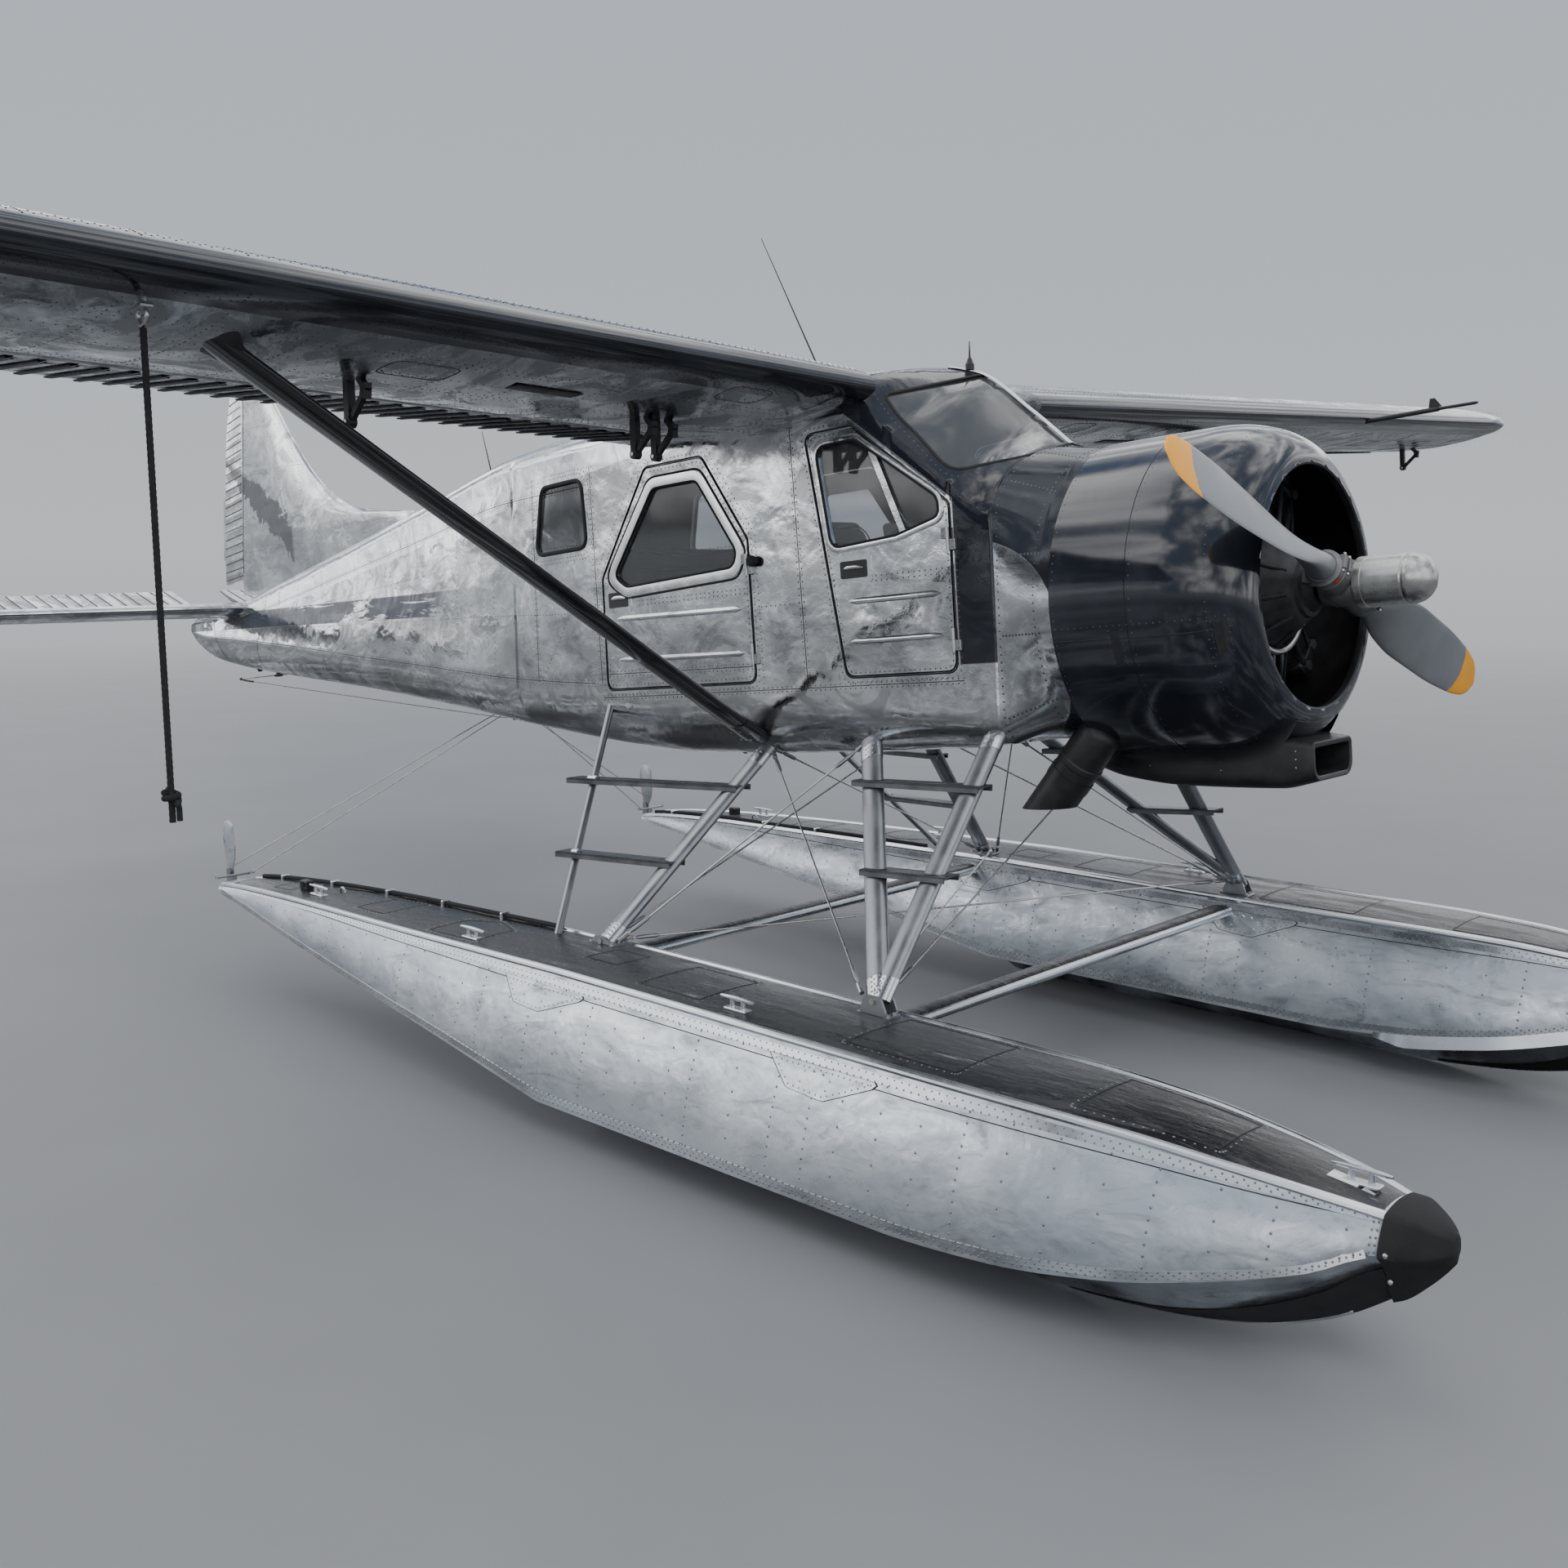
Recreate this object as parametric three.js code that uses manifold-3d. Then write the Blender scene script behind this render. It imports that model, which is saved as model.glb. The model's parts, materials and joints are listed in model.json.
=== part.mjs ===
import * as THREE from 'three';
import { mergeVertices } from 'three/addons/utils/BufferGeometryUtils.js';
import Module from 'manifold-3d';

const wasm = await Module();
wasm.setup();

// Everything is in millimetres.
// The airframe is drawn in its own frame: x forward from the propeller plane, y to port,
// z up from the thrust line, wing chord level. The whole group is then tilted nose up and
// lifted so that the decks of the floats are level and their keels stand on z = 0.

const NOSE_UP = THREE.MathUtils.degToRad(5.5);
const THRUST_LINE_HEIGHT = 2190;
const PROPELLER_PLANE_X = 3897;
const SEAM_GAP = 0.3;
const PANEL_GAP = 6;

// Driving dimensions of the wing
const SPAN = 14630;
const CHORD = 1588;
const WING_LE_X = -1635;
const WING_LE_Z = 907;
const DIHEDRAL = THREE.MathUtils.degToRad(2.45);
const WING_ROOT_Y = 560;
const HINGE_CHORD = 0.68;
const FLAP_START = 700;
const FLAP_END = 3720;
const AILERON_END = 6930;

// Fuselage
const WALL = 30;
const TAIL_WALL = 8;
const FIREWALL_X = -1100;
const FLOOR_Z = -360;

// Power plant
const RING_REAR_X = -850;
const RING_RADIUS = 623;
const RING_OPENING_RADIUS = 449;
const RING_FRONT_X = -100;
const RING_SKIN = 14;
const PROPELLER_RADIUS = 1295;
const BLADE_ANGLE = THREE.MathUtils.degToRad(70.5);

// Floats, in the standing frame with x measured from the propeller plane
const FLOAT_Y = 1512;
const DECK_Z = 660;
const STEP_X = -2350;
const STERN_X = -5420;
const DECK_CROWN = 14;

// Tail
const TAIL_HALF_SPAN = 2415;
const TAIL_LE_X = -7800;
const TAIL_Z = 470;
const ELEVATOR_HINGE_X = -8370;
const ELEVATOR_CHORD = 440;
const ELEVATOR_UP = THREE.MathUtils.degToRad(25);
const RUDDER_FOOT = [-7950, 665];
const RUDDER_HEAD = [-7760, 1950];
const RUDDER_CHORD = 570;
const RUDDER_TURN = THREE.MathUtils.degToRad(12);

const finish = (color, roughness, metalness) => new THREE.MeshStandardMaterial({ color, roughness, metalness });
const BARE = finish(0xb9bdc2, 0.32, 0.9);
const FLOAT_SKIN = finish(0xa9b0b8, 0.5, 0.8);
const DARK_PAINT = finish(0x24282f, 0.25, 0.2);
const BLACK = finish(0x101113, 0.5, 0.1);
const STEEL = finish(0x8a8d90, 0.35, 0.9);
const BLADE_GREY = finish(0x7c8085, 0.5, 0.3);
const RUBBER = finish(0x0d0d0e, 0.9, 0);
const GLASS = finish(0x556066, 0.05, 0);
const SEAT = finish(0x3a3632, 0.8, 0);

const airframe = new THREE.Group();
airframe.rotation.y = -NOSE_UP;
airframe.position.set(PROPELLER_PLANE_X, 0, THRUST_LINE_HEIGHT);
const standing = new THREE.Group();
standing.position.set(PROPELLER_PLANE_X, 0, 0);
const floatplane = new THREE.Group();
floatplane.add(airframe, standing);

// Solids

function volumeOf(positions, index) {
  let sum = 0;
  for (let i = 0; i < index.length; i += 3) {
    const [a, b, c] = [0, 1, 2].map((k) => new THREE.Vector3().fromArray(positions, 3 * index[i + k]));
    sum += a.dot(b.cross(c));
  }
  return sum / 6;
}

function geometryOf(positions, index) {
  if (volumeOf(positions, index) < 0) index = index.reverse();
  const geometry = new THREE.BufferGeometry();
  geometry.setAttribute('position', new THREE.Float32BufferAttribute(positions, 3));
  geometry.setIndex(index);
  return geometry;
}

// A loft through rings of equal point count, closed at both ends by fans from their middles
function loft(rings) {
  const count = rings[0].length;
  const positions = rings.flat().flatMap((p) => [p[0], p[1], p[2]]);
  const index = [];
  for (let r = 0; r + 1 < rings.length; r += 1) {
    for (let i = 0; i < count; i += 1) {
      const a = r * count + i;
      const b = r * count + ((i + 1) % count);
      index.push(a, b, a + count, b, b + count, a + count);
    }
  }
  const cap = (ring, start, flip) => {
    const middle = [0, 1, 2].map((k) => ring.reduce((sum, p) => sum + p[k], 0) / count);
    const hub = positions.length / 3;
    positions.push(...middle);
    for (let i = 0; i < count; i += 1) {
      const a = start + i;
      const b = start + ((i + 1) % count);
      index.push(...(flip ? [b, a, hub] : [a, b, hub]));
    }
  };
  cap(rings[0], 0, true);
  cap(rings[rings.length - 1], (rings.length - 1) * count, false);
  return solid(geometryOf(positions, index));
}

function solid(geometry) {
  const bare = geometry.clone();
  bare.deleteAttribute('normal');
  bare.deleteAttribute('uv');
  const merged = mergeVertices(bare, 1e-3);
  return new wasm.Manifold(new wasm.Mesh({
    numProp: 3,
    vertProperties: new Float32Array(merged.attributes.position.array),
    triVerts: new Uint32Array(merged.index.array),
  }));
}

function toGeometry(manifold) {
  const mesh = manifold.getMesh();
  const geometry = new THREE.BufferGeometry();
  geometry.setAttribute('position', new THREE.BufferAttribute(new Float32Array(mesh.vertProperties), 3));
  geometry.setIndex(new THREE.BufferAttribute(new Uint32Array(mesh.triVerts), 1));
  geometry.computeVertexNormals();
  return geometry;
}

function part(name, manifold, material, group = airframe) {
  const mesh = new THREE.Mesh(toGeometry(manifold), material);
  mesh.name = name;
  group.add(mesh);
  return mesh;
}

function box([x0, x1], [y0, y1], [z0, z1]) {
  const geometry = new THREE.BoxGeometry(Math.abs(x1 - x0), Math.abs(y1 - y0), Math.abs(z1 - z0));
  geometry.translate((x0 + x1) / 2, (y0 + y1) / 2, (z0 + z1) / 2);
  return solid(geometry);
}

// A plate whose outline lies in the x-z plane and whose thickness runs along y
function sidePlate(outline, y0, y1) {
  const ring = (y) => outline.map(([x, z]) => [x, y, z]);
  return flatLoft(ring(y0), ring(y1), outline);
}

// A prism between two equal rings; the outline gives the cap's triangles, so it may be concave
function flatLoft(ringA, ringB, outline) {
  const count = ringA.length;
  const positions = [...ringA, ...ringB].flat();
  const index = [];
  for (let i = 0; i < count; i += 1) {
    const j = (i + 1) % count;
    index.push(i, j, i + count, j, j + count, i + count);
  }
  const faces = THREE.ShapeUtils.triangulateShape(outline.map(([x, z]) => new THREE.Vector2(x, z)), []);
  const turned = THREE.ShapeUtils.area(outline.map(([x, z]) => new THREE.Vector2(x, z))) < 0;
  for (const [a, b, c] of faces) {
    index.push(...(turned ? [a, b, c] : [a, c, b]));
    index.push(...(turned ? [a + count, c + count, b + count] : [a + count, b + count, c + count]));
  }
  return solid(geometryOf(positions, index));
}

function along(a, b, t) {
  return a.map((v, k) => v + (b[k] - v) * t);
}

// A round bar from a to b
function bar(a, b, radius, sides = 12) {
  return streamBar(a, b, radius, radius, sides);
}

// A bar of oval section, its long axis held as near to x as the bar allows
function streamBar(a, b, halfChord, halfThickness, sides = 12) {
  const from = new THREE.Vector3(...a);
  const to = new THREE.Vector3(...b);
  const run = to.clone().sub(from).normalize();
  const lead = new THREE.Vector3(1, 0, 0);
  if (Math.abs(run.x) > 0.95) lead.set(0, 1, 0);
  const chord = lead.sub(run.clone().multiplyScalar(lead.dot(run))).normalize();
  const thick = run.clone().cross(chord);
  const ring = (centre) => Array.from({ length: sides }, (_, i) => {
    const turn = (2 * Math.PI * i) / sides;
    return centre.clone()
      .addScaledVector(chord, halfChord * Math.cos(turn))
      .addScaledVector(thick, halfThickness * Math.sin(turn)).toArray();
  });
  return loft([ring(from), ring(to)]);
}

// A solid of revolution about the thrust line from [x, radius] points
function revolve(profile, segments) {
  const points = profile.map(([x, r]) => new THREE.Vector2(r, x));
  const geometry = new THREE.LatheGeometry(points, segments);
  geometry.rotateZ(-Math.PI / 2);
  return solid(orient(geometry));
}

function orient(geometry) {
  const bare = geometry.clone();
  bare.deleteAttribute('normal');
  bare.deleteAttribute('uv');
  const merged = mergeVertices(bare, 1e-3);
  return geometryOf(Array.from(merged.attributes.position.array), dropFlat(Array.from(merged.index.array)));
}

function dropFlat(index) {
  const kept = [];
  for (let i = 0; i < index.length; i += 3) {
    const [a, b, c] = index.slice(i, i + 3);
    if (a !== b && b !== c && a !== c) kept.push(a, b, c);
  }
  return kept;
}

const join = (...solids) => solids.reduce((sum, next) => sum.add(next));
const mirrored = (points) => points.map(([x, y, z]) => [x, -y, z]);
const onBoard = ([x, y, z], side) => [x, side * y, z];

// Airframe point to the standing frame
function toStanding([x, y, z]) {
  return [
    x * Math.cos(NOSE_UP) - z * Math.sin(NOSE_UP),
    y,
    x * Math.sin(NOSE_UP) + z * Math.cos(NOSE_UP) + THRUST_LINE_HEIGHT,
  ];
}

// Fuselage skin: stations from the firewall to the tail cone's tip
const CABIN_STATIONS = [
  // x, belly z, belly half width, seam z, side half width, shoulder z, shoulder half width, crown z, crown roundness
  [-1100, -520, 500, -410, 620, 330, 600, 645, 1],
  [-1290, -535, 470, -370, 620, 510, 610, 815, 0.15],
  [-1550, -545, 430, -330, 620, 730, 608, 1015, 0.15],
  [-1790, -555, 400, -300, 620, 905, 606, 1075, 0.8],
  [-2400, -560, 360, -275, 620, 935, 606, 1100, 1],
  [-3000, -550, 350, -255, 620, 935, 602, 1110, 1],
  [-3500, -508, 330, -230, 610, 930, 585, 1105, 1],
  [-4200, -420, 290, -180, 560, 925, 490, 1080, 1],
];
const TAIL_STATIONS = [
  [-4200, -420, 290, -180, 560, 925, 490, 1080, 1],
  [-5200, -275, 210, -65, 455, 800, 365, 945, 1],
  [-6200, -145, 150, 55, 350, 660, 260, 800, 1],
  [-7100, -45, 100, 165, 250, 530, 175, 665, 1],
  [-7950, 60, 60, 260, 150, 430, 100, 530, 1],
  [-8450, 150, 35, 310, 90, 405, 60, 480, 1],
  [-8750, 275, 20, 350, 45, 410, 32, 460, 1],
  [-8860, 350, 8, 375, 18, 405, 14, 425, 1],
];

function skinRing([x, belly, bellyHalf, seam, sideHalf, shoulder, shoulderHalf, crown, round], grow = 0) {
  const half = [];
  const corner = 4;
  const roof = 5;
  half.push([0, belly - grow]);
  for (let i = 0; i <= corner; i += 1) {
    const turn = (Math.PI / 2) * (i / corner);
    half.push([
      bellyHalf + (sideHalf + grow - bellyHalf) * Math.sin(turn),
      seam - (seam - belly + grow) * Math.cos(turn),
    ]);
  }
  for (let i = 0; i <= roof; i += 1) {
    const t = i / roof;
    const arcY = Math.cos((Math.PI / 2) * t);
    const arcZ = Math.sin((Math.PI / 2) * t);
    const y = (1 - t) * (1 - round) + arcY * round;
    const z = t * (1 - round) + arcZ * round;
    half.push([(shoulderHalf + grow) * y, shoulder + (crown + grow - shoulder) * z]);
  }
  const last = half.length - 1;
  half[last][0] = 0;
  const right = half.slice(1, last).reverse();
  return [
    ...half.map(([y, z]) => [x, y, z]),
    ...right.map(([y, z]) => [x, -y, z]),
  ];
}

const skin = (stations, grow = 0) => loft(stations.map((s) => skinRing(s, grow)));
const shifted = (stations, from, to) => stations.map((s, i) => {
  if (i === 0) return [s[0] + from, ...s.slice(1)];
  if (i === stations.length - 1) return [s[0] + to, ...s.slice(1)];
  return s;
});

// The same skin run on past both ends, so that it cuts right through
const runOn = (stations, reach) => {
  const first = stations[0];
  const last = stations[stations.length - 1];
  return [[first[0] + reach, ...first.slice(1)], ...stations, [last[0] - reach, ...last.slice(1)]];
};

// Openings in the cabin's sides, as outlines in x and z
const CREW_DOOR = [[-1290, -225], [-1290, 430], [-1760, 790], [-2020, 790], [-1860, -225]];
const CREW_WINDOW = [[-1335, 385], [-1345, 460], [-1745, 735], [-1965, 735], [-1905, 310], [-1560, 330]];
const CABIN_DOOR = [[-2392, -225], [-2392, 400], [-2650, 790], [-3030, 790], [-3390, 310], [-3400, -225]];
const CABIN_WINDOW = [[-2460, 350], [-2690, 690], [-2985, 690], [-3300, 310], [-3210, 255], [-2490, 285]];
const REAR_WINDOW = [[-3500, 500], [-3515, 775], [-3540, 800], [-3860, 800], [-3895, 775], [-3960, 500],
  [-3930, 470], [-3530, 470]];
const WINDSHIELD = [[-1040, 0, 655], [-1330, 575, 545], [-1740, 500, 915], [-1515, 0, 1010]];

function inset(outline, amount) {
  const points = outline.map(([x, z]) => new THREE.Vector2(x, z));
  const sign = THREE.ShapeUtils.area(points) > 0 ? 1 : -1;
  return points.map((p, i) => {
    const before = points[(i + points.length - 1) % points.length];
    const after = points[(i + 1) % points.length];
    const a = p.clone().sub(before).normalize();
    const b = after.clone().sub(p).normalize();
    const normalA = new THREE.Vector2(-a.y, a.x).multiplyScalar(sign);
    const normalB = new THREE.Vector2(-b.y, b.x).multiplyScalar(sign);
    const bisector = normalA.clone().add(normalB).normalize();
    const reach = amount / bisector.dot(normalA);
    return [p.x + bisector.x * reach, p.y + bisector.y * reach];
  });
}

// Door hinges: a knuckle of the shell below and one of the door above it, on one upright axis
const HINGE_AXES = [-1292, -2394];
const HINGE_HEIGHTS = [-100, 290];
const KNUCKLE_Y = 630;
const KNUCKLE_RADIUS = 8;
const KNUCKLE_LENGTH = 45;

function knuckle(x, side, low, towards) {
  const leafX = [x + 1.5 * towards, x + 34 * towards];
  const leaf = box(leafX.sort((a, b) => a - b), [608, KNUCKLE_Y], [low, low + KNUCKLE_LENGTH]);
  const pin = bar([x, KNUCKLE_Y, low], [x, KNUCKLE_Y, low + KNUCKLE_LENGTH], KNUCKLE_RADIUS, 10);
  const whole = join(leaf, pin);
  return side > 0 ? whole : whole.scale([1, -1, 1]);
}

const shellKnuckles = (side) => HINGE_AXES.flatMap((x) => HINGE_HEIGHTS.map((z) =>
  knuckle(x, side, z - KNUCKLE_LENGTH - SEAM_GAP, 1)));
const doorKnuckles = (x, side) => HINGE_HEIGHTS.map((z) => knuckle(x, side, z, -1));

// The windshield's prism: the pane outline of one side, drawn forward and back along x
function windshieldPrism(margin) {
  const half = WINDSHIELD.map(([x, y, z]) => [x, y, z]);
  const foot = half[0][2] + margin;
  const footSide = half[1];
  const headSide = half[2];
  const head = half[3][2] - margin;
  const outline = [
    [0, foot], [footSide[1] - margin, footSide[2] + margin], [headSide[1] - margin, headSide[2] - margin],
    [0, head], [-(headSide[1] - margin), headSide[2] - margin], [-(footSide[1] - margin), footSide[2] + margin],
  ];
  const ring = (x) => outline.map(([y, z]) => [x, y, z]);
  return flatLoft(ring(-1120 - margin), ring(-1900), outline);
}

const outerSkin = skin(CABIN_STATIONS);
const cabinHollow = skin(shifted(CABIN_STATIONS, -WALL, WALL), -WALL)
  .subtract(box([-900, -4400], [-800, 800], [-900, FLOOR_Z]));
const glassBand = skin(runOn(CABIN_STATIONS, 20), -9)
  .subtract(skin(runOn(CABIN_STATIONS, 40), -21));
let grownBody = null;
function roundBody() {
  if (!grownBody) grownBody = skin(runOn(CABIN_STATIONS, 40), SEAM_GAP);
  return grownBody;
}
const wallBand = outerSkin.subtract(skin(runOn(CABIN_STATIONS, 40), -WALL));

const SIDES = [['left', 1], ['right', -1]];
const sideRange = (side) => (side > 0 ? [300, 800] : [-800, -300]);
const sidePrism = (outline, side) => sidePlate(outline, ...sideRange(side));

function cabinShell() {
  let shell = outerSkin.subtract(cabinHollow);
  for (const [, side] of SIDES) {
    shell = shell.subtract(sidePrism(CREW_DOOR, side));
    shell = shell.subtract(sidePrism(CABIN_DOOR, side));
    shell = shell.subtract(sidePrism(REAR_WINDOW, side));
    shell = join(shell, ...shellKnuckles(side));
  }
  return shell.subtract(windshieldPrism(0));
}

function doorsAndGlass() {
  for (const [word, side] of SIDES) {
    const doors = [['crew_door', CREW_DOOR, CREW_WINDOW, HINGE_AXES[0]],
      ['cabin_door', CABIN_DOOR, CABIN_WINDOW, HINGE_AXES[1]]];
    for (const [name, outline, window, hingeX] of doors) {
      const panel = wallBand.intersect(sidePrism(inset(outline, PANEL_GAP), side));
      const door = join(panel.subtract(sidePrism(window, side)), ...doorKnuckles(hingeX, side));
      part(`${name}_${word}`, door, BARE);
      part(`${name}_glass_${word}`, glassBand.intersect(sidePrism(inset(window, SEAM_GAP), side)), GLASS);
    }
    const rear = glassBand.intersect(sidePrism(inset(REAR_WINDOW, SEAM_GAP), side));
    part(`rear_window_${word}`, rear, GLASS);
  }
  part('windshield', glassBand.intersect(windshieldPrism(SEAM_GAP)), GLASS);
}

// Wing section: chord fraction, upper and lower height as fractions of the chord
const AIRFOIL = [
  [0, 0, 0],
  [0.0125, 0.025, -0.016],
  [0.05, 0.048, -0.031],
  [0.1, 0.067, -0.04],
  [0.2, 0.094, -0.054],
  [0.35, 0.115, -0.063],
  [0.5, 0.112, -0.058],
  [0.65, 0.088, -0.042],
  [1, 0.002, -0.002],
];

function heights(fraction) {
  const after = AIRFOIL.findIndex(([f]) => f >= fraction);
  if (after <= 0) return [0, 0];
  const [f0, u0, l0] = AIRFOIL[after - 1];
  const [f1, u1, l1] = AIRFOIL[after];
  const t = (fraction - f0) / (f1 - f0);
  return [u0 + (u1 - u0) * t, l0 + (l1 - l0) * t];
}

// A ring of the wing's section at span station s, from the leading edge to the fraction cut
function wingRing(s, lead, chord, cut, thin = 1) {
  const rows = AIRFOIL.filter(([f]) => f < cut).map(([f, u, l]) => [f, u, l]);
  rows.push([cut, ...heights(cut)]);
  const point = (f, h) => [-lead - f * chord, s, h * chord * thin];
  const upper = rows.map(([f, u]) => point(f, u));
  const lower = rows.slice(1).map(([f, , l]) => point(f, l)).reverse();
  return [...upper, ...lower];
}

// Where the hinge line of flap or aileron lies in the wing's section
const [HINGE_UPPER, HINGE_LOWER] = heights(HINGE_CHORD).map((h) => h * CHORD);
const NOSE_RADIUS = (HINGE_UPPER - HINGE_LOWER) / 2;
const HINGE_HEIGHT = (HINGE_UPPER + HINGE_LOWER) / 2;
const FIXED_DEPTH = HINGE_CHORD * CHORD - NOSE_RADIUS - 12;

const WING_STATIONS = [
  // span station, leading edge set back
  [WING_ROOT_Y, 0],
  [6300, 0],
  [6700, 50],
  [AILERON_END + 20, 175],
];
const WING_TIP = [
  // span station, leading edge set back, trailing edge drawn in, thickness share
  [AILERON_END + 10, 172, 0, 1],
  [7060, 265, 25, 0.95],
  [7180, 395, 110, 0.82],
  [7270, 560, 240, 0.6],
  [SPAN / 2, 760, 420, 0.3],
];

function onSide(rings, side) {
  return rings.map((ring) => (side > 0 ? ring : mirrored(ring)));
}

// From a wing's own frame, with its leading edge at the origin, to the airframe's
function placeWing(manifold, side) {
  const matrix = new THREE.Matrix4().makeTranslation(WING_LE_X, 0, WING_LE_Z)
    .multiply(new THREE.Matrix4().makeRotationX(side * DIHEDRAL));
  return solid(toGeometry(manifold).applyMatrix4(matrix));
}

function wingPanel(side) {
  const inner = loft(onSide(WING_STATIONS.map(([s, lead]) =>
    wingRing(s, lead, CHORD - lead, (FIXED_DEPTH - lead) / (CHORD - lead))), side));
  const root = loft(onSide([WING_ROOT_Y, FLAP_START - PANEL_GAP].map((s) => wingRing(s, 0, CHORD, 1)), side));
  const tip = loft(onSide(WING_TIP.map(([s, lead, drawn, thin]) =>
    wingRing(s, lead, CHORD - lead - drawn, 1, thin)), side));
  return join(inner, root, tip);
}

const HINGE_TABS = [1260, 2570, 4590, 6440];
const HINGE_TAB_HALF = [15, 8];

// Small tabs of the fixed structure that carry the hinge of flap or aileron
function wingHingeTabs(side) {
  const [halfWidth, halfHeight] = HINGE_TAB_HALF;
  const ahead = -(HINGE_CHORD * CHORD - NOSE_RADIUS) + SEAM_GAP;
  return HINGE_TABS.map((s) => box([ahead, ahead + 40], [side * s - halfWidth, side * s + halfWidth],
    [HINGE_HEIGHT - halfHeight, HINGE_HEIGHT + halfHeight]));
}

function flapRing(s) {
  const nose = [];
  for (let i = 0; i <= 4; i += 1) {
    const turn = Math.PI / 2 - (Math.PI * i) / 4;
    nose.push([-HINGE_CHORD * CHORD + NOSE_RADIUS * Math.cos(turn), s, HINGE_HEIGHT + NOSE_RADIUS * Math.sin(turn)]);
  }
  return [...nose, [-CHORD, s, -2], [-CHORD, s, 3]];
}

function flapBody(side, from, to) {
  return loft(onSide([flapRing(from), flapRing(to)], side));
}

function wings() {
  for (const [word, side] of SIDES) {
    const panel = placeWing(join(wingPanel(side), ...wingHingeTabs(side), ...wingFittings(side)), side);
    part(`wing_${word}`, panel.subtract(roundBody()), BARE);
    part(`flap_${word}`, placeWing(flapBody(side, FLAP_START, FLAP_END), side), BARE);
    part(`aileron_${word}`, placeWing(flapBody(side, FLAP_END + 15, AILERON_END - 15), side), BARE);
  }
}

// Hinge brackets under the wing, and the pitot mast or the tie-down ring
const BRACKET_STATIONS = [1150, 1260, 2590, 4590, 6440];
const BRACKET = [
  // distance behind the leading edge, height
  [540, -82],
  [650, -232],
  [680, -232],
  [745, -82],
  [710, -82],
  [664, -200],
  [575, -82],
];
const PITOT_STATION = 4200;
const RING_RADII = [26, 7];
// Tie-down ring: distance behind the leading edge, span station, height in the wing's frame
const TIE_RING = [245, 3469, heights(245 / CHORD)[1] * CHORD - RING_RADII[0] + 3];

function wingFittings(side) {
  const outline = BRACKET.map(([behind, height]) => [-behind, height]);
  const fittings = BRACKET_STATIONS.map((s) => sidePlate(outline, side * (s - 6), side * (s + 6)));
  if (side > 0) {
    const mast = bar([-60, PITOT_STATION, -20], [420, PITOT_STATION, -12], 14, 8);
    const tube = bar([400, PITOT_STATION, -12], [650, PITOT_STATION, -10], 10, 8);
    fittings.push(mast, tube);
  } else {
    const ring = new THREE.TorusGeometry(...RING_RADII, 6, 12);
    ring.rotateY(Math.PI / 2);
    ring.translate(-TIE_RING[0], -TIE_RING[1], TIE_RING[2]);
    fittings.push(solid(orient(ring)));
  }
  return fittings;
}

const ROPE_LENGTH = 1400;
const ROPE_RADIUS = 10;

function ringFoot() {
  const [behind, station, height] = TIE_RING;
  const low = height - RING_RADII[0] - RING_RADII[1];
  const y = -station * Math.cos(DIHEDRAL) + low * Math.sin(DIHEDRAL);
  const z = station * Math.sin(DIHEDRAL) + low * Math.cos(DIHEDRAL);
  return toStanding([WING_LE_X - behind, y, WING_LE_Z + z]);
}

// The rope hangs straight down from the ring and ends in a knot
function tieRope() {
  const [x, y, z] = ringFoot();
  const top = z - SEAM_GAP;
  const route = new THREE.LineCurve3(new THREE.Vector3(x, y, top), new THREE.Vector3(x, y, top - ROPE_LENGTH));
  const outline = new THREE.Shape();
  outline.absarc(0, 0, ROPE_RADIUS, 0, 2 * Math.PI, false);
  return solid(orient(new THREE.ExtrudeGeometry(outline, { steps: 24, extrudePath: route, curveSegments: 5 })));
}

// Wing struts, from the cabin's lower corner to the wing's lower face
const STRUT_FOOT = [-2475, 560, -474];
const STRUT_HEAD = [-2090, 3210, 985];
function wingStruts() {
  for (const [word, side] of SIDES) {
    const foot = onBoard(STRUT_FOOT, side);
    const head = onBoard(STRUT_HEAD, side);
    const lowered = placeWing(wingPanel(side), side).translate([0, 0, -SEAM_GAP]);
    const strut = streamBar(foot, head, 75, 30, 12).subtract(roundBody()).subtract(lowered);
    part(`wing_strut_${word}`, strut, DARK_PAINT);
  }
}

// Nose: accessory section between the firewall and the ring cowl
function circleRing(x, radius, grow, count) {
  const ring = [];
  for (let i = 0; i < count; i += 1) {
    const turn = -Math.PI / 2 + (2 * Math.PI * i) / count;
    ring.push([x, (radius + grow) * Math.cos(turn), (radius + grow) * Math.sin(turn)]);
  }
  return ring;
}

const COWL_SEGMENTS = 40;
const COWL_STEPS = 6;
const LIP_REACH = 320;
const NOSE_RING_RADIUS = RING_RADIUS - RING_SKIN - SEAM_GAP;

function noseCowl() {
  const count = skinRing(CABIN_STATIONS[0]).length;
  const rearRing = (grow, x) => skinRing([x, ...CABIN_STATIONS[0].slice(1)], grow);
  const outer = loft([rearRing(0, FIREWALL_X + SEAM_GAP), circleRing(-900, NOSE_RING_RADIUS, 0, count),
    circleRing(-800, NOSE_RING_RADIUS, 0, count)]);
  const inner = loft([rearRing(-16, FIREWALL_X - 50), rearRing(-16, FIREWALL_X),
    circleRing(-900, NOSE_RING_RADIUS, -16, count), circleRing(-700, NOSE_RING_RADIUS, -16, count)]);
  const sleeve = [[RING_REAR_X - 3, NOSE_RING_RADIUS], [-700, NOSE_RING_RADIUS], [-700, 700], [RING_REAR_X - 3, 700]];
  return outer.subtract(inner).subtract(revolve([...sleeve, sleeve[0]], COWL_SEGMENTS));
}

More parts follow.
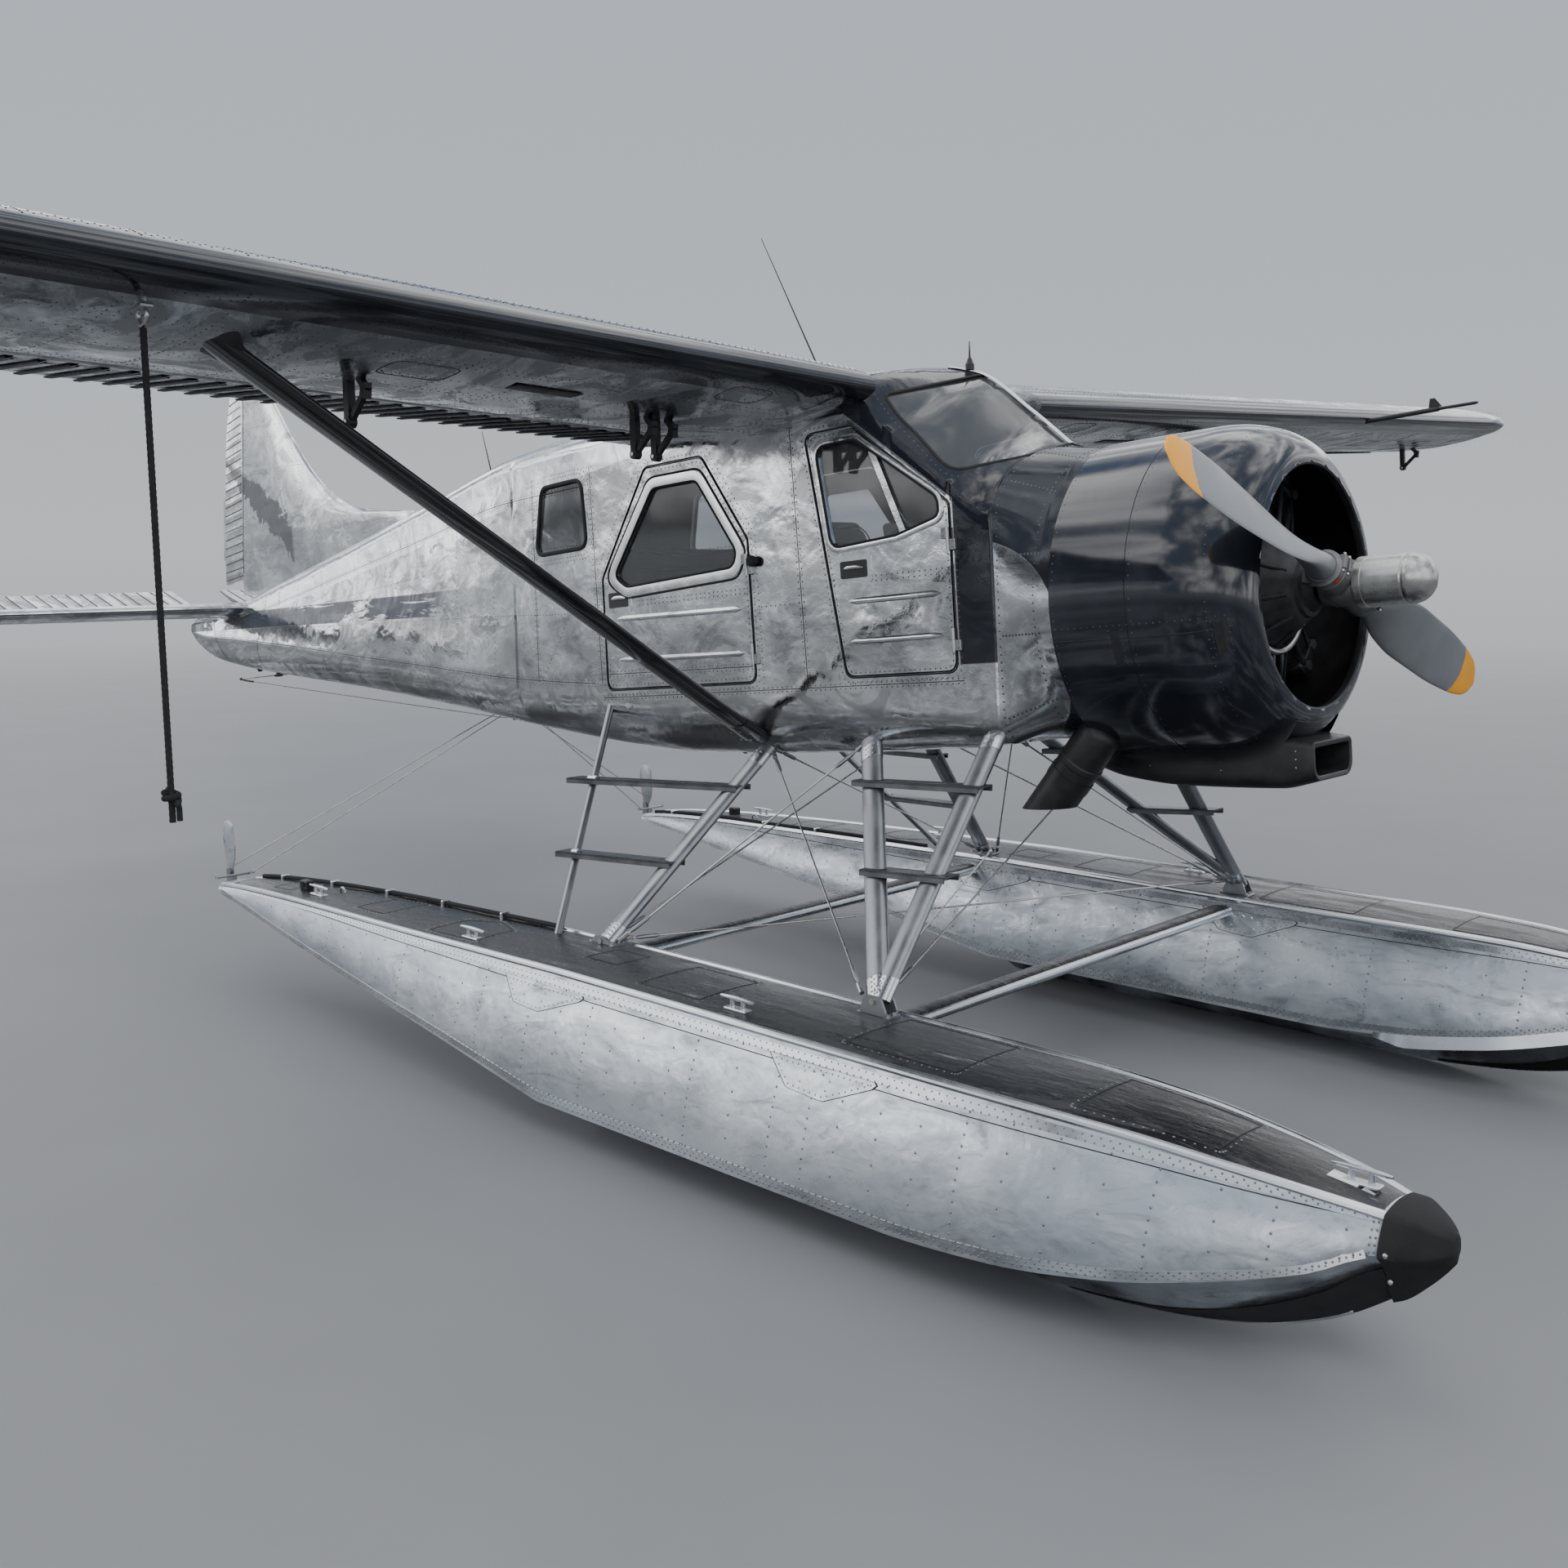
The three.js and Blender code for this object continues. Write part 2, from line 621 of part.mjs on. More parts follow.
// The ring cowl's outer curve from its lip back
function cowlOutside(grow) {
  const rows = [];
  for (let i = 0; i <= COWL_STEPS; i += 1) {
    const turn = (Math.PI / 2) * (i / COWL_STEPS);
    rows.push([RING_FRONT_X - LIP_REACH + (LIP_REACH + grow) * Math.cos(turn),
      RING_OPENING_RADIUS + (RING_RADIUS + grow - RING_OPENING_RADIUS) * Math.sin(turn)]);
  }
  return rows;
}

function engineCowl() {
  const inner = [];
  for (let i = 0; i <= COWL_STEPS; i += 1) {
    const turn = (Math.PI / 2) * (i / COWL_STEPS);
    inner.push([RING_FRONT_X - LIP_REACH + (LIP_REACH - 25) * Math.cos(turn),
      RING_OPENING_RADIUS + 2 + (RING_RADIUS - RING_OPENING_RADIUS - RING_SKIN - 2) * Math.sin(turn)]);
  }
  const outer = [...cowlOutside(0), [RING_REAR_X, RING_RADIUS]];
  inner.push([RING_REAR_X, RING_RADIUS - RING_SKIN]);
  return revolve([...outer, ...inner.reverse(), outer[0]], COWL_SEGMENTS);
}

function cowlCutter(grow) {
  const front = RING_FRONT_X + 60;
  return revolve([[front, 0], [front, RING_OPENING_RADIUS], ...cowlOutside(grow), [-1500, RING_RADIUS + grow],
    [-1500, 0]], COWL_SEGMENTS);
}

// Chin scoop: x, half width, upper z, lower z
const SCOOP = [
  [-70, 165, -560, -705],
  [-200, 185, -540, -730],
  [-570, 190, -500, -722],
  [-850, 170, -500, -690],
  [-1080, 120, -500, -625],
];
function scoop() {
  const ring = ([x, half, top, bottom]) => {
    const c = 28;
    return [[x, -half, top], [x, -half, bottom + c], [x, -half + c, bottom], [x, half - c, bottom],
      [x, half, bottom + c], [x, half, top]];
  };
  const inlet = box([-260, 0], [-140, 140], [-690, -580]);
  return loft(SCOOP.map(ring)).subtract(inlet).subtract(cowlCutter(SEAM_GAP))
    .subtract(noseFill());
}

function noseFill() {
  const count = skinRing(CABIN_STATIONS[0]).length;
  return loft([skinRing([-1400, ...CABIN_STATIONS[0].slice(1)], SEAM_GAP),
    skinRing([FIREWALL_X, ...CABIN_STATIONS[0].slice(1)], SEAM_GAP),
    circleRing(-900, NOSE_RING_RADIUS, SEAM_GAP, count), circleRing(-700, NOSE_RING_RADIUS, SEAM_GAP, count)]);
}

// Exhaust pipe: leaves under the starboard rear of the ring cowl and is cut off level
const EXHAUST_START = [-840, -330, -500];
const EXHAUST_END = [-1100, -335, -800];
const EXHAUST_RADIUS = 88;
function exhaust() {
  const beyond = along(EXHAUST_START, EXHAUST_END, 1.4);
  const outer = bar(EXHAUST_START, beyond, EXHAUST_RADIUS, 20);
  const bore = bar(along(EXHAUST_START, EXHAUST_END, 0.5), along(EXHAUST_START, EXHAUST_END, 1.6), EXHAUST_RADIUS - 6, 20);
  const level = box([-1600, -400], [-700, 100], [-1400, -790]);
  return outer.subtract(bore).subtract(level).subtract(cowlCutter(SEAM_GAP)).subtract(noseFill());
}

// Nine-cylinder radial engine
const CYLINDERS = 9;
const FIN_BANDS = 3;
const ENGINE_X = -430;
const HUB_REAR_X = -70;
// Behind the cylinders stand the baffle with the exhaust ring, and the accessories and oil tank
const BAFFLE_RADIUS = 570;
const ACCESSORY_RADIUS = 400;
const SOCKET_RADIUS = 68;
const SOCKET_REACH = 190;
function engine() {
  const barrel = [[0, 0], [0, 78]];
  for (let k = 0; k < FIN_BANDS; k += 1) {
    const z = 20 + k * 78;
    barrel.push([z, 78], [z + 14, 98], [z + 44, 98]);
  }
  barrel.push([254, 78], [266, 92], [330, 92], [345, 60], [345, 0]);
  const rear = FIREWALL_X + SEAM_GAP;
  const front = HUB_REAR_X - SEAM_GAP;
  let whole = revolve([[rear, 0], [rear, ACCESSORY_RADIUS], [-710, ACCESSORY_RADIUS], [-670, BAFFLE_RADIUS],
    [-545, BAFFLE_RADIUS], [-530, 300], [-330, 290], [-280, 215], [-170, 150], [-120, 95], [-82, 80], [-82, 45],
    [front, 45], [front, 0]], 24);
  const cylinder = new THREE.LatheGeometry(barrel.map(([z, r]) => new THREE.Vector2(r, z)), 8);
  cylinder.rotateX(Math.PI / 2);
  cylinder.translate(ENGINE_X, 0, 225);
  for (let k = 0; k < CYLINDERS; k += 1) {
    const turn = (2 * Math.PI * k) / CYLINDERS;
    whole = whole.add(solid(orient(cylinder.clone().rotateX(turn))));
    for (const offset of [-45, 45]) {
      const rod = bar([-300, offset * 0.8, 200], [-370, offset, 545], 11, 5);
      whole = whole.add(rod.rotate([THREE.MathUtils.radToDeg(turn), 0, 0]));
    }
  }
  return whole;
}

// Propeller: hub, dome and two blades, turning about the thrust line
function propellerHub() {
  const profile = [[HUB_REAR_X, 0], [HUB_REAR_X, 75], [-30, 82], [60, 82], [60, 92], [250, 92], [285, 84], [312, 62], [326, 30],
    [329, 0]];
  const sockets = [0, Math.PI].map((turn) => bar([0, 0, 0], [0, 0, SOCKET_REACH], SOCKET_RADIUS, 16)
    .rotate([THREE.MathUtils.radToDeg(BLADE_ANGLE + turn), 0, 0]));
  return join(revolve(profile, 24), ...sockets);
}

const BLADE = [
  // radius, half chord, half thickness, pitch in degrees from the disc
  [SOCKET_REACH + SEAM_GAP, 52, 50, 60],
  [300, 66, 36, 52],
  [430, 96, 22, 42],
  [600, 112, 15, 33],
  [850, 112, 11, 25],
  [1080, 100, 8, 20],
  [1210, 80, 6, 17],
  [1270, 52, 5, 16],
  [PROPELLER_RADIUS, 16, 4, 16],
];
function blade(turn) {
  const rings = BLADE.map(([radius, half, thick, pitch]) => {
    const angle = THREE.MathUtils.degToRad(pitch);
    return Array.from({ length: 12 }, (_, i) => {
      const a = (2 * Math.PI * i) / 12;
      const c = half * Math.cos(a);
      const t = thick * Math.sin(a);
      return [-c * Math.sin(angle) - t * Math.cos(angle), c * Math.cos(angle) - t * Math.sin(angle), radius];
    });
  });
  return loft(rings).rotate([THREE.MathUtils.radToDeg(turn), 0, 0]);
}

// Tail surfaces
const FIN = [
  // height, leading edge x, half thickness at the rudder post
  [540, -5700, 58],
  [905, -5760, 56],
  [945, -5960, 55],
  [985, -6290, 53],
  [1050, -6550, 51],
  [1125, -6705, 49],
  [1240, -6865, 46],
  [1345, -6985, 44],
  [1530, -7150, 40],
  [1775, -7330, 35],
  [1960, -7460, 30],
  [2060, -7590, 20],
];
const postX = (z) => RUDDER_FOOT[0] + ((RUDDER_HEAD[0] - RUDDER_FOOT[0]) * (z - RUDDER_FOOT[1]))
  / (RUDDER_HEAD[1] - RUDDER_FOOT[1]);

// Hinge tabs of the fin: height, the rudder's nose radius there
const RUDDER_TABS = [[900, 25.6], [1450, 23.5]];
function fin() {
  const rings = FIN.map(([z, lead, half]) => {
    const rear = postX(z) + 34;
    const nose = Math.min(350, (lead - rear) * 0.45);
    const side = [];
    for (let i = 0; i <= 3; i += 1) {
      const turn = (Math.PI / 2) * (i / 3);
      side.push([lead - nose * (1 - Math.cos(turn)), half * Math.sin(turn)]);
    }
    side.push([rear, half]);
    const port = side.slice(1).map(([x, y]) => [x, -y, z]).reverse();
    return [...side.map(([x, y]) => [x, y, z]), ...port];
  });
  const tabs = RUDDER_TABS.map(([z, half]) => box([postX(z - 5) + half + 1.8, postX(z) + 60], [-10, 10], [z - 5, z + 5]));
  return join(loft(rings), ...tabs).subtract(skin(TAIL_STATIONS, SEAM_GAP))
    .subtract(skin(CABIN_STATIONS, SEAM_GAP));
}

const RUDDER = [
  // height, chord share, nose half thickness
  [RUDDER_FOOT[1] + 12, 0.97, 26],
  [RUDDER_FOOT[1] + 60, 1, 26],
  [1100, 0.97, 25],
  [1550, 0.86, 23],
  [1860, 0.7, 20],
  [2010, 0.52, 16],
  [2075, 0.3, 12],
];
function rudder() {
  const rings = RUDDER.map(([z, share, half]) => {
    const side = [];
    for (let i = 0; i <= 4; i += 1) {
      const turn = (Math.PI / 2) * (i / 4);
      side.push([postX(z) + half * Math.cos(turn), half * Math.sin(turn)]);
    }
    side.push([postX(z) - RUDDER_CHORD * share, 4]);
    const other = side.slice(1).map(([x, y]) => [x, -y, z]).reverse();
    return [...side.map(([x, y]) => [x, y, z]), ...other];
  });
  return loft(rings);
}

const TAIL_SECTION = [[0, 0], [0.03, 0.35], [0.12, 0.75], [0.35, 1], [1, 0.8]];
// Hinge tabs of the tailplane: span station, the elevator's nose radius there
const ELEVATOR_TABS = [[700, 29], [1900, 26.6]];
function tailplane(side) {
  const rows = [[60, 0, 48], [2250, 0, 38], [2370, 60, 28], [TAIL_HALF_SPAN, 170, 12]];
  const rings = rows.map(([y, back, half]) => {
    const rear = ELEVATOR_HINGE_X + 42;
    const lead = TAIL_LE_X - back;
    const upper = TAIL_SECTION.map(([f, t]) => [lead + (rear - lead) * f, side * y, TAIL_Z + half * t]);
    const lower = TAIL_SECTION.slice(1).map(([f, t]) => [lead + (rear - lead) * f, side * y, TAIL_Z - half * t]);
    return [...upper, ...lower.reverse()];
  });
  const tabs = ELEVATOR_TABS.map(([y, half]) => box([ELEVATOR_HINGE_X + half + SEAM_GAP, ELEVATOR_HINGE_X + 60],
    [side * y - 15, side * y + 15], [TAIL_Z - 8, TAIL_Z + 8]));
  return join(loft(rings), ...tabs).subtract(skin(TAIL_STATIONS, SEAM_GAP));
}

function elevator(side) {
  const rows = [[190, 1, 30], [2200, 0.86, 26], [2400, 0.5, 16]];
  const rings = rows.map(([y, share, half]) => {
    const nose = [];
    for (let i = 0; i <= 8; i += 1) {
      const turn = Math.PI / 2 - (Math.PI * i) / 8;
      nose.push([ELEVATOR_HINGE_X + half * Math.cos(turn), side * y, TAIL_Z + half * Math.sin(turn)]);
    }
    const tail = ELEVATOR_HINGE_X - ELEVATOR_CHORD * share;
    return [...nose, [tail, side * y, TAIL_Z - 4], [tail, side * y, TAIL_Z + 4]];
  });
  return loft(rings);
}

function about([x, y, z], axis, turn, manifold) {
  const matrix = new THREE.Matrix4().makeTranslation(x, y, z)
    .multiply(new THREE.Matrix4().makeRotationAxis(new THREE.Vector3(...axis).normalize(), turn))
    .multiply(new THREE.Matrix4().makeTranslation(-x, -y, -z));
  return solid(toGeometry(manifold).applyMatrix4(matrix));
}

// Floats: x, deck z, deck half width, chine half width, chine z, keel z
const FLOAT_STATIONS = [
  [1010, 548, 40, 52, 480, 420],
  [900, 580, 90, 125, 480, 318],
  [740, 605, 135, 205, 405, 205],
  [500, 630, 180, 285, 330, 105],
  [200, 652, 215, 345, 255, 40],
  [-200, DECK_Z, 240, 370, 190, 4],
  [-600, DECK_Z, 245, 375, 165, 0],
  [STEP_X, DECK_Z, 245, 375, 160, 0],
];
const AFTERBODY_STATIONS = [
  [STEP_X + 1, DECK_Z, 245, 375, 160, 80],
  [-3300, 640, 235, 345, 300, 205],
  [-4500, 605, 180, 235, 425, 350],
  [-5150, 565, 130, 155, 490, 440],
  [STERN_X, 533, 98, 115, 505, 466],
];

function floatRing([x, deck, deckHalf, chineHalf, chine, keel]) {
  const half = [[0, deck + DECK_CROWN], [deckHalf, deck], [deckHalf + (chineHalf - deckHalf) * 0.72, deck + (chine - deck) * 0.5],
    [chineHalf, chine], [0, keel]];
  const other = half.slice(1, -1).reverse();
  return [...half.map(([y, z]) => [x, y, z]), ...other.map(([y, z]) => [x, -y, z])];
}

const BUMPER_X = 905;
function floatHull() {
  const fore = loft(FLOAT_STATIONS.map(floatRing));
  const aft = loft(AFTERBODY_STATIONS.map(floatRing));
  return join(fore, aft).subtract(box([BUMPER_X - SEAM_GAP, 1200], [-300, 300], [0, 800]));
}

// A float's hull moved by the seam gap, to cut what rests on its deck or meets its side
function hullCutter(side, towards) {
  return floatHull().translate([0, side * FLOAT_Y + towards * SEAM_GAP, towards ? 0 : SEAM_GAP]);
}

function bumper() {
  const grown = FLOAT_STATIONS.slice(0, 2).map(([x, deck, deckHalf, chineHalf, chine, keel]) =>
    [x + 30, deck + 8, deckHalf + 10, chineHalf + 12, chine, keel - 12]);
  const rear = [BUMPER_X, 588, 98, 135, 480, 305];
  const tip = [1065, 530, 14, 18, 500, 470];
  return loft([tip, ...grown, rear].map(floatRing));
}

// Float fittings and struts, given in the airframe frame
const FRONT_FITTING = [-1178, 1348, -1366];
const AFT_FITTING = [-2671, 1348, -1262];
const FRONT_STRUT_HEADS = [[-1160, 545, -450], [-1820, 540, -490]];
const REAR_STRUT_HEAD = [-2420, 545, -515];
const LADDER_FOOT = [-2990, 1350, -1240];
const LADDER_HEAD = [-3440, 550, -250];
const BLOCK_HALF_LENGTH = 75;
const BLOCK_HALF_WIDTH = 36;
// Steps between two struts of a side: share of the rear one's length, of the front one's, and how far
// past the front one the step runs, as a share of the distance between them
const FRONT_STEPS = [[0.455, 0.43, 1.3], [0.81, 0.76, 1.12]];
const REAR_STEPS = [[0.3, 0.385, 1.06], [0.61, 0.78, 1.06]];

// The fitting block on the deck that a strut stands on
function deckBlock([x, y, z]) {
  return box([x - BLOCK_HALF_LENGTH, x + BLOCK_HALF_LENGTH], [y - BLOCK_HALF_WIDTH, y + BLOCK_HALF_WIDTH],
    [DECK_Z - 40, z + 25]);
}

function frontStruts(side) {
  const foot = toStanding(onBoard(FRONT_FITTING, side));
  const heads = FRONT_STRUT_HEADS.map((p) => toStanding(onBoard(p, side)));
  const legs = heads.map((head) => streamBar(foot, head, 48, 26, 12));
  const steps = FRONT_STEPS.map(([rear, front, past]) =>
    step(along(foot, heads[1], rear), along(foot, heads[0], front), past));
  return join(...legs, deckBlock(foot), ...steps).subtract(bodyCutter()).subtract(hullCutter(side, 0));
}

function rearStruts(side) {
  const foot = toStanding(onBoard(AFT_FITTING, side));
  const head = toStanding(onBoard(REAR_STRUT_HEAD, side));
  const ladderFoot = toStanding(onBoard(LADDER_FOOT, side));
  const ladderHead = toStanding(onBoard(LADDER_HEAD, side));
  const railFoot = along(ladderFoot, ladderHead, -0.12);
  const main = streamBar(foot, head, 48, 26, 12);
  const rail = bar(railFoot, ladderHead, 17, 10);
  const steps = REAR_STEPS.map(([rear, front, past]) =>
    step(along(ladderFoot, ladderHead, rear), along(foot, head, front), past));
  return join(main, rail, deckBlock(foot), ...steps).subtract(bodyCutter()).subtract(hullCutter(side, 0));
}

const STEP_HALF = [48, 12];
function step(a, b, past) {
  const [half, rise] = STEP_HALF;
  const ring = ([x, y, z]) => [[x, y - half, z - rise], [x, y + half, z - rise], [x, y + half, z + rise],
    [x, y - half, z + rise]];
  return loft([ring(along(a, b, -0.15)), ring(along(a, b, past))]);
}

let cutter = null;
function bodyCutter() {
  if (!cutter) {
    const matrix = new THREE.Matrix4().makeTranslation(0, 0, THRUST_LINE_HEIGHT)
      .multiply(new THREE.Matrix4().makeRotationY(-NOSE_UP));
    cutter = solid(toGeometry(roundBody()).applyMatrix4(matrix));
  }
  return cutter;
}

// Spreader bars between the floats
function spreader(x, z) {
  const reach = FLOAT_Y - 200;
  return streamBar([x, -reach, z], [x, reach, z], 62, 34, 12)
    .subtract(hullCutter(1, -1)).subtract(hullCutter(-1, 1));
}

// Water rudders: the post stands between two lugs of the transom and carries two cheeks,
// and the blade turns between the cheeks. It is drawn in its raised position.
const POST_X = STERN_X - 30;
const LUG_HEIGHTS = [470, 482, 522, 534];
const PIVOT = [STERN_X - 80, 578];
const CHEEK_INSIDE = 10;

function transomLugs() {
  const [low, lowTop, highFoot, high] = LUG_HEIGHTS;
  const lugX = [POST_X - 16, STERN_X + 60];
  return join(box(lugX, [-14, 14], [low, lowTop]), box(lugX, [-14, 14], [highFoot, high]));
}

function rudderPost(side) {
  const y = side * FLOAT_Y;
  const [, lowTop, highFoot] = LUG_HEIGHTS;
  const post = bar([POST_X, y, lowTop + SEAM_GAP], [POST_X, y, highFoot - SEAM_GAP], 14, 10);
  const outline = [[POST_X, lowTop + 4], [POST_X, highFoot - 4], [POST_X - 30, highFoot - 4],
    [PIVOT[0] + 15, PIVOT[1] + 20], [PIVOT[0] - 15, PIVOT[1] + 20], [PIVOT[0] - 20, lowTop + 4]];
  const cheeks = [1, -1].map((s) => sidePlate(outline, y + s * CHEEK_INSIDE, y + s * (CHEEK_INSIDE + 4)));
  return join(post, ...cheeks);
}

function rudderBlade(side) {
  const y = side * FLOAT_Y;
  const [x, z] = PIVOT;
  const outline = [[x - 22, z - 18], [x + 12, z - 18], [x + 58, z + 60], [x + 72, z + 150], [x + 55, z + 265],
    [x + 10, z + 285], [x - 40, z + 270], [x - 60, z + 175], [x - 30, z + 50]];
  const reach = CHEEK_INSIDE - SEAM_GAP;
  return join(sidePlate(outline, y - 4, y + 4), bar([x, y - reach, z], [x, y + reach, z], 10, 10));
}

// Cabin furniture
function seat(x, y, half, depth = 430) {
  const base = box([x - depth / 2, x + depth / 2], [y - half, y + half], [FLOOR_Z + SEAM_GAP, -60]);
  const back = sidePlate([[x - depth / 2, -60.5], [x - depth / 2 + 90, -60.5], [x - depth / 2 - 20, 480],
    [x - depth / 2 - 90, 480]], y - half, y + half);
  return join(base, back);
}

part('cabin_shell', cabinShell(), BARE);
doorsAndGlass();

function rearFuselage() {
  const stations = shifted(TAIL_STATIONS, -SEAM_GAP, 0);
  const inner = [[-4150, ...TAIL_STATIONS[0].slice(1)], ...TAIL_STATIONS.slice(0, 6)];
  const hollow = skin(inner, -TAIL_WALL);
  return skin(stations).subtract(hollow);
}
part('rear_fuselage', rearFuselage(), BARE);

// Whip antenna on the cabin roof, leaning aft
const WHIP = [[-2400, 0, 1080], [-2757, 0, 1848]];
const WHIP_RADIUS = 5;
part('whip_antenna', bar(...WHIP, WHIP_RADIUS, 6).subtract(roundBody()), BLACK);
wings();
wingStruts();

part('nose_cowl', noseCowl(), BARE);
part('engine_cowl', engineCowl(), DARK_PAINT);
part('cowl_scoop', scoop(), BLACK);
part('exhaust_pipe', exhaust(), BLACK);
part('engine', engine(), STEEL);
part('propeller_hub', propellerHub(), STEEL);
part('blade_1', blade(BLADE_ANGLE), BLADE_GREY);
part('blade_2', blade(BLADE_ANGLE + Math.PI), BLADE_GREY);

part('fin', fin(), BARE);
const hingeAxis = [RUDDER_HEAD[0] - RUDDER_FOOT[0], 0, RUDDER_HEAD[1] - RUDDER_FOOT[1]];
part('rudder', about([RUDDER_FOOT[0], 0, RUDDER_FOOT[1]], hingeAxis, -RUDDER_TURN, rudder()), BARE);
for (const [word, side] of SIDES) {
  part(`tailplane_${word}`, tailplane(side), BARE);
  part(`elevator_${word}`, about([ELEVATOR_HINGE_X, 0, TAIL_Z], [0, 1, 0], ELEVATOR_UP, elevator(side)), BARE);
}

for (const [word, side] of SIDES) {
  const hull = floatHull().add(transomLugs()).translate([0, side * FLOAT_Y, 0]);
  part(`float_${word}`, hull, FLOAT_SKIN, standing);
  part(`bow_bumper_${word}`, bumper().translate([0, side * FLOAT_Y, 0]), RUBBER, standing);
  part(`front_strut_${word}`, frontStruts(side), STEEL, standing);
  part(`rear_strut_${word}`, rearStruts(side), STEEL, standing);
  part(`water_rudder_post_${word}`, rudderPost(side), STEEL, standing);
  part(`water_rudder_blade_${word}`, rudderBlade(side), STEEL, standing);
}
part('spreader_bar_front', spreader(-1070, 600), STEEL, standing);
part('spreader_bar_rear', spreader(-2560, 595), STEEL, standing);

part('tiedown_rope', tieRope(), BLACK, standing);

const cabinAir = skin(shifted(CABIN_STATIONS, -WALL, WALL), -WALL - SEAM_GAP);
part('instrument_panel', box([-1275, -1235], [-620, 620], [60, 420]).intersect(cabinAir), BLACK);
const column = join(bar([-1563, 0, FLOOR_Z - 20], [-1480, 0, 230], 22, 8), bar([-1480, 0, 220], [-1480, 330, 230], 16, 8));
part('control_column', column.intersect(box([-1700, -1400], [-400, 400], [FLOOR_Z + SEAM_GAP, 400])), BLACK);
part('front_seat_left', seat(-1900, 290, 220), SEAT);
part('front_seat_right', seat(-1900, -290, 220), SEAT);
part('rear_bench', seat(-3150, 0, 520), SEAT);

export default floatplane;
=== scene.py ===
import json
import math
import bmesh
import bpy
import numpy as np
from mathutils import Matrix, Vector
from mathutils.bvhtree import BVHTree
from mathutils.interpolate import poly_3d_calc

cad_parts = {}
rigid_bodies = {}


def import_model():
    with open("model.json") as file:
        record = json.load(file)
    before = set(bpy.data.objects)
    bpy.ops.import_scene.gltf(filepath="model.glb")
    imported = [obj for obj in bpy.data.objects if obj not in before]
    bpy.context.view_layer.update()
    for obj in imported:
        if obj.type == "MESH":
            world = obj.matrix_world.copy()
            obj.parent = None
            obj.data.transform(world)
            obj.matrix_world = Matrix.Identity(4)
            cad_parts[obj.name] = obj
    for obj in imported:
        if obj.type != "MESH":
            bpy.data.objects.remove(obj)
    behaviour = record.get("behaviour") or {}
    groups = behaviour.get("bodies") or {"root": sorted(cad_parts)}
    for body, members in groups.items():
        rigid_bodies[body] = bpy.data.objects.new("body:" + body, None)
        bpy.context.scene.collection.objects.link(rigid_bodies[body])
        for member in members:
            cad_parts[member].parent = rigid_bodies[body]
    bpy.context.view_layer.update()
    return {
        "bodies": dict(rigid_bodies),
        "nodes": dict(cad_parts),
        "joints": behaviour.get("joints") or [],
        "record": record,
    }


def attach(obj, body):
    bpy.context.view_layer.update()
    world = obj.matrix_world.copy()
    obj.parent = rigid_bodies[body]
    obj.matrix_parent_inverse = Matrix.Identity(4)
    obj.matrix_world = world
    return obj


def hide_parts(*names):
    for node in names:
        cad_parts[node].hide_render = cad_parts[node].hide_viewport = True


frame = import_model()


# Everything is in metres. The airframe is drawn in its own frame, x forward from the propeller
# plane, y to port, z up from the thrust line; floats stand on the ground frame, x from the same plane.
NOSE_UP = math.radians(5.5)
PROPELLER_X = 3.897
THRUST_Z = 2.19
AIR = Matrix.Translation((PROPELLER_X, 0, THRUST_Z)) @ Matrix.Rotation(-NOSE_UP, 4, "Y")
GROUND = Matrix.Translation((PROPELLER_X, 0, 0))
SIDES = (("left", 1), ("right", -1))
TURN = 2 * math.pi


# Camera, at the photograph's place and angle
CAMERA_AT = (6.3196, -5.5202, 2.3219)
CAMERA_TURN = (81.387, 0.054, 43.278)
CAMERA_LENS = 35.864


def make_camera():
    data = bpy.data.cameras.new("camera")
    data.lens = CAMERA_LENS
    data.sensor_width = 36
    data.clip_end = 300
    camera = bpy.data.objects.new("camera", data)
    camera.location = CAMERA_AT
    camera.rotation_euler = [math.radians(a) for a in CAMERA_TURN]
    bpy.context.scene.collection.objects.link(camera)
    bpy.context.scene.camera = camera


make_camera()


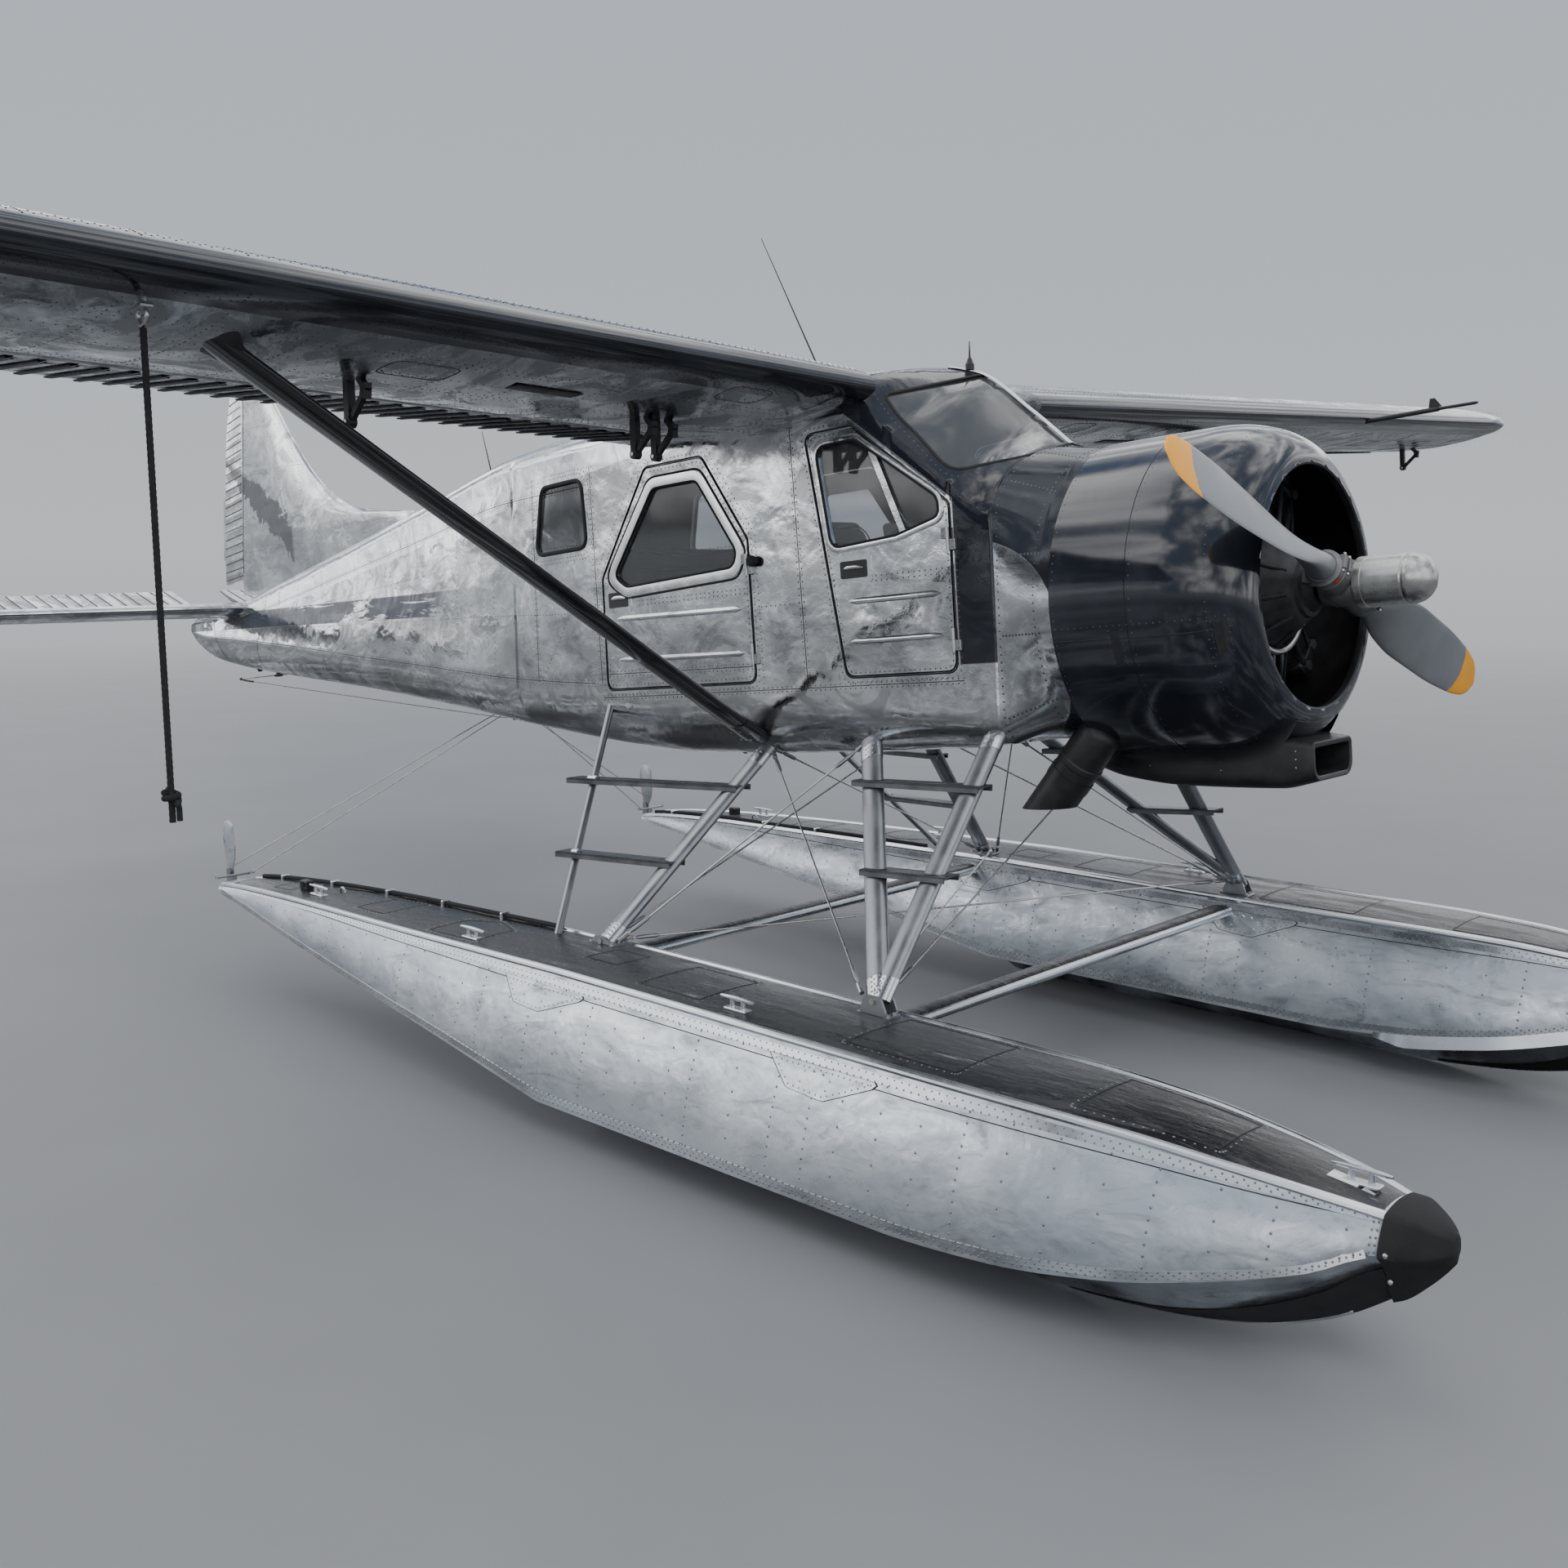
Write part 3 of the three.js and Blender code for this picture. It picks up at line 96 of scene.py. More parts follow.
# Materials
class Finish:
    """A procedural material. What is the same all over is set on the shader's own sockets."""

    def __init__(self, name, color, metallic=0.0, roughness=0.5, uniform=()):
        self.material = bpy.data.materials.new(name)
        self.material.use_nodes = True
        self.tree = self.material.node_tree
        self.shader = self.tree.nodes["Principled BSDF"]
        self.put("Base Color", (*color, 1))
        self.put("Metallic", metallic)
        self.put("Roughness", roughness)
        for socket, value in dict(uniform).items():
            self.put(socket, value)

    def put(self, socket, value):
        self.join(self.shader.inputs[socket], value)

    def join(self, socket, value):
        if isinstance(value, bpy.types.NodeSocket):
            self.tree.links.new(value, socket)
        else:
            socket.default_value = value

    def add(self, kind, inputs=(), **settings):
        node = self.tree.nodes.new("ShaderNode" + kind)
        for key, value in settings.items():
            setattr(node, key, value)
        for key, value in dict(inputs).items():
            self.join(node.inputs[key], value)
        return node

    def place(self):
        """Coordinates in the airframe's own frame"""
        source = self.add("TexCoord").outputs["Object"]
        node = self.add("Mapping", vector_type="TEXTURE")
        self.join(node.inputs["Vector"], source)
        self.join(node.inputs["Location"], (PROPELLER_X, 0, THRUST_Z))
        self.join(node.inputs["Rotation"], (0, -NOSE_UP, 0))
        return node.outputs["Vector"]

    def noise(self, scale, detail=4, rough=0.55, stretch=(1, 1, 1), distortion=0.0):
        spread = self.add("Mapping", {"Vector": self.place(), "Scale": stretch}).outputs["Vector"]
        inputs = {"Vector": spread, "Scale": scale, "Detail": detail, "Roughness": rough,
                  "Distortion": distortion}
        return self.add("TexNoise", inputs).outputs["Fac"]

    def math(self, operation, a, b=0.0):
        return self.add("Math", {0: a, 1: b}, operation=operation).outputs[0]

    def span(self, value, low, high, start=0.0, end=1.0):
        """value from low to high, mapped to start to end and held there"""
        inputs = {"Value": value, "From Min": low, "From Max": high, "To Min": start, "To Max": end}
        return self.add("MapRange", inputs, clamp=True).outputs["Result"]

    def mix(self, share, a, b):
        node = self.add("Mix", data_type="RGBA")
        self.join(node.inputs[0], share)
        for index, value in ((6, a), (7, b)):
            self.join(node.inputs[index], value if isinstance(value, bpy.types.NodeSocket) else (*value, 1))
        return node.outputs[2]

    def blend(self, share, a, b):
        return self.span(share, 0, 1, a, b)

    def bump(self, height, distance, strength=1.0):
        node = self.add("Bump", {"Height": height, "Distance": distance, "Strength": strength})
        normal = self.shader.inputs["Normal"]
        if normal.is_linked:
            self.join(node.inputs["Normal"], normal.links[0].from_socket)
        self.put("Normal", node.outputs["Normal"])

    def facing(self, normal, point, edge):
        """1 on the side of a plane that its normal points to, 0 behind it"""
        node = self.add("VectorMath", {0: self.place(), 1: normal}, operation="DOT_PRODUCT")
        start = sum(n * p for n, p in zip(normal, point))
        return self.span(node.outputs["Value"], start - edge, start + edge)

    def above(self, a, b, edge=0.003):
        """1 above the line through a and b, two points of the side view"""
        run = Vector((b[0] - a[0], b[1] - a[1])).normalized()
        if run.x < 0:
            run = -run
        return self.facing((-run.y, 0, run.x), (a[0], 0, a[1]), edge)

    def ahead(self, x, edge=0.003):
        return self.facing((1, 0, 0), (x, 0, 0), edge)

    def none(self, mask):
        return self.math("SUBTRACT", 1.0, mask)

    def all_of(self, first, *masks):
        for mask in masks:
            first = self.math("MINIMUM", first, mask)
        return first

    def any_of(self, first, *masks):
        for mask in masks:
            first = self.math("MAXIMUM", first, mask)
        return first


DARK_NAVY = (0.011, 0.013, 0.019)
PRIMER = (0.27, 0.30, 0.34)
PRIMER_PALE = (0.36, 0.40, 0.45)


def metal_layers(finish, low, high, polish, patches):
    """Colour, roughness and metalness of bare sheet with dull patches; its clouded, streaked colour is partly
    the uneven tone of hand polishing and partly painted reflection of a cloudy sky
    """
    cloud = finish.noise(1.5, 7, 0.62, (1, 1, 1), 0.8)
    streak = finish.noise(3.2, 7, 0.68, (0.7, 1, 1.3), 1.8)
    # painted reflection: the light and dark clouds and darker streaks of the base colour stand partly for sky
    # mirrored in the sheet
    color = finish.mix(finish.span(cloud, 0.44, 0.56), low, high)
    color = finish.mix(finish.span(streak, 0.53, 0.56, 0, 0.55), color, [c * 0.62 for c in low])
    rough = finish.span(streak, 0.44, 0.56, *polish)
    if not patches:
        return color, rough, 1.0
    spots = finish.span(finish.noise(1.5, 7, 0.66, (1, 1, 1.3), 1.2), 0.640, 0.655)
    color = finish.mix(spots, color, finish.mix(finish.span(cloud, 0.42, 0.58), PRIMER, PRIMER_PALE))
    rough = finish.math("ADD", rough, finish.math("MULTIPLY", spots, 0.25))
    return color, rough, finish.blend(spots, 1.0, 0.45)


def waves(finish, wave, fine=0.0002):
    """Shallow dents and quilting of thin sheet"""
    finish.bump(finish.noise(1.7, 2, 0.4), wave * 1.5)
    finish.bump(finish.noise(5.0, 2, 0.5, (1, 1, 1), 0.6), wave * 0.40)
    finish.bump(finish.noise(17, 2, 0.5, (1, 1, 1), 0.8), wave * 0.035)
    finish.bump(finish.noise(120, 3, 0.5), fine)


def bare_metal(name="bare_metal", low=(0.42, 0.43, 0.44), high=(0.66, 0.67, 0.68), polish=(0.15, 0.34),
               patches=False, wave=0.012):
    finish = Finish(name, high, 1.0, polish[0])
    color, rough, metal = metal_layers(finish, low, high, polish, patches)
    finish.put("Base Color", color)
    finish.put("Roughness", rough)
    finish.put("Metallic", metal)
    waves(finish, wave)
    return finish.material


def fuselage_skin():
    """Mottled polished sheet, the dark windshield surround, the worn remnant of a stripe aft, and a painted
    highlight on the upper tail cone
    """
    finish = Finish("fuselage_skin", (0.7, 0.7, 0.7), 1.0, 0.2)
    color, rough, metal = metal_layers(finish, (0.56, 0.57, 0.58), (0.84, 0.85, 0.86), (0.07, 0.27), True)
    # painted highlight: above this line the tail cone is coloured brighter and made glossier for the bright
    # sky it faces
    bright = finish.above((-3.3, 0.835), (-8.3, 0.325))
    color = finish.mix(bright, color, (0.84, 0.85, 0.87))
    rough = finish.math("MULTIPLY", rough, finish.blend(bright, 1.0, 0.6))
    worn = finish.noise(2.4, 6, 0.66, (0.35, 1, 2.0), 0.6)
    band = finish.all_of(finish.above((-4.6, 0.22), (-8.9, 0.36)),
                         finish.none(finish.above((-4.6, 0.36), (-8.9, 0.47))),
                         finish.none(finish.ahead(-4.9, 0.25)))
    stripe = finish.all_of(band, finish.span(worn, 0.43, 0.455))
    color = finish.mix(stripe, color, (0.062, 0.072, 0.094))
    metal = finish.math("MULTIPLY", metal, finish.blend(stripe, 1.0, 0.25))
    roof = finish.all_of(finish.above((-1.7, 0.845), (-4.2, 0.86)), finish.ahead(-2.1))
    post = finish.all_of(finish.above((-1.27, 0.44), (-1.76, 0.815)), finish.ahead(-2.05))
    front = finish.all_of(finish.ahead(-1.275), finish.above((-1.1, -0.2), (-1.3, -0.2)))
    dark = finish.any_of(roof, post, front)
    finish.put("Base Color", finish.mix(dark, color, DARK_NAVY))
    finish.put("Metallic", finish.math("MULTIPLY", metal, finish.none(dark)))
    finish.put("Roughness", finish.math("MULTIPLY", rough, finish.blend(dark, 1.0, 0.6)))
    waves(finish, 0.013)
    return finish.material


SMUDGE_ACROSS = (0.6, 0, 0.8)
SMUDGE_MIDDLE = -3.630
SMUDGE_HALF = 0.105


def tail_skin():
    """Polished sheet with a dark worn smudge that runs down across the fin"""
    finish = Finish("tail_metal", (0.7, 0.7, 0.7), 1.0, 0.2)
    color, rough, _ = metal_layers(finish, (0.60, 0.61, 0.62), (0.86, 0.87, 0.88), (0.07, 0.25), False)
    worn = finish.noise(5.0, 6, 0.7, (1, 1, 0.6), 0.8)
    ragged = finish.span(worn, 0.3, 0.7, -0.09, 0.09)
    across = finish.add("VectorMath", {0: finish.place(), 1: SMUDGE_ACROSS},
                        operation="DOT_PRODUCT").outputs["Value"]
    across = finish.math("ADD", finish.math("ABSOLUTE", finish.math("SUBTRACT", across, SMUDGE_MIDDLE)),
                         ragged)
    inside = finish.span(across, SMUDGE_HALF - 0.004, SMUDGE_HALF + 0.004, 1, 0)
    smudge = finish.all_of(inside, finish.none(finish.ahead(-7.19, 0.02)),
                           finish.none(finish.above((-7.9, 1.42), (-7.5, 1.28), 0.02)))
    finish.put("Base Color", finish.mix(smudge, color, (0.115, 0.120, 0.128)))
    finish.put("Metallic", finish.none(finish.math("MULTIPLY", smudge, 0.7)))
    finish.put("Roughness", finish.math("ADD", rough, finish.math("MULTIPLY", smudge, 0.2)))
    waves(finish, 0.010)
    return finish.material


NOSE_ARC_CENTRE = (-1.240, 0, -0.150)
NOSE_ARC_RADIUS = 0.430


def nose_skin():
    """Polished panels below a dark upper part whose edge sweeps down to the cowl"""
    finish = Finish("nose_skin", (0.6, 0.6, 0.6), 1.0, 0.2)
    color, rough, _ = metal_layers(finish, (0.58, 0.59, 0.60), (0.84, 0.85, 0.86), (0.06, 0.20), False)
    reach = finish.add("VectorMath", {0: finish.place(), 1: (1, 0, 1)},
                       operation="MULTIPLY").outputs["Vector"]
    away = finish.add("VectorMath", {0: reach, 1: NOSE_ARC_CENTRE}, operation="DISTANCE").outputs["Value"]
    dark = finish.span(away, NOSE_ARC_RADIUS - 0.002, NOSE_ARC_RADIUS + 0.002)
    finish.put("Base Color", finish.mix(dark, color, (0.030, 0.034, 0.043)))
    finish.put("Metallic", finish.blend(dark, 1.0, 0.5))
    finish.put("Roughness", rough)
    waves(finish, 0.008)
    return finish.material


def dark_paint(name="dark_paint", color=DARK_NAVY, roughness=0.16, wave=0.004):
    finish = Finish(name, color, 0.0, roughness, {"Coat Weight": 0.6, "Coat Roughness": 0.08})
    dust = finish.span(finish.noise(3, 6, 0.65, (1, 1, 0.6), 0.5), 0.45, 0.75)
    finish.put("Base Color", finish.mix(dust, color, [c * 1.7 + 0.004 for c in color]))
    finish.put("Roughness", finish.span(dust, 0, 1, roughness, roughness + 0.14))
    waves(finish, wave, 0.0001)
    return finish.material


def plain(name, color, metallic=0.0, roughness=0.5, spread=0.35, scale=14, grain=0.0004, uniform=()):
    """One colour with the faint clouds, scuffs and grain of a used surface"""
    finish = Finish(name, color, metallic, roughness, uniform)
    cloud = finish.span(finish.noise(scale, 5, 0.6), 0.35, 0.7)
    finish.put("Base Color", finish.mix(cloud, color, [min(1, c * (1 + spread) + 0.002) for c in color]))
    finish.put("Roughness", finish.span(cloud, 0, 1, roughness, min(1, roughness + 0.15)))
    finish.bump(finish.noise(scale * 20, 4, 0.6), grain)
    return finish.material


def float_metal():
    """Dull plate in blue grey, dented and scuffed"""
    finish = Finish("float_metal", (0.60, 0.64, 0.68), 0.92, 0.36)
    cloud = finish.noise(1.9, 6, 0.62, (0.6, 1, 1), 0.6)
    scuff = finish.noise(6, 8, 0.72, (0.5, 1, 1.5), 1.2)
    color = finish.mix(finish.span(cloud, 0.40, 0.60), (0.50, 0.54, 0.59), (0.74, 0.78, 0.82))
    color = finish.mix(finish.span(scuff, 0.55, 0.66, 0, 0.6), color, (0.30, 0.32, 0.35))
    finish.put("Base Color", color)
    finish.put("Roughness", finish.span(scuff, 0.40, 0.62, 0.24, 0.46))
    finish.bump(finish.noise(1.6, 2, 0.4), 0.022)
    finish.bump(finish.noise(4.5, 3, 0.5), 0.008)
    finish.bump(finish.noise(14, 3, 0.5, (1, 1, 1), 0.8), 0.0012)
    finish.bump(finish.noise(60, 4, 0.6), 0.0003)
    return finish.material


def deck_grip():
    """Black deck paint, wet and scuffed along the float"""
    finish = Finish("deck_grip", (0.016, 0.017, 0.018), 0.0, 0.45)
    worn = finish.span(finish.noise(4, 8, 0.74, (0.35, 1.6, 1), 0.8), 0.50, 0.68)
    scratch = finish.span(finish.noise(9, 6, 0.8, (0.2, 2.2, 1), 0.4), 0.60, 0.66)
    color = finish.mix(worn, (0.010, 0.011, 0.013), (0.060, 0.062, 0.062))
    finish.put("Base Color", finish.mix(scratch, color, (0.15, 0.155, 0.16)))
    finish.put("Roughness", finish.span(worn, 0, 1, 0.24, 0.62))
    finish.bump(finish.noise(12, 5, 0.6, (0.5, 1.5, 1)), 0.004)
    finish.bump(finish.noise(240, 2, 0.5), 0.0008)
    return finish.material


def pane_glass(name="clear_pane", tint=(0.72, 0.74, 0.76)):
    finish = Finish(name, tint, 0.0, 0.02, {"Transmission Weight": 0.96, "IOR": 1.52})
    finish.bump(finish.noise(1.6, 2, 0.4), 0.004)
    return finish.material


def seat_cloth():
    """Grey brown woven cloth, a little rubbed"""
    finish = Finish("seat_cloth", (0.06, 0.055, 0.05), 0.0, 0.85, {"Sheen Weight": 0.3})
    place = finish.place()
    weave = []
    for way in ("X", "Y"):
        bands = finish.add("TexWave", {"Vector": place, "Scale": 140.0, "Distortion": 0.6, "Detail": 1.0},
                           bands_direction=way)
        weave.append(bands.outputs["Fac"])
    cross = finish.math("MULTIPLY", weave[0], weave[1])
    rubbed = finish.span(finish.noise(6, 5, 0.6), 0.45, 0.7)
    color = finish.mix(rubbed, (0.050, 0.046, 0.043), (0.085, 0.080, 0.074))
    finish.put("Base Color", finish.mix(finish.span(cross, 0, 1, 0, 0.6), color, (0.030, 0.028, 0.027)))
    finish.put("Roughness", finish.span(rubbed, 0, 1, 0.9, 0.75))
    finish.bump(cross, 0.0012)
    return finish.material


MATERIALS = {
    "bare": bare_metal(),
    "fuselage": fuselage_skin(),
    "tail": tail_skin(),
    "wing": bare_metal("wing_metal", (0.44, 0.46, 0.49), (0.66, 0.68, 0.71), (0.12, 0.34), False, 0.012),
    "polished": bare_metal("polished_metal", (0.68, 0.69, 0.70), (0.86, 0.87, 0.88), (0.05, 0.16), False,
                           0.006),
    # painted shade: rivet and stud heads are coloured dark for the shaded side of each dome
    "rivet": plain("rivet_heads_painted_shade", (0.085, 0.088, 0.092), 0.8, 0.38, 0.9, 30),
    "stud": plain("stud_heads_painted_shade", (0.20, 0.215, 0.23), 0.9, 0.32, 0.6, 30),
    "bolt": plain("bolt_heads", (0.60, 0.62, 0.64), 0.95, 0.28, 0.3, 30),
    "chrome": plain("bright_trim", (0.80, 0.81, 0.82), 1.0, 0.12, 0.1),
    "float": float_metal(),
    "gunwale": plain("gunwale_metal", (0.66, 0.69, 0.72), 1.0, 0.20, 0.12, 6, 0.0001),
    "strut": plain("strut_metal", (0.30, 0.315, 0.335), 0.9, 0.30, 0.35, 7, 0.0001),
    "cast": plain("cast_metal", (0.20, 0.20, 0.20), 0.8, 0.5, 0.6, 24, 0.0008),
    "step": plain("step_metal", (0.13, 0.135, 0.14), 0.8, 0.34, 0.8, 9, 0.0002),
    "steel": plain("brushed_steel", (0.50, 0.49, 0.47), 1.0, 0.22, 0.3),
    "engine": plain("engine_metal", (0.045, 0.045, 0.047), 0.6, 0.48, 0.8, 20),

    "black": plain("black_paint", (0.012, 0.012, 0.013), 0.0, 0.34, 0.8),
    "strut_paint": dark_paint("strut_paint", (0.010, 0.010, 0.012), 0.13, 0.002),
    # painted shade: the rib strips are coloured near black for the shadow lines of corrugations and gaps
    "rib": plain("rib_painted_shade", (0.016, 0.017, 0.020), 0.2, 0.38, 0.8),
    "grip": deck_grip(),
    "blade": plain("blade_paint", (0.19, 0.20, 0.215), 0.25, 0.36, 0.25, 8),
    "tip": plain("tip_paint", (0.80, 0.34, 0.012), 0.0, 0.40, 0.15, 8),
    "red": plain("red_paint", (0.45, 0.02, 0.015), 0.0, 0.4, 0.2),
    "glass": pane_glass(),
    "rubber": plain("black_rubber", (0.010, 0.010, 0.010), 0.0, 0.75, 0.8, 20, 0.001),
    "plastic": plain("black_plastic", (0.018, 0.018, 0.019), 0.0, 0.55, 0.6),
    "lining": plain("cabin_lining", (0.10, 0.10, 0.10), 0.0, 0.8, 0.4, 10, 0.001),
    "cloth": seat_cloth(),
    "piping": plain("seat_piping", (0.020, 0.020, 0.021), 0.0, 0.7, 0.4, 60, 0.0006),
    "seat_frame": plain("seat_frame_paint", (0.16, 0.165, 0.17), 0.5, 0.45, 0.3),
    "panel": plain("panel_paint", (0.022, 0.022, 0.023), 0.0, 0.5, 0.6, 18, 0.0003),
    "glassy": plain("display_dark", (0.004, 0.006, 0.005), 0.0, 0.12, 0.4),
    "rope": plain("rope_fibre", (0.012, 0.012, 0.012), 0.0, 0.9, 1.0, 60, 0.001),
    "white": plain("blank_plate", (0.75, 0.75, 0.73), 0.0, 0.5, 0.05),
    "dial": plain("dial_face", (0.5, 0.5, 0.48), 0.0, 0.5, 0.1),
    "seam": plain("seam_shadow", (0.03, 0.03, 0.032), 0.4, 0.5),
    "nose": nose_skin(),
    "cowl": dark_paint("cowl_paint", (0.010, 0.012, 0.018), 0.10, 0.003),
    "edge": dark_paint("edge_paint", (0.010, 0.012, 0.016), 0.14, 0.003),
}


# Mesh tools
WELD = 2e-5


def grid_faces(n, m, round_u, round_v):
    i, j = np.meshgrid(np.arange(n if round_u else n - 1), np.arange(m if round_v else m - 1), indexing="ij")
    k, l = (i + 1) % n, (j + 1) % m
    return np.stack([i * m + j, k * m + j, k * m + l, i * m + l], -1).reshape(-1, 4)


def unit(vectors):
    vectors = np.asarray(vectors, float)
    return vectors / np.maximum(np.linalg.norm(vectors, axis=-1, keepdims=True), 1e-12)


def frames_along(path):
    """Two normals at each point of a path, turned as little as may be along it"""
    tangents = unit(np.gradient(path, axis=0))
    start = np.array((0, 0, 1.0)) if abs(tangents[0][2]) < 0.9 else np.array((1.0, 0, 0))
    first = []
    for tangent in tangents:
        start = unit(start - tangent * np.dot(start, tangent))
        first.append(start)
    first = np.array(first)
    return first, np.cross(tangents, first)


class Build:
    """Gathers surfaces, each with its material, into one mesh."""

    def __init__(self):
        self.points = []
        self.faces = []
        self.slots = []
        self.kept = []
        self.materials = []
        self.count = 0

    def add(self, points, faces, material, kept=False):
        points = np.asarray(points, float).reshape(-1, 3)
        if material not in self.materials:
            self.materials.append(material)
        self.points.append(points)
        if isinstance(faces, np.ndarray):
            faces = faces.tolist()
        self.faces += [[i + self.count for i in face] for face in faces]
        self.slots += [self.materials.index(material)] * len(faces)
        self.kept += [kept] * len(faces)
        self.count += len(points)

    def grid(self, rows, material, round_u=False, round_v=False, caps=False):
        """A sheet through rows of points; caps close a tube's two ends"""
        rows = np.asarray(rows, float)
        n, m = rows.shape[:2]
        self.add(rows, grid_faces(n, m, round_u, round_v), material)
        if caps:
            for ring in (rows[0], rows[-1]):
                self.add(ring, [list(range(m))], material)

    def tube(self, path, radius, material, sides=10, caps=True, flat=1.0):
        path = np.asarray(path, float)
        first, second = frames_along(path)
        radius = np.broadcast_to(radius, len(path))[:, None, None]
        turn = np.linspace(0, TURN, sides, endpoint=False)[None, :, None]
        ring = np.cos(turn) * first[:, None] + flat * np.sin(turn) * second[:, None]
        self.grid(path[:, None] + radius * ring, material, round_v=True, caps=caps)

    def foil(self, a, b, half_chord, half_thick, material, lead=(1, 0, 0), sides=20, steps=2):
        """A bar of drop-shaped section, blunt edge towards lead"""
        a, b = np.asarray(a, float), np.asarray(b, float)
        run = unit(b - a)
        chord = unit(np.asarray(lead, float) - run * np.dot(lead, run))
        thick = np.cross(run, chord)
        turn = np.linspace(0, TURN, sides, endpoint=False)
        along = np.cos(turn) * half_chord
        across = np.sin(turn) * half_thick * (0.78 + 0.22 * np.cos(turn))
        section = along[:, None] * chord + across[:, None] * thick
        spots = a + (b - a) * np.linspace(0, 1, steps)[:, None]
        self.grid(spots[:, None] + section[None], material, round_v=True, caps=True)

    def lathe(self, profile, material, segments=48, at=(0, 0, 0), axis=(1, 0, 0), sweep=TURN, start=0.0):
        """A surface turned about an axis through at; the profile gives reach along it and radius"""
        profile = np.asarray(profile, float)
        full = abs(sweep - TURN) < 1e-6
        turn = start + np.linspace(0, sweep, segments, endpoint=not full)
        basis = np.array(Vector((1, 0, 0)).rotation_difference(Vector(axis)).to_matrix())
        ring = np.stack([np.zeros_like(turn), np.cos(turn), np.sin(turn)], -1)
        rows = profile[:, 0, None, None] * np.array((1.0, 0, 0)) + profile[:, 1, None, None] * ring
        self.grid(rows @ basis.T + np.asarray(at, float), material, round_v=full)

    def hull(self, points, material):
        shape = bmesh.new()
        for point in points:
            shape.verts.new(point)
        bmesh.ops.convex_hull(shape, input=shape.verts)
        bmesh.ops.dissolve_limit(shape, angle_limit=0.01, verts=shape.verts, edges=shape.edges)
        shape.verts.index_update()
        faces = [[v.index for v in f.verts] for f in shape.faces]
        self.add([v.co[:] for v in shape.verts], faces, material)
        shape.free()

    def box(self, low, high, material, bevel=0.003, turn=None, at=None):
        """A box with chamfered edges; turn and at place it, else its corners do"""
        low, high = np.asarray(low, float), np.asarray(high, float)
        points = []
        for corner in np.ndindex(2, 2, 2):
            here = np.where(corner, high, low)
            for axis in range(3):
                shift = np.where(corner, -bevel, bevel).astype(float)
                shift[axis] = 0
                points.append(here + shift)
        points = np.array(points)
        if turn is not None:
            points = points @ np.array(turn).T
        if at is not None:
            points = points + np.asarray(at, float)
        self.hull(points, material)

    def slab(self, outline, push, material):
        """A plate: a flat outline of points in space, pushed along a vector"""
        outline = np.asarray(outline, float)
        count = len(outline)
        self.grid(np.stack([outline, outline + np.asarray(push, float)]), material, round_v=True)
        self.add(outline, [list(range(count))], material)
        self.add(outline + np.asarray(push, float), [list(range(count))], material)

    def rivets(self, spots, normals, material, radius=0.005, height=0.0022):
        """Low six-sided domes standing on a surface"""
        spots, normals = np.asarray(spots, float).reshape(-1, 3), unit(np.reshape(normals, (-1, 3)))
        side = np.where(np.abs(normals[:, :1]) < 0.8, (1.0, 0, 0), (0, 1.0, 0))
        first = unit(np.cross(normals, side))
        second = np.cross(normals, first)
        turn = np.linspace(0, TURN, 6, endpoint=False)
        ring = np.cos(turn)[None, :, None] * first[:, None] + np.sin(turn)[None, :, None] * second[:, None]
        base = spots[:, None] + radius * ring - 0.0006 * normals[:, None]
        tops = spots[:, None] + height * normals[:, None]
        points = np.concatenate([base, tops], 1)
        fan = np.array([[i, (i + 1) % 6, 6] for i in range(6)])
        faces = (np.arange(len(spots)) * 7)[:, None, None] + fan[None]
        self.add(points, faces.reshape(-1, 3), material, kept=True)

    def raw(self, name):
        """The mesh as an object, welded, with its faces turned out"""
        mesh = bpy.data.meshes.new(name)
        mesh.from_pydata(np.concatenate(self.points).tolist(), [], self.faces)
        for material in self.materials:
            mesh.materials.append(MATERIALS[material])
        mesh.polygons.foreach_set("material_index", self.slots)
        shape = bmesh.new()
        shape.from_mesh(mesh)
        kept = shape.faces.layers.int.new("kept")
        for face, keep in zip(shape.faces, self.kept):
            face[kept] = keep
        bmesh.ops.remove_doubles(shape, verts=shape.verts, dist=WELD)
        bmesh.ops.recalc_face_normals(shape, faces=[f for f in shape.faces if not f[kept]])
        shape.faces.layers.int.remove(kept)
        shape.to_mesh(mesh)
        shape.free()
        made = bpy.data.objects.new(name, mesh)
        bpy.context.scene.collection.objects.link(made)
        return made

    def make(self, name, body, slot, replaces=(), place=AIR, angle=35):
        return settle(self.raw(name), body, replaces, place, angle)


def settle(made, body, replaces=(), place=AIR, angle=35, normals=None):
    made.data.transform(place)
    made.data.shade_smooth()
    made.data.set_sharp_from_angle(angle=math.radians(angle))
    if normals:
        borrow_normals(made, normals)
    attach(made, body)
    if replaces:
        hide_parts(*replaces)
    return made


def carve(base, cutters, operation="DIFFERENCE"):
    """Cuts base by the cutters, one after the other, and drops them"""
    for cutter in cutters:
        cut = base.modifiers.new("cut", "BOOLEAN")
        cut.operation = operation
        cut.solver = "EXACT"
        cut.object = cutter
        depsgraph = bpy.context.evaluated_depsgraph_get()
        carved = bpy.data.meshes.new_from_object(base.evaluated_get(depsgraph))
        base.modifiers.clear()
        base.data = carved
        bpy.data.objects.remove(cutter)
    return base


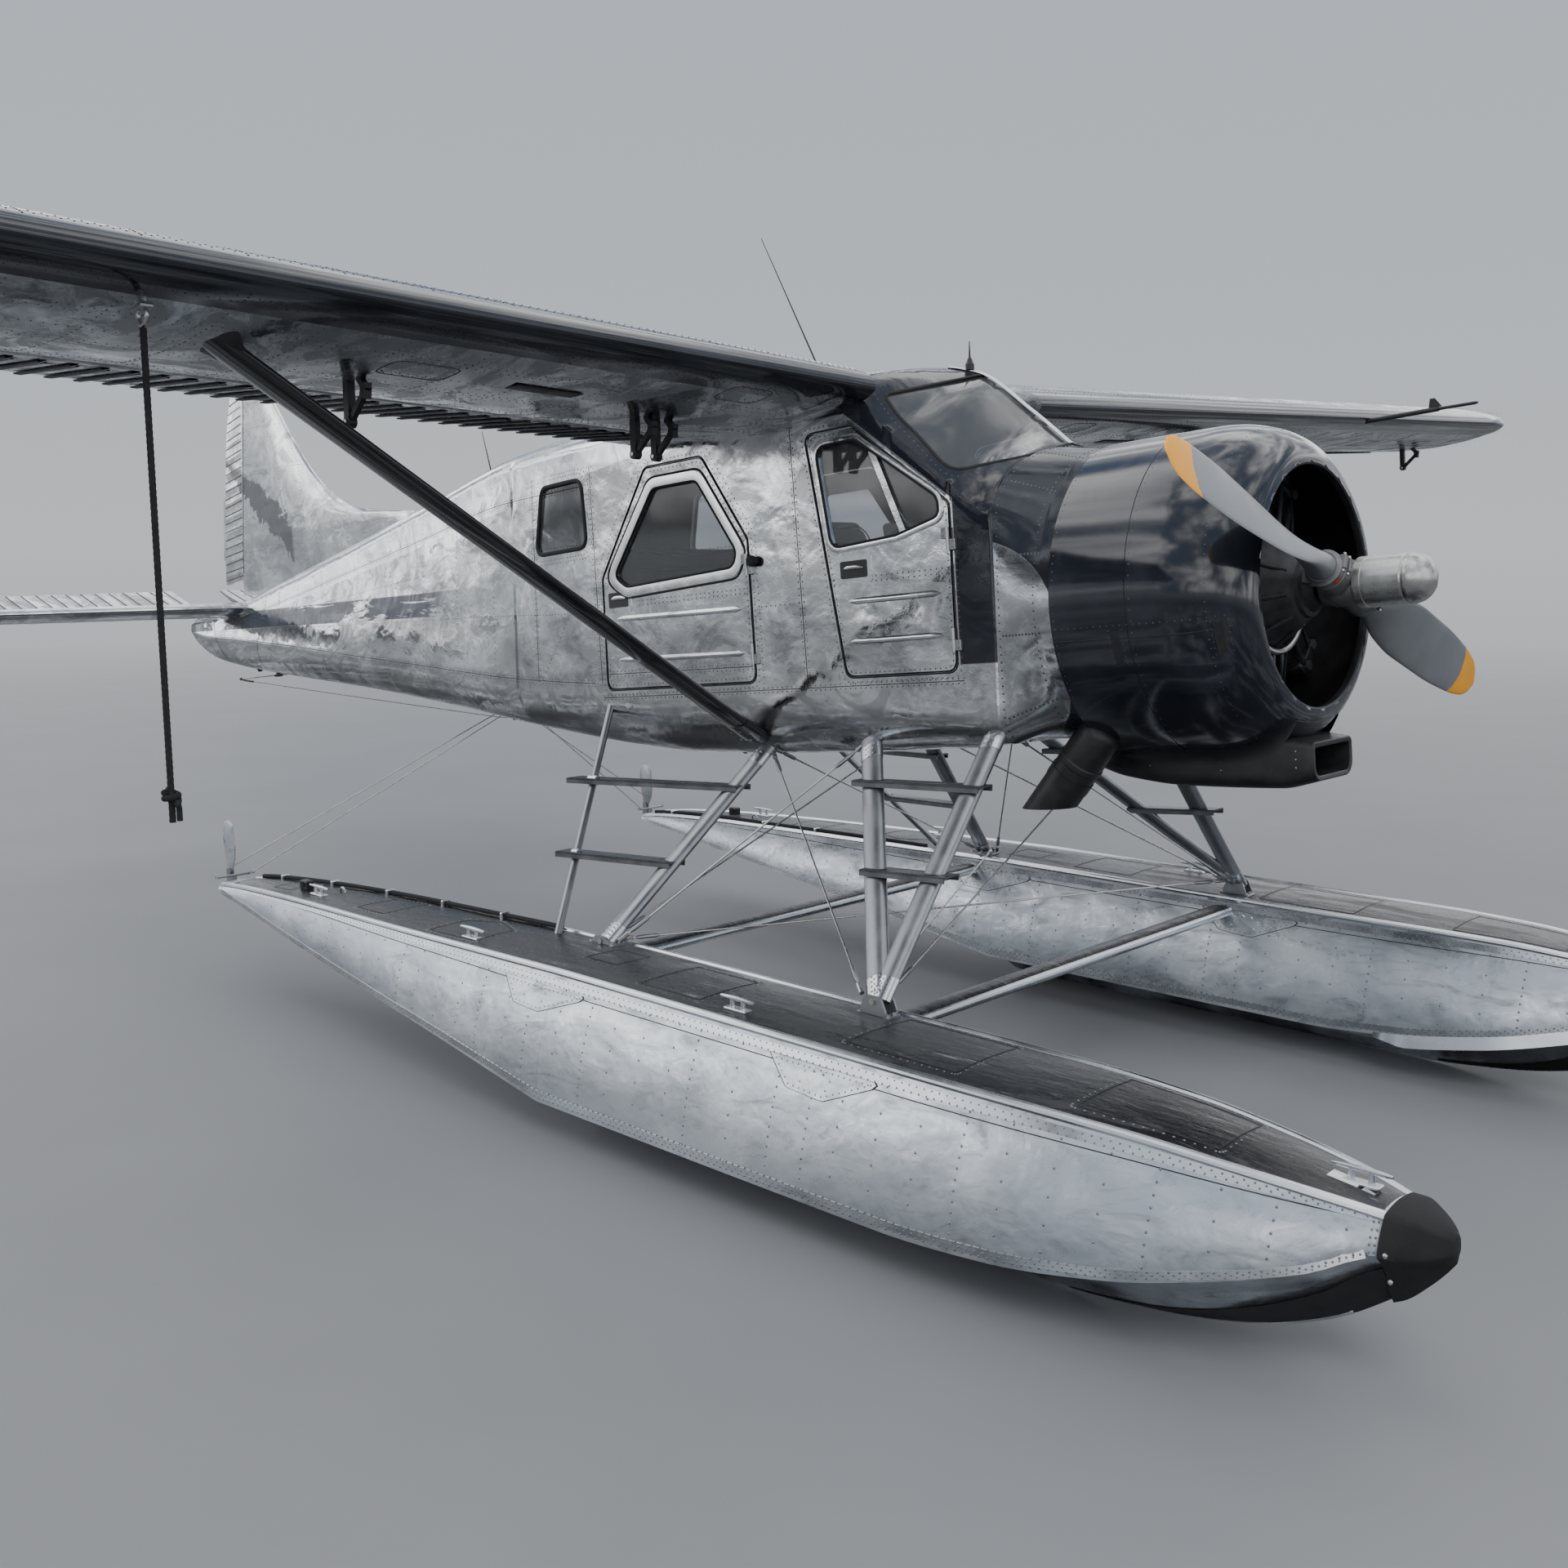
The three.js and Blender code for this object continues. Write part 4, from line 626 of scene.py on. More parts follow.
def borrow_normals(made, source):
    """Gives a cut surface the smooth normals of the uncut one, rims excepted"""
    points = [v.co for v in source.vertices]
    faces = [p.vertices[:] for p in source.polygons]
    tree = BVHTree.FromPolygons(points, faces)
    smooth = [v.normal.copy() for v in source.vertices]
    mesh = made.data
    loops = [Vector()] * len(mesh.loops)
    for face in mesh.polygons:
        for loop in face.loop_indices:
            spot = mesh.vertices[mesh.loops[loop].vertex_index].co
            hit, normal, index, reach = tree.find_nearest(spot)
            if reach < 0.001 and normal.dot(face.normal) > 0.9:
                weights = poly_3d_calc([points[i] for i in faces[index]], hit)
                loops[loop] = sum((smooth[i] * w for i, w in zip(faces[index], weights)),
                                  Vector()).normalized()
            else:
                loops[loop] = face.normal.copy()
    mesh.normals_split_custom_set(loops)


def side_prism(outline, low, high):
    """A closed prism over an outline in x and z, from y low to high"""
    prism = Build()
    prism.slab([(x, low, z) for x, z in outline], (0, high - low, 0), "bare")
    return prism.raw("cutter")


def rounded(outline, radius, steps=6):
    """The outline with its corners turned into arcs"""
    points = [Vector(p) for p in outline]
    made = []
    for before, here, after in zip(points[-1:] + points[:-1], points, points[1:] + points[:1]):
        back, on = (before - here), (after - here)
        reach = min(radius / math.tan(back.angle(on) / 2), back.length * 0.45, on.length * 0.45)
        start, end = here + back.normalized() * reach, here + on.normalized() * reach
        for i in range(steps + 1):
            t = i / steps
            made.append((start * (1 - t) ** 2 + here * 2 * t * (1 - t) + end * t * t).to_tuple())
    return made


def inset(outline, amount):
    """The outline drawn in by amount"""
    points = [Vector(p) for p in outline]
    pairs = zip(points, points[1:] + points[:1])
    area = sum(a.x * b.y - b.x * a.y for a, b in pairs)
    sign = 1 if area > 0 else -1
    made = []
    for before, here, after in zip(points[-1:] + points[:-1], points, points[1:] + points[:1]):
        a, b = (here - before).normalized(), (after - here).normalized()
        normal = Vector((-a.y, a.x)) * sign
        bisector = (normal + Vector((-b.y, b.x)) * sign).normalized()
        made.append((here + bisector * amount / bisector.dot(normal)).to_tuple())
    return made


def smooth_rows(table, xs):
    """Rows of a table at new places, on a monotone curve through the table's own rows"""
    rows = np.array(sorted(table), float)
    x, y = rows[:, 0], rows[:, 1:]
    slope = np.diff(y, axis=0) / np.diff(x)[:, None]
    both = slope[:-1] * slope[1:]
    total = slope[:-1] + slope[1:]
    middle = np.where(both > 0, 2 * both / np.where(total == 0, 1, total), 0)
    m = np.concatenate([slope[:1], middle, slope[-1:]])
    xs = np.asarray(xs, float)
    k = np.clip(np.searchsorted(x, xs, side="right") - 1, 0, len(x) - 2)
    h = (x[k + 1] - x[k])[:, None]
    t = (xs - x[k])[:, None] / h
    value = ((2 * t**3 - 3 * t**2 + 1) * y[k] + (t**3 - 2 * t**2 + t) * h * m[k]
             + (3 * t**2 - 2 * t**3) * y[k + 1] + (t**3 - t**2) * h * m[k + 1])
    return np.column_stack([xs, value])


def between(a, b, t):
    return np.asarray(a, float) + (np.asarray(b, float) - np.asarray(a, float)) * t


# Tie-down rope: hangs straight down from the ring under the starboard wing and ends in a knot
ROPE_TOP = Vector((1.93711, -3.47146, 2.92908))
ROPE_LENGTH = 1.4
ROPE_RADIUS = 0.010
KNOT_DROP = 1.325


def tiedown_rope():
    drops = np.linspace(0, ROPE_LENGTH, 281)
    path = [(ROPE_TOP.x, ROPE_TOP.y, ROPE_TOP.z - d) for d in drops]
    strands = 3
    turn = np.linspace(0, TURN, 18, endpoint=False)
    rows = []
    for (x, y, z), drop in zip(path, drops):
        twist = drop * TURN / 0.055
        radius = ROPE_RADIUS * (0.84 + 0.16 * np.abs(np.cos(strands * (turn - twist) / 2)))
        rows.append(np.stack([x + radius * np.cos(turn), y + radius * np.sin(turn), np.full(18, z)], -1))
    rope = Build()
    rope.grid(rows, "rope", round_v=True, caps=True)
    rope = rope.make("rope", "airframe", "rope_fibre", ["tiedown_rope"], Matrix.Identity(4))
    knot = Build()
    centre = np.array((ROPE_TOP.x, ROPE_TOP.y, ROPE_TOP.z - KNOT_DROP))
    loop = np.linspace(0, TURN * 1.75, 60)
    reach = 0.019
    climb = 0.030 * (loop / loop[-1] - 0.5)
    coil = centre + np.stack([reach * np.cos(loop), reach * np.sin(loop), climb], -1)
    knot.tube(coil, ROPE_RADIUS * 0.95, "rope", 12)
    over = np.linspace(0, 1, 24)[:, None]
    lead = centre + np.concatenate([0.024 * np.cos(over * math.pi), 0.018 * np.sin(over * math.pi),
                                    0.05 * (over - 0.5)], 1)
    knot.tube(lead, ROPE_RADIUS * 0.9, "rope", 12)
    tail = np.array(path[-1]) + (0, 0.004, 0.004)
    knot.tube([centre + (0.006, 0.012, 0), (tail + centre) / 2 + (0.012, 0.014, 0), tail + (0.010, 0.013, 0)],
              ROPE_RADIUS * 0.85, "rope", 12)
    knot = knot.make("rope_knot", "airframe", "rope_fibre", (), Matrix.Identity(4))


tiedown_rope()


# Fuselage skin: stations from the firewall to the tip of the tail cone
BODY_STATIONS = [
    # x, belly z and half width, seam z, side half width, shoulder z and half width, crown z, roundness
    [-1.100, -0.520, 0.500, -0.410, 0.620, 0.330, 0.600, 0.645, 1.0],
    [-1.290, -0.535, 0.470, -0.370, 0.620, 0.510, 0.610, 0.815, 0.15],
    [-1.550, -0.545, 0.430, -0.330, 0.620, 0.730, 0.608, 1.015, 0.15],
    [-1.790, -0.555, 0.400, -0.300, 0.620, 0.905, 0.606, 1.075, 0.8],
    [-2.400, -0.560, 0.360, -0.275, 0.620, 0.935, 0.606, 1.100, 1.0],
    [-3.000, -0.550, 0.350, -0.255, 0.620, 0.935, 0.602, 1.110, 1.0],
    [-3.500, -0.508, 0.330, -0.230, 0.610, 0.930, 0.585, 1.105, 1.0],
    [-4.200, -0.420, 0.290, -0.180, 0.560, 0.925, 0.490, 1.080, 1.0],
    [-5.200, -0.275, 0.210, -0.065, 0.455, 0.800, 0.365, 0.945, 1.0],
    [-6.200, -0.145, 0.150, 0.055, 0.350, 0.660, 0.260, 0.800, 1.0],
    [-7.100, -0.045, 0.100, 0.165, 0.250, 0.530, 0.175, 0.665, 1.0],
    [-7.950, 0.060, 0.060, 0.260, 0.150, 0.430, 0.100, 0.530, 1.0],
    [-8.450, 0.150, 0.035, 0.310, 0.090, 0.405, 0.060, 0.480, 1.0],
    [-8.750, 0.275, 0.020, 0.350, 0.045, 0.410, 0.032, 0.460, 1.0],
    [-8.860, 0.350, 0.008, 0.375, 0.018, 0.405, 0.014, 0.425, 1.0],
]
FIREWALL_X = -1.100
CABIN_END_X = -4.200
TAIL_END_X = -8.860
CABIN_WALL = 0.030
PANEL_GAP = 0.006
FLOOR_Z = -0.360
CREW_DOOR = [(-1.290, -0.225), (-1.290, 0.430), (-1.760, 0.790), (-2.020, 0.790), (-1.860, -0.225)]
CREW_WINDOW = [(-1.335, 0.385), (-1.345, 0.460), (-1.745, 0.735), (-1.965, 0.735), (-1.905, 0.310),
               (-1.560, 0.330)]
CABIN_DOOR = [(-2.392, -0.225), (-2.392, 0.400), (-2.650, 0.790), (-3.030, 0.790), (-3.390, 0.310),
              (-3.400, -0.225)]
CABIN_WINDOW = [(-2.460, 0.350), (-2.690, 0.690), (-2.985, 0.690), (-3.300, 0.310), (-3.210, 0.255),
                (-2.490, 0.285)]
REAR_WINDOW = [(-3.500, 0.470), (-3.515, 0.800), (-3.880, 0.800), (-3.960, 0.470)]
WINDSHIELD = [(0.0, 0.655), (0.575, 0.545), (0.500, 0.915), (0.0, 1.010)]


def skin_rings(xs, grow=0.0, belly_steps=9, side_steps=12, roof_steps=14):
    """Rings of the body's section at each x, from the belly up the port side and round"""
    columns = [column[:, None] for column in smooth_rows(BODY_STATIONS, xs).T]
    x, belly, belly_half, seam, side_half, shoulder, shoulder_half, crown, roundness = columns
    turn = np.linspace(0, math.pi / 2, belly_steps + 1)
    ys = [np.zeros_like(x), belly_half + (side_half + grow - belly_half) * np.sin(turn)]
    zs = [belly - grow, seam - (seam - belly + grow) * np.cos(turn)]
    t = np.linspace(0, 1, side_steps + 1)[1:-1]
    ys.append(side_half + grow + (shoulder_half - side_half) * t)
    zs.append(seam + (shoulder - seam) * t)
    t = np.linspace(0, 1, roof_steps + 1)
    across = (1 - t) * (1 - roundness) + np.cos(t * math.pi / 2) * roundness
    rise = t * (1 - roundness) + np.sin(t * math.pi / 2) * roundness
    ys.append((shoulder_half + grow) * across)
    zs.append(shoulder + (crown + grow - shoulder) * rise)
    half_y, half_z = np.concatenate(ys, 1), np.concatenate(zs, 1)
    half_y[:, -1] = 0
    y = np.concatenate([half_y, -half_y[:, -2:0:-1]], 1)
    z = np.concatenate([half_z, half_z[:, -2:0:-1]], 1)
    return np.stack([np.broadcast_to(x, y.shape), y, z], -1)


def skin_y(xs, zs, grow=0.0):
    """Half width of the skin at each x and z"""
    rings = skin_rings(xs, grow)
    half = rings.shape[1] // 2 + 1
    return np.array([np.interp(z, ring[:half, 2], ring[:half, 1]) for ring, z in zip(rings, zs)])


def on_skin(xs, zs, side, grow=0.0):
    """Points of the skin's side and its outward normals"""
    xs, zs = np.asarray(xs, float), np.asarray(zs, float)
    step = 0.01
    y = skin_y(xs, zs, grow)
    along = np.stack([np.full_like(xs, step), skin_y(xs + step, zs, grow) - y, np.zeros_like(xs)], -1)
    up = np.stack([np.zeros_like(xs), skin_y(xs, zs + step, grow) - y, np.full_like(xs, step)], -1)
    normals = unit(np.cross(up, along))
    spots = np.stack([xs, side * y, zs], -1)
    return spots, normals * (1, side, 1)


def laid_out(points, pitch, closed=False):
    """Places at even steps along a line of the side view"""
    line = np.array(list(points) + ([points[0]] if closed else []), float)
    lengths = np.concatenate([[0], np.cumsum(np.linalg.norm(np.diff(line, axis=0), axis=1))])
    count = max(2, int(round(lengths[-1] / pitch)))
    steps = np.linspace(0, lengths[-1], count + 1)
    steps = steps[:-1] if closed else steps
    return np.interp(steps, lengths, line[:, 0]), np.interp(steps, lengths, line[:, 1])


def across_line(spots, normals, closed):
    """The sideways direction at each point of a line on the skin"""
    if closed:
        tangents = unit(np.roll(spots, -1, 0) - np.roll(spots, 1, 0))
    else:
        tangents = unit(np.gradient(spots, axis=0))
    return unit(np.cross(normals, tangents))


def strip_on_skin(build, points, side, width, lift, material, closed=False, shift=0.0, pitch=0.02):
    """A flat strip that follows a line of the side view, standing a little above the skin"""
    spots, normals = on_skin(*laid_out(points, pitch, closed), side)
    across = across_line(spots, normals, closed)
    rows = [spots + across * (shift + k * width) + normals * h
            for k, h in ((-0.5, -0.001), (-0.5, lift), (0.5, lift), (0.5, -0.001))]
    build.grid(np.stack(rows, 1), material, round_u=closed)


def rivets_on_skin(build, points, side, material="rivet", closed=False, shift=0.0, pitch=0.028,
                   radius=0.0050):
    spots, normals = on_skin(*laid_out(points, pitch, closed), side)
    across = across_line(spots, normals, closed)
    build.rivets(spots + across * shift, normals, material, radius, 0.0022)


def bead_on_skin(build, points, side, radius, material, closed=False, flat=1.0, lift=0.0, pitch=0.02):
    """A round bead along a line of the side view, tapered at open ends"""
    spots, normals = on_skin(*laid_out(points, pitch, closed), side)
    across = across_line(spots, normals, closed)
    size = np.full(len(spots), radius)
    if not closed:
        ends = np.minimum(np.arange(len(spots)), np.arange(len(spots))[::-1]) * pitch
        size = radius * np.sqrt(np.clip(ends / (radius * 3), 0.02, 1))
    turn = np.linspace(0, TURN, 10, endpoint=False)[None, :, None]
    ring = np.cos(turn) * across[:, None] + flat * np.sin(turn) * normals[:, None]
    build.grid((spots + normals * lift)[:, None] + size[:, None, None] * ring, material, round_u=closed,
               round_v=True)


def dense(outline, pitch=0.03):
    """The outline with its long edges cut into shorter ones"""
    made = []
    for a, b in zip(outline, list(outline[1:]) + [outline[0]]):
        count = max(1, int(math.dist(a, b) / pitch))
        made += [tuple(between(a, b, i / count)) for i in range(count)]
    return made


def frame_ring(build, outline, radius, side, width, lift, material):
    """A flat frame round a window, from its edge out to a width"""
    inner = dense(rounded(outline, radius))
    middle = np.mean(inner, axis=0)
    runs = np.roll(inner, -1, 0) - np.roll(inner, 1, 0)
    out = unit(np.stack([runs[:, 1], -runs[:, 0]], -1))
    if np.sum(out * (np.array(inner) - middle)) < 0:
        out = -out
    rows = []
    for reach, h in ((0.0, -0.012), (0.0, lift), (width * 0.5, lift * 1.5), (width, lift), (width, -0.001)):
        spots, normals = on_skin(*(np.array(inner) + out * reach).T, side)
        rows.append(spots + normals * h)
    build.grid(rows, material, round_v=True)


def hoop(build, x, pitch=0.030, material="rivet", lowest=-1.0):
    """A ring of rivets round the body"""
    ring = skin_rings([x])[0]
    ring = np.vstack([ring, ring[:1]])
    lengths = np.concatenate([[0], np.cumsum(np.linalg.norm(np.diff(ring, axis=0), axis=1))])
    steps = np.arange(0, lengths[-1], pitch)
    spots = np.stack([np.interp(steps, lengths, ring[:, k]) for k in range(3)], -1)
    tangents = unit(np.gradient(spots, axis=0))
    normals = np.stack([np.zeros(len(spots)), tangents[:, 2], -tangents[:, 1]], -1)
    inward = np.sum(normals * (spots - (x, 0, 0.25)), axis=1) < 0
    normals[inward] *= -1
    keep = spots[:, 2] > lowest
    build.rivets(spots[keep], normals[keep], material, 0.0050, 0.0022)


BODY_SEAMS = [
    # points of the side view, sideways places of the rivet rows
    ([(-3.445, 0.85), (-3.445, -0.20)], (-0.014, 0.014)),
    ([(-3.975, 0.85), (-3.985, -0.165)], (-0.013, 0.013)),
    ([(-3.66, 0.175), (-3.97, -0.180)], (0.0,)),
    ([(-2.105, 0.86), (-2.085, -0.26)], (-0.012, 0.012)),
    ([(-2.345, 0.41), (-2.345, -0.26)], (0.0,)),
    ([(-2.362, 0.44), (-2.625, 0.84)], (0.0,)),
    ([(-3.060, 0.84), (-3.425, 0.36)], (0.0,)),
    ([(-1.26, -0.262), (-3.44, -0.262)], (-0.010, 0.010)),
    ([(-2.08, 0.10), (-2.33, 0.10)], (0.0,)),
]


def drawn_lines(build, lines, side):
    for points, rows in lines:
        if len(rows) > 1:
            strip_on_skin(build, points, side, 0.0035, 0.0006, "seam")
        for shift in rows:
            rivets_on_skin(build, points, side, shift=shift)


HINGE_AXES = (-1.292, -2.394)
HINGE_HEIGHTS = (-0.100, 0.290)
KNUCKLE_LENGTH = 0.045
DOOR_RADIUS = 0.045


def cabin_lines():
    build = Build()
    for _, side in SIDES:
        drawn_lines(build, BODY_SEAMS, side)
        bead_on_skin(build, rounded(REAR_WINDOW, 0.06), side, 0.011, "rubber", True, 0.7)
        for out, radius in ((0.052, 0.09), (0.032, 0.08)):
            rivets_on_skin(build, rounded(inset(REAR_WINDOW, -out), radius), side, closed=True, pitch=0.024)
        for outline in (CREW_DOOR, CABIN_DOOR):
            bead_on_skin(build, rounded(inset(outline, -0.004), DOOR_RADIUS), side, 0.0035, "rubber", True)
        for outline in (CREW_DOOR, CABIN_DOOR):
            row = rounded(inset(outline, -0.022), DOOR_RADIUS)
            rivets_on_skin(build, row, side, closed=True, pitch=0.026)
        for x in HINGE_AXES:
            for z in HINGE_HEIGHTS:
                knuckle(build, x, side, z - KNUCKLE_LENGTH - 0.0003, 1)
        knob, out = on_skin([-2.352], [0.300], side)
        build.lathe([(-0.002, 0.0), (-0.002, 0.016), (0.010, 0.016), (0.014, 0.024), (0.030, 0.024),
                     (0.036, 0.017), (0.037, 0.0)], "rubber", 24, knob[0], out[0])
    build.make("cabin_trim", "airframe", "bare_metal", ())


# Doors and windows
KNUCKLE_Y = 0.630


def knuckle(build, x, side, low, towards):
    """Half of a door hinge: a rolled eye about the pin and the leaf that carries it"""
    high = low + KNUCKLE_LENGTH
    build.tube([(x, side * KNUCKLE_Y, low), (x, side * KNUCKLE_Y, high)], 0.0079, "steel", 14)
    near, far = sorted((x + 0.0015 * towards, x + 0.033 * towards))
    inner, outer = sorted((side * 0.612, side * (KNUCKLE_Y - 0.001)))
    build.box((near, inner, low + 0.001), (far, outer, high - 0.001), "strut", 0.002)
    build.rivets([(x + 0.022 * towards, side * (KNUCKLE_Y - 0.001), low + h) for h in (0.012, 0.033)],
                 [(0, side, 0)] * 2, "rivet", 0.004, 0.002)


def handle_plate(build, side, x, z):
    """A square plate with a lever over its recess, which is drawn as a raised black pad of painted shade"""
    corners = [(x - 0.095, z - 0.058), (x - 0.095, z + 0.058), (x + 0.095, z + 0.058), (x + 0.095, z - 0.058)]
    plate = rounded(corners, 0.014, 3)
    # painted shade: the recess is a black pad a little proud of the plate, coloured for the shade inside it
    recess = rounded(inset(corners, 0.022), 0.010, 3)
    for outline, lift, material in ((plate, 0.0025, "polished"), (recess, 0.0032, "black")):
        spots, normals = on_skin(*np.array(outline).T, side)
        foot, top = spots - normals * 0.001, spots + normals * lift
        build.grid([foot, top], material, round_v=True)
        build.add(top, [list(range(len(top)))], material)
    lever = [(x - 0.050, z + 0.006), (x - 0.02, z + 0.010), (x + 0.02, z + 0.010), (x + 0.055, z + 0.004)]
    bead_on_skin(build, lever, side, 0.010, "chrome", flat=0.7, lift=0.006, pitch=0.008)
    rivets_on_skin(build, inset(plate, 0.011), side, closed=True, pitch=0.034, radius=0.0035)


WINDOW_RADIUS = 0.055


def cabin_door_trim(word, side):
    build = Build()
    frame_ring(build, CABIN_WINDOW, WINDOW_RADIUS, side, 0.046, 0.0035, "chrome")
    bead_on_skin(build, rounded(CABIN_WINDOW, WINDOW_RADIUS), side, 0.006, "rubber", True, lift=0.002)
    bead_on_skin(build, rounded(inset(CABIN_WINDOW, -0.052), 0.085), side, 0.0055, "rubber", True, 0.7)
    rivets_on_skin(build, rounded(inset(CABIN_DOOR, 0.020), 0.04), side, closed=True, pitch=0.026)
    for z in (0.186, 0.166):
        rivets_on_skin(build, [(-3.13, z), (-2.43, z)], side)
    for z in (0.105, -0.090):
        bead_on_skin(build, [(-3.30, z + 0.005), (-2.45, z - 0.005)], side, 0.013, "fuselage", flat=0.6)
    drawn_lines(build, [([(-3.38, -0.150), (-2.41, -0.155)], (-0.012, 0.012))], side)
    handle_plate(build, side, -3.280, 0.200)
    for z in HINGE_HEIGHTS:
        knuckle(build, HINGE_AXES[1], side, z, -1)
    build.make(f"cabin_door_trim_{word}", f"cabin_door_body_{word}", "bare_metal", ())


WINDOW_POST = [(-1.665, 0.680), (-1.520, 0.336)]


def crew_door_trim(word, side):
    build = Build()
    frame_ring(build, CREW_WINDOW, WINDOW_RADIUS, side, 0.026, 0.003, "polished")
    bead_on_skin(build, rounded(CREW_WINDOW, WINDOW_RADIUS), side, 0.006, "rubber", True, lift=0.002)
    rivets_on_skin(build, rounded(inset(CREW_WINDOW, -0.018), 0.07), side, closed=True, pitch=0.026)
    strip_on_skin(build, WINDOW_POST, side, 0.030, 0.002, "polished")
    for shift in (-0.0165, 0.0165):
        post = [(x + shift, z) for x, z in WINDOW_POST]
        bead_on_skin(build, post, side, 0.0030, "rubber", flat=0.7)
    rivets_on_skin(build, rounded(inset(CREW_DOOR, 0.016), 0.04), side, closed=True, pitch=0.026)
    for z in (0.180, 0.160):
        rivets_on_skin(build, [(-1.90, z), (-1.31, z)], side)
    for z in (0.085, -0.080):
        bead_on_skin(build, [(-1.83, z), (-1.35, z)], side, 0.013, "fuselage", flat=0.6)
    handle_plate(build, side, -1.790, 0.215)
    for z in HINGE_HEIGHTS:
        knuckle(build, HINGE_AXES[0], side, z, -1)
    build.make(f"crew_door_trim_{word}", f"crew_door_body_{word}", "bare_metal", ())


def skin_tree(xs):
    """The skin as faces that rays can be cast at"""
    rings = skin_rings(xs)
    faces = grid_faces(*rings.shape[:2], False, True)
    return BVHTree.FromPolygons(rings.reshape(-1, 3).tolist(), faces.tolist())


def seen_from(tree, spots, direction):
    """Where rays from spots meet the skin, and the skin's normals there"""
    hits = [tree.ray_cast(Vector(spot), Vector(direction)) for spot in spots]
    points = np.array([hit[0][:] for hit in hits if hit[0] is not None])
    normals = np.array([hit[1][:] for hit in hits if hit[0] is not None])
    turned_in = np.sum(normals * direction, axis=1) > 0
    normals[turned_in] *= -1
    return points, normals


def windshield_trim():
    """Bright centre post, the dark rim and its rivets"""
    build = Build()
    xs = np.linspace(-1.112, -1.700, 26)
    crown = smooth_rows(BODY_STATIONS, xs)[:, 7]
    build.tube([(x, 0, z + 0.002) for x, z in zip(xs, crown)], 0.006, "chrome", 12, flat=2.6)
    tree = skin_tree(np.linspace(-1.101, -1.95, 90))
    half = WINDSHIELD[1:3]
    for margin, radius in ((-0.004, 0.008), (0.026, 0.0)):
        corners = [(y + margin, z + (margin if z > 0.7 else -margin)) for y, z in half]
        line = [(0.0, WINDSHIELD[0][1] - margin)] + corners + [(0.0, WINDSHIELD[3][1] + margin)]
        line = rounded([Vector(p) for p in line + [(-y, z) for y, z in corners[::-1]]], 0.045, 5)
        line = dense(line, 0.022)
        spots, normals = seen_from(tree, [(-0.3, y, z) for y, z in line], (-1, 0, 0))
        if radius:
            across = across_line(spots, normals, True)
            turn = np.linspace(0, TURN, 8, endpoint=False)[None, :, None]
            ring = np.cos(turn) * across[:, None] + 0.6 * np.sin(turn) * normals[:, None]
            build.grid(spots[:, None] + radius * ring, "rubber", round_u=True, round_v=True)
        else:
            build.rivets(spots, normals, "rivet", 0.0042, 0.0018)
    build.make("windshield_frame", "airframe", "dark_paint", ())


TAIL_FRAMES = (-4.40, -4.80, -5.20, -5.62, -6.05, -6.50, -6.95, -7.25, -7.85)
TAIL_SEAMS = [
    ([(-7.490, 0.52), (-7.510, 0.334), (-7.600, 0.060)], (-0.013, 0.013)),
    ([(-8.420, 0.430), (-8.373, 0.370), (-8.290, 0.250), (-8.193, 0.130)], (-0.012, 0.012)),
]
CABIN_HOOPS = (-1.86, -2.20, -2.62, -3.05, -3.45, -3.98)
TAIL_STRINGERS = [
    # share of the height from the lower seam to the shoulder, sideways places of the rivet rows
    (0.035, (-0.013, 0.013)),
    (0.330, (0.0,)),
    (0.620, (0.0,)),
    (0.860, (-0.012, 0.012)),
]


def body_rivets():
    build = Build()
    for x in TAIL_FRAMES:
        hoop(build, x)
    for x in CABIN_HOOPS:
        hoop(build, x, lowest=smooth_rows(BODY_STATIONS, [x])[0][5])
    for _, side in SIDES:
        for share, rows in TAIL_STRINGERS:
            drawn_lines(build, [(share_line(share, -3.50, -8.30), rows)], side)
        drawn_lines(build, TAIL_SEAMS, side)
    build.make("fuselage_rivets", "airframe", "bare_metal", ())


def share_line(share, start, end, lift=0.0):
    """Line along the body at a share of the height from the lower seam to the shoulder"""
    rows = smooth_rows(BODY_STATIONS, np.linspace(start, end, 30))
    return [(row[0], row[3] + (row[5] - row[3]) * share + lift) for row in rows]


def thick_skin(xs, wall, outer="fuselage", inner="lining"):
    shell = Build()
    outside, inside = skin_rings(xs), skin_rings(xs, -wall)
    shell.grid(outside, outer, round_v=True)
    shell.grid(inside, inner, round_v=True)
    for end in (0, -1):
        shell.grid(np.stack([outside[end], inside[end]]), outer, round_v=True)
    return shell


def windshield_prism(margin, radius):
    half = [(y - margin * (y > 0), z) for y, z in WINDSHIELD]
    half[0] = (0, half[0][1] + margin)
    half[3] = (0, half[3][1] - margin)
    whole = half + [(-y, z) for y, z in half[2:0:-1]]
    outline = rounded([Vector(p) for p in whole], radius, 4)
    prism = Build()
    prism.slab([(FIREWALL_X - 0.02 - margin, y, z) for y, z in outline], (-0.78, 0, 0), "bare")
    return prism.raw("cutter")


CABIN_XS = np.concatenate([np.linspace(FIREWALL_X, -1.9, 44), np.linspace(-1.93, CABIN_END_X, 66)])
SIDE_REACH = (0.3, 0.8)
WINDSHIELD_RADIUS = 0.045


def reach_of(side):
    return sorted(side * r for r in SIDE_REACH)


def uncut_normals(shell):
    """A copy of a shell before it is cut, in place, for its smooth normals"""
    copy = shell.data.copy()
    copy.transform(AIR)
    return copy


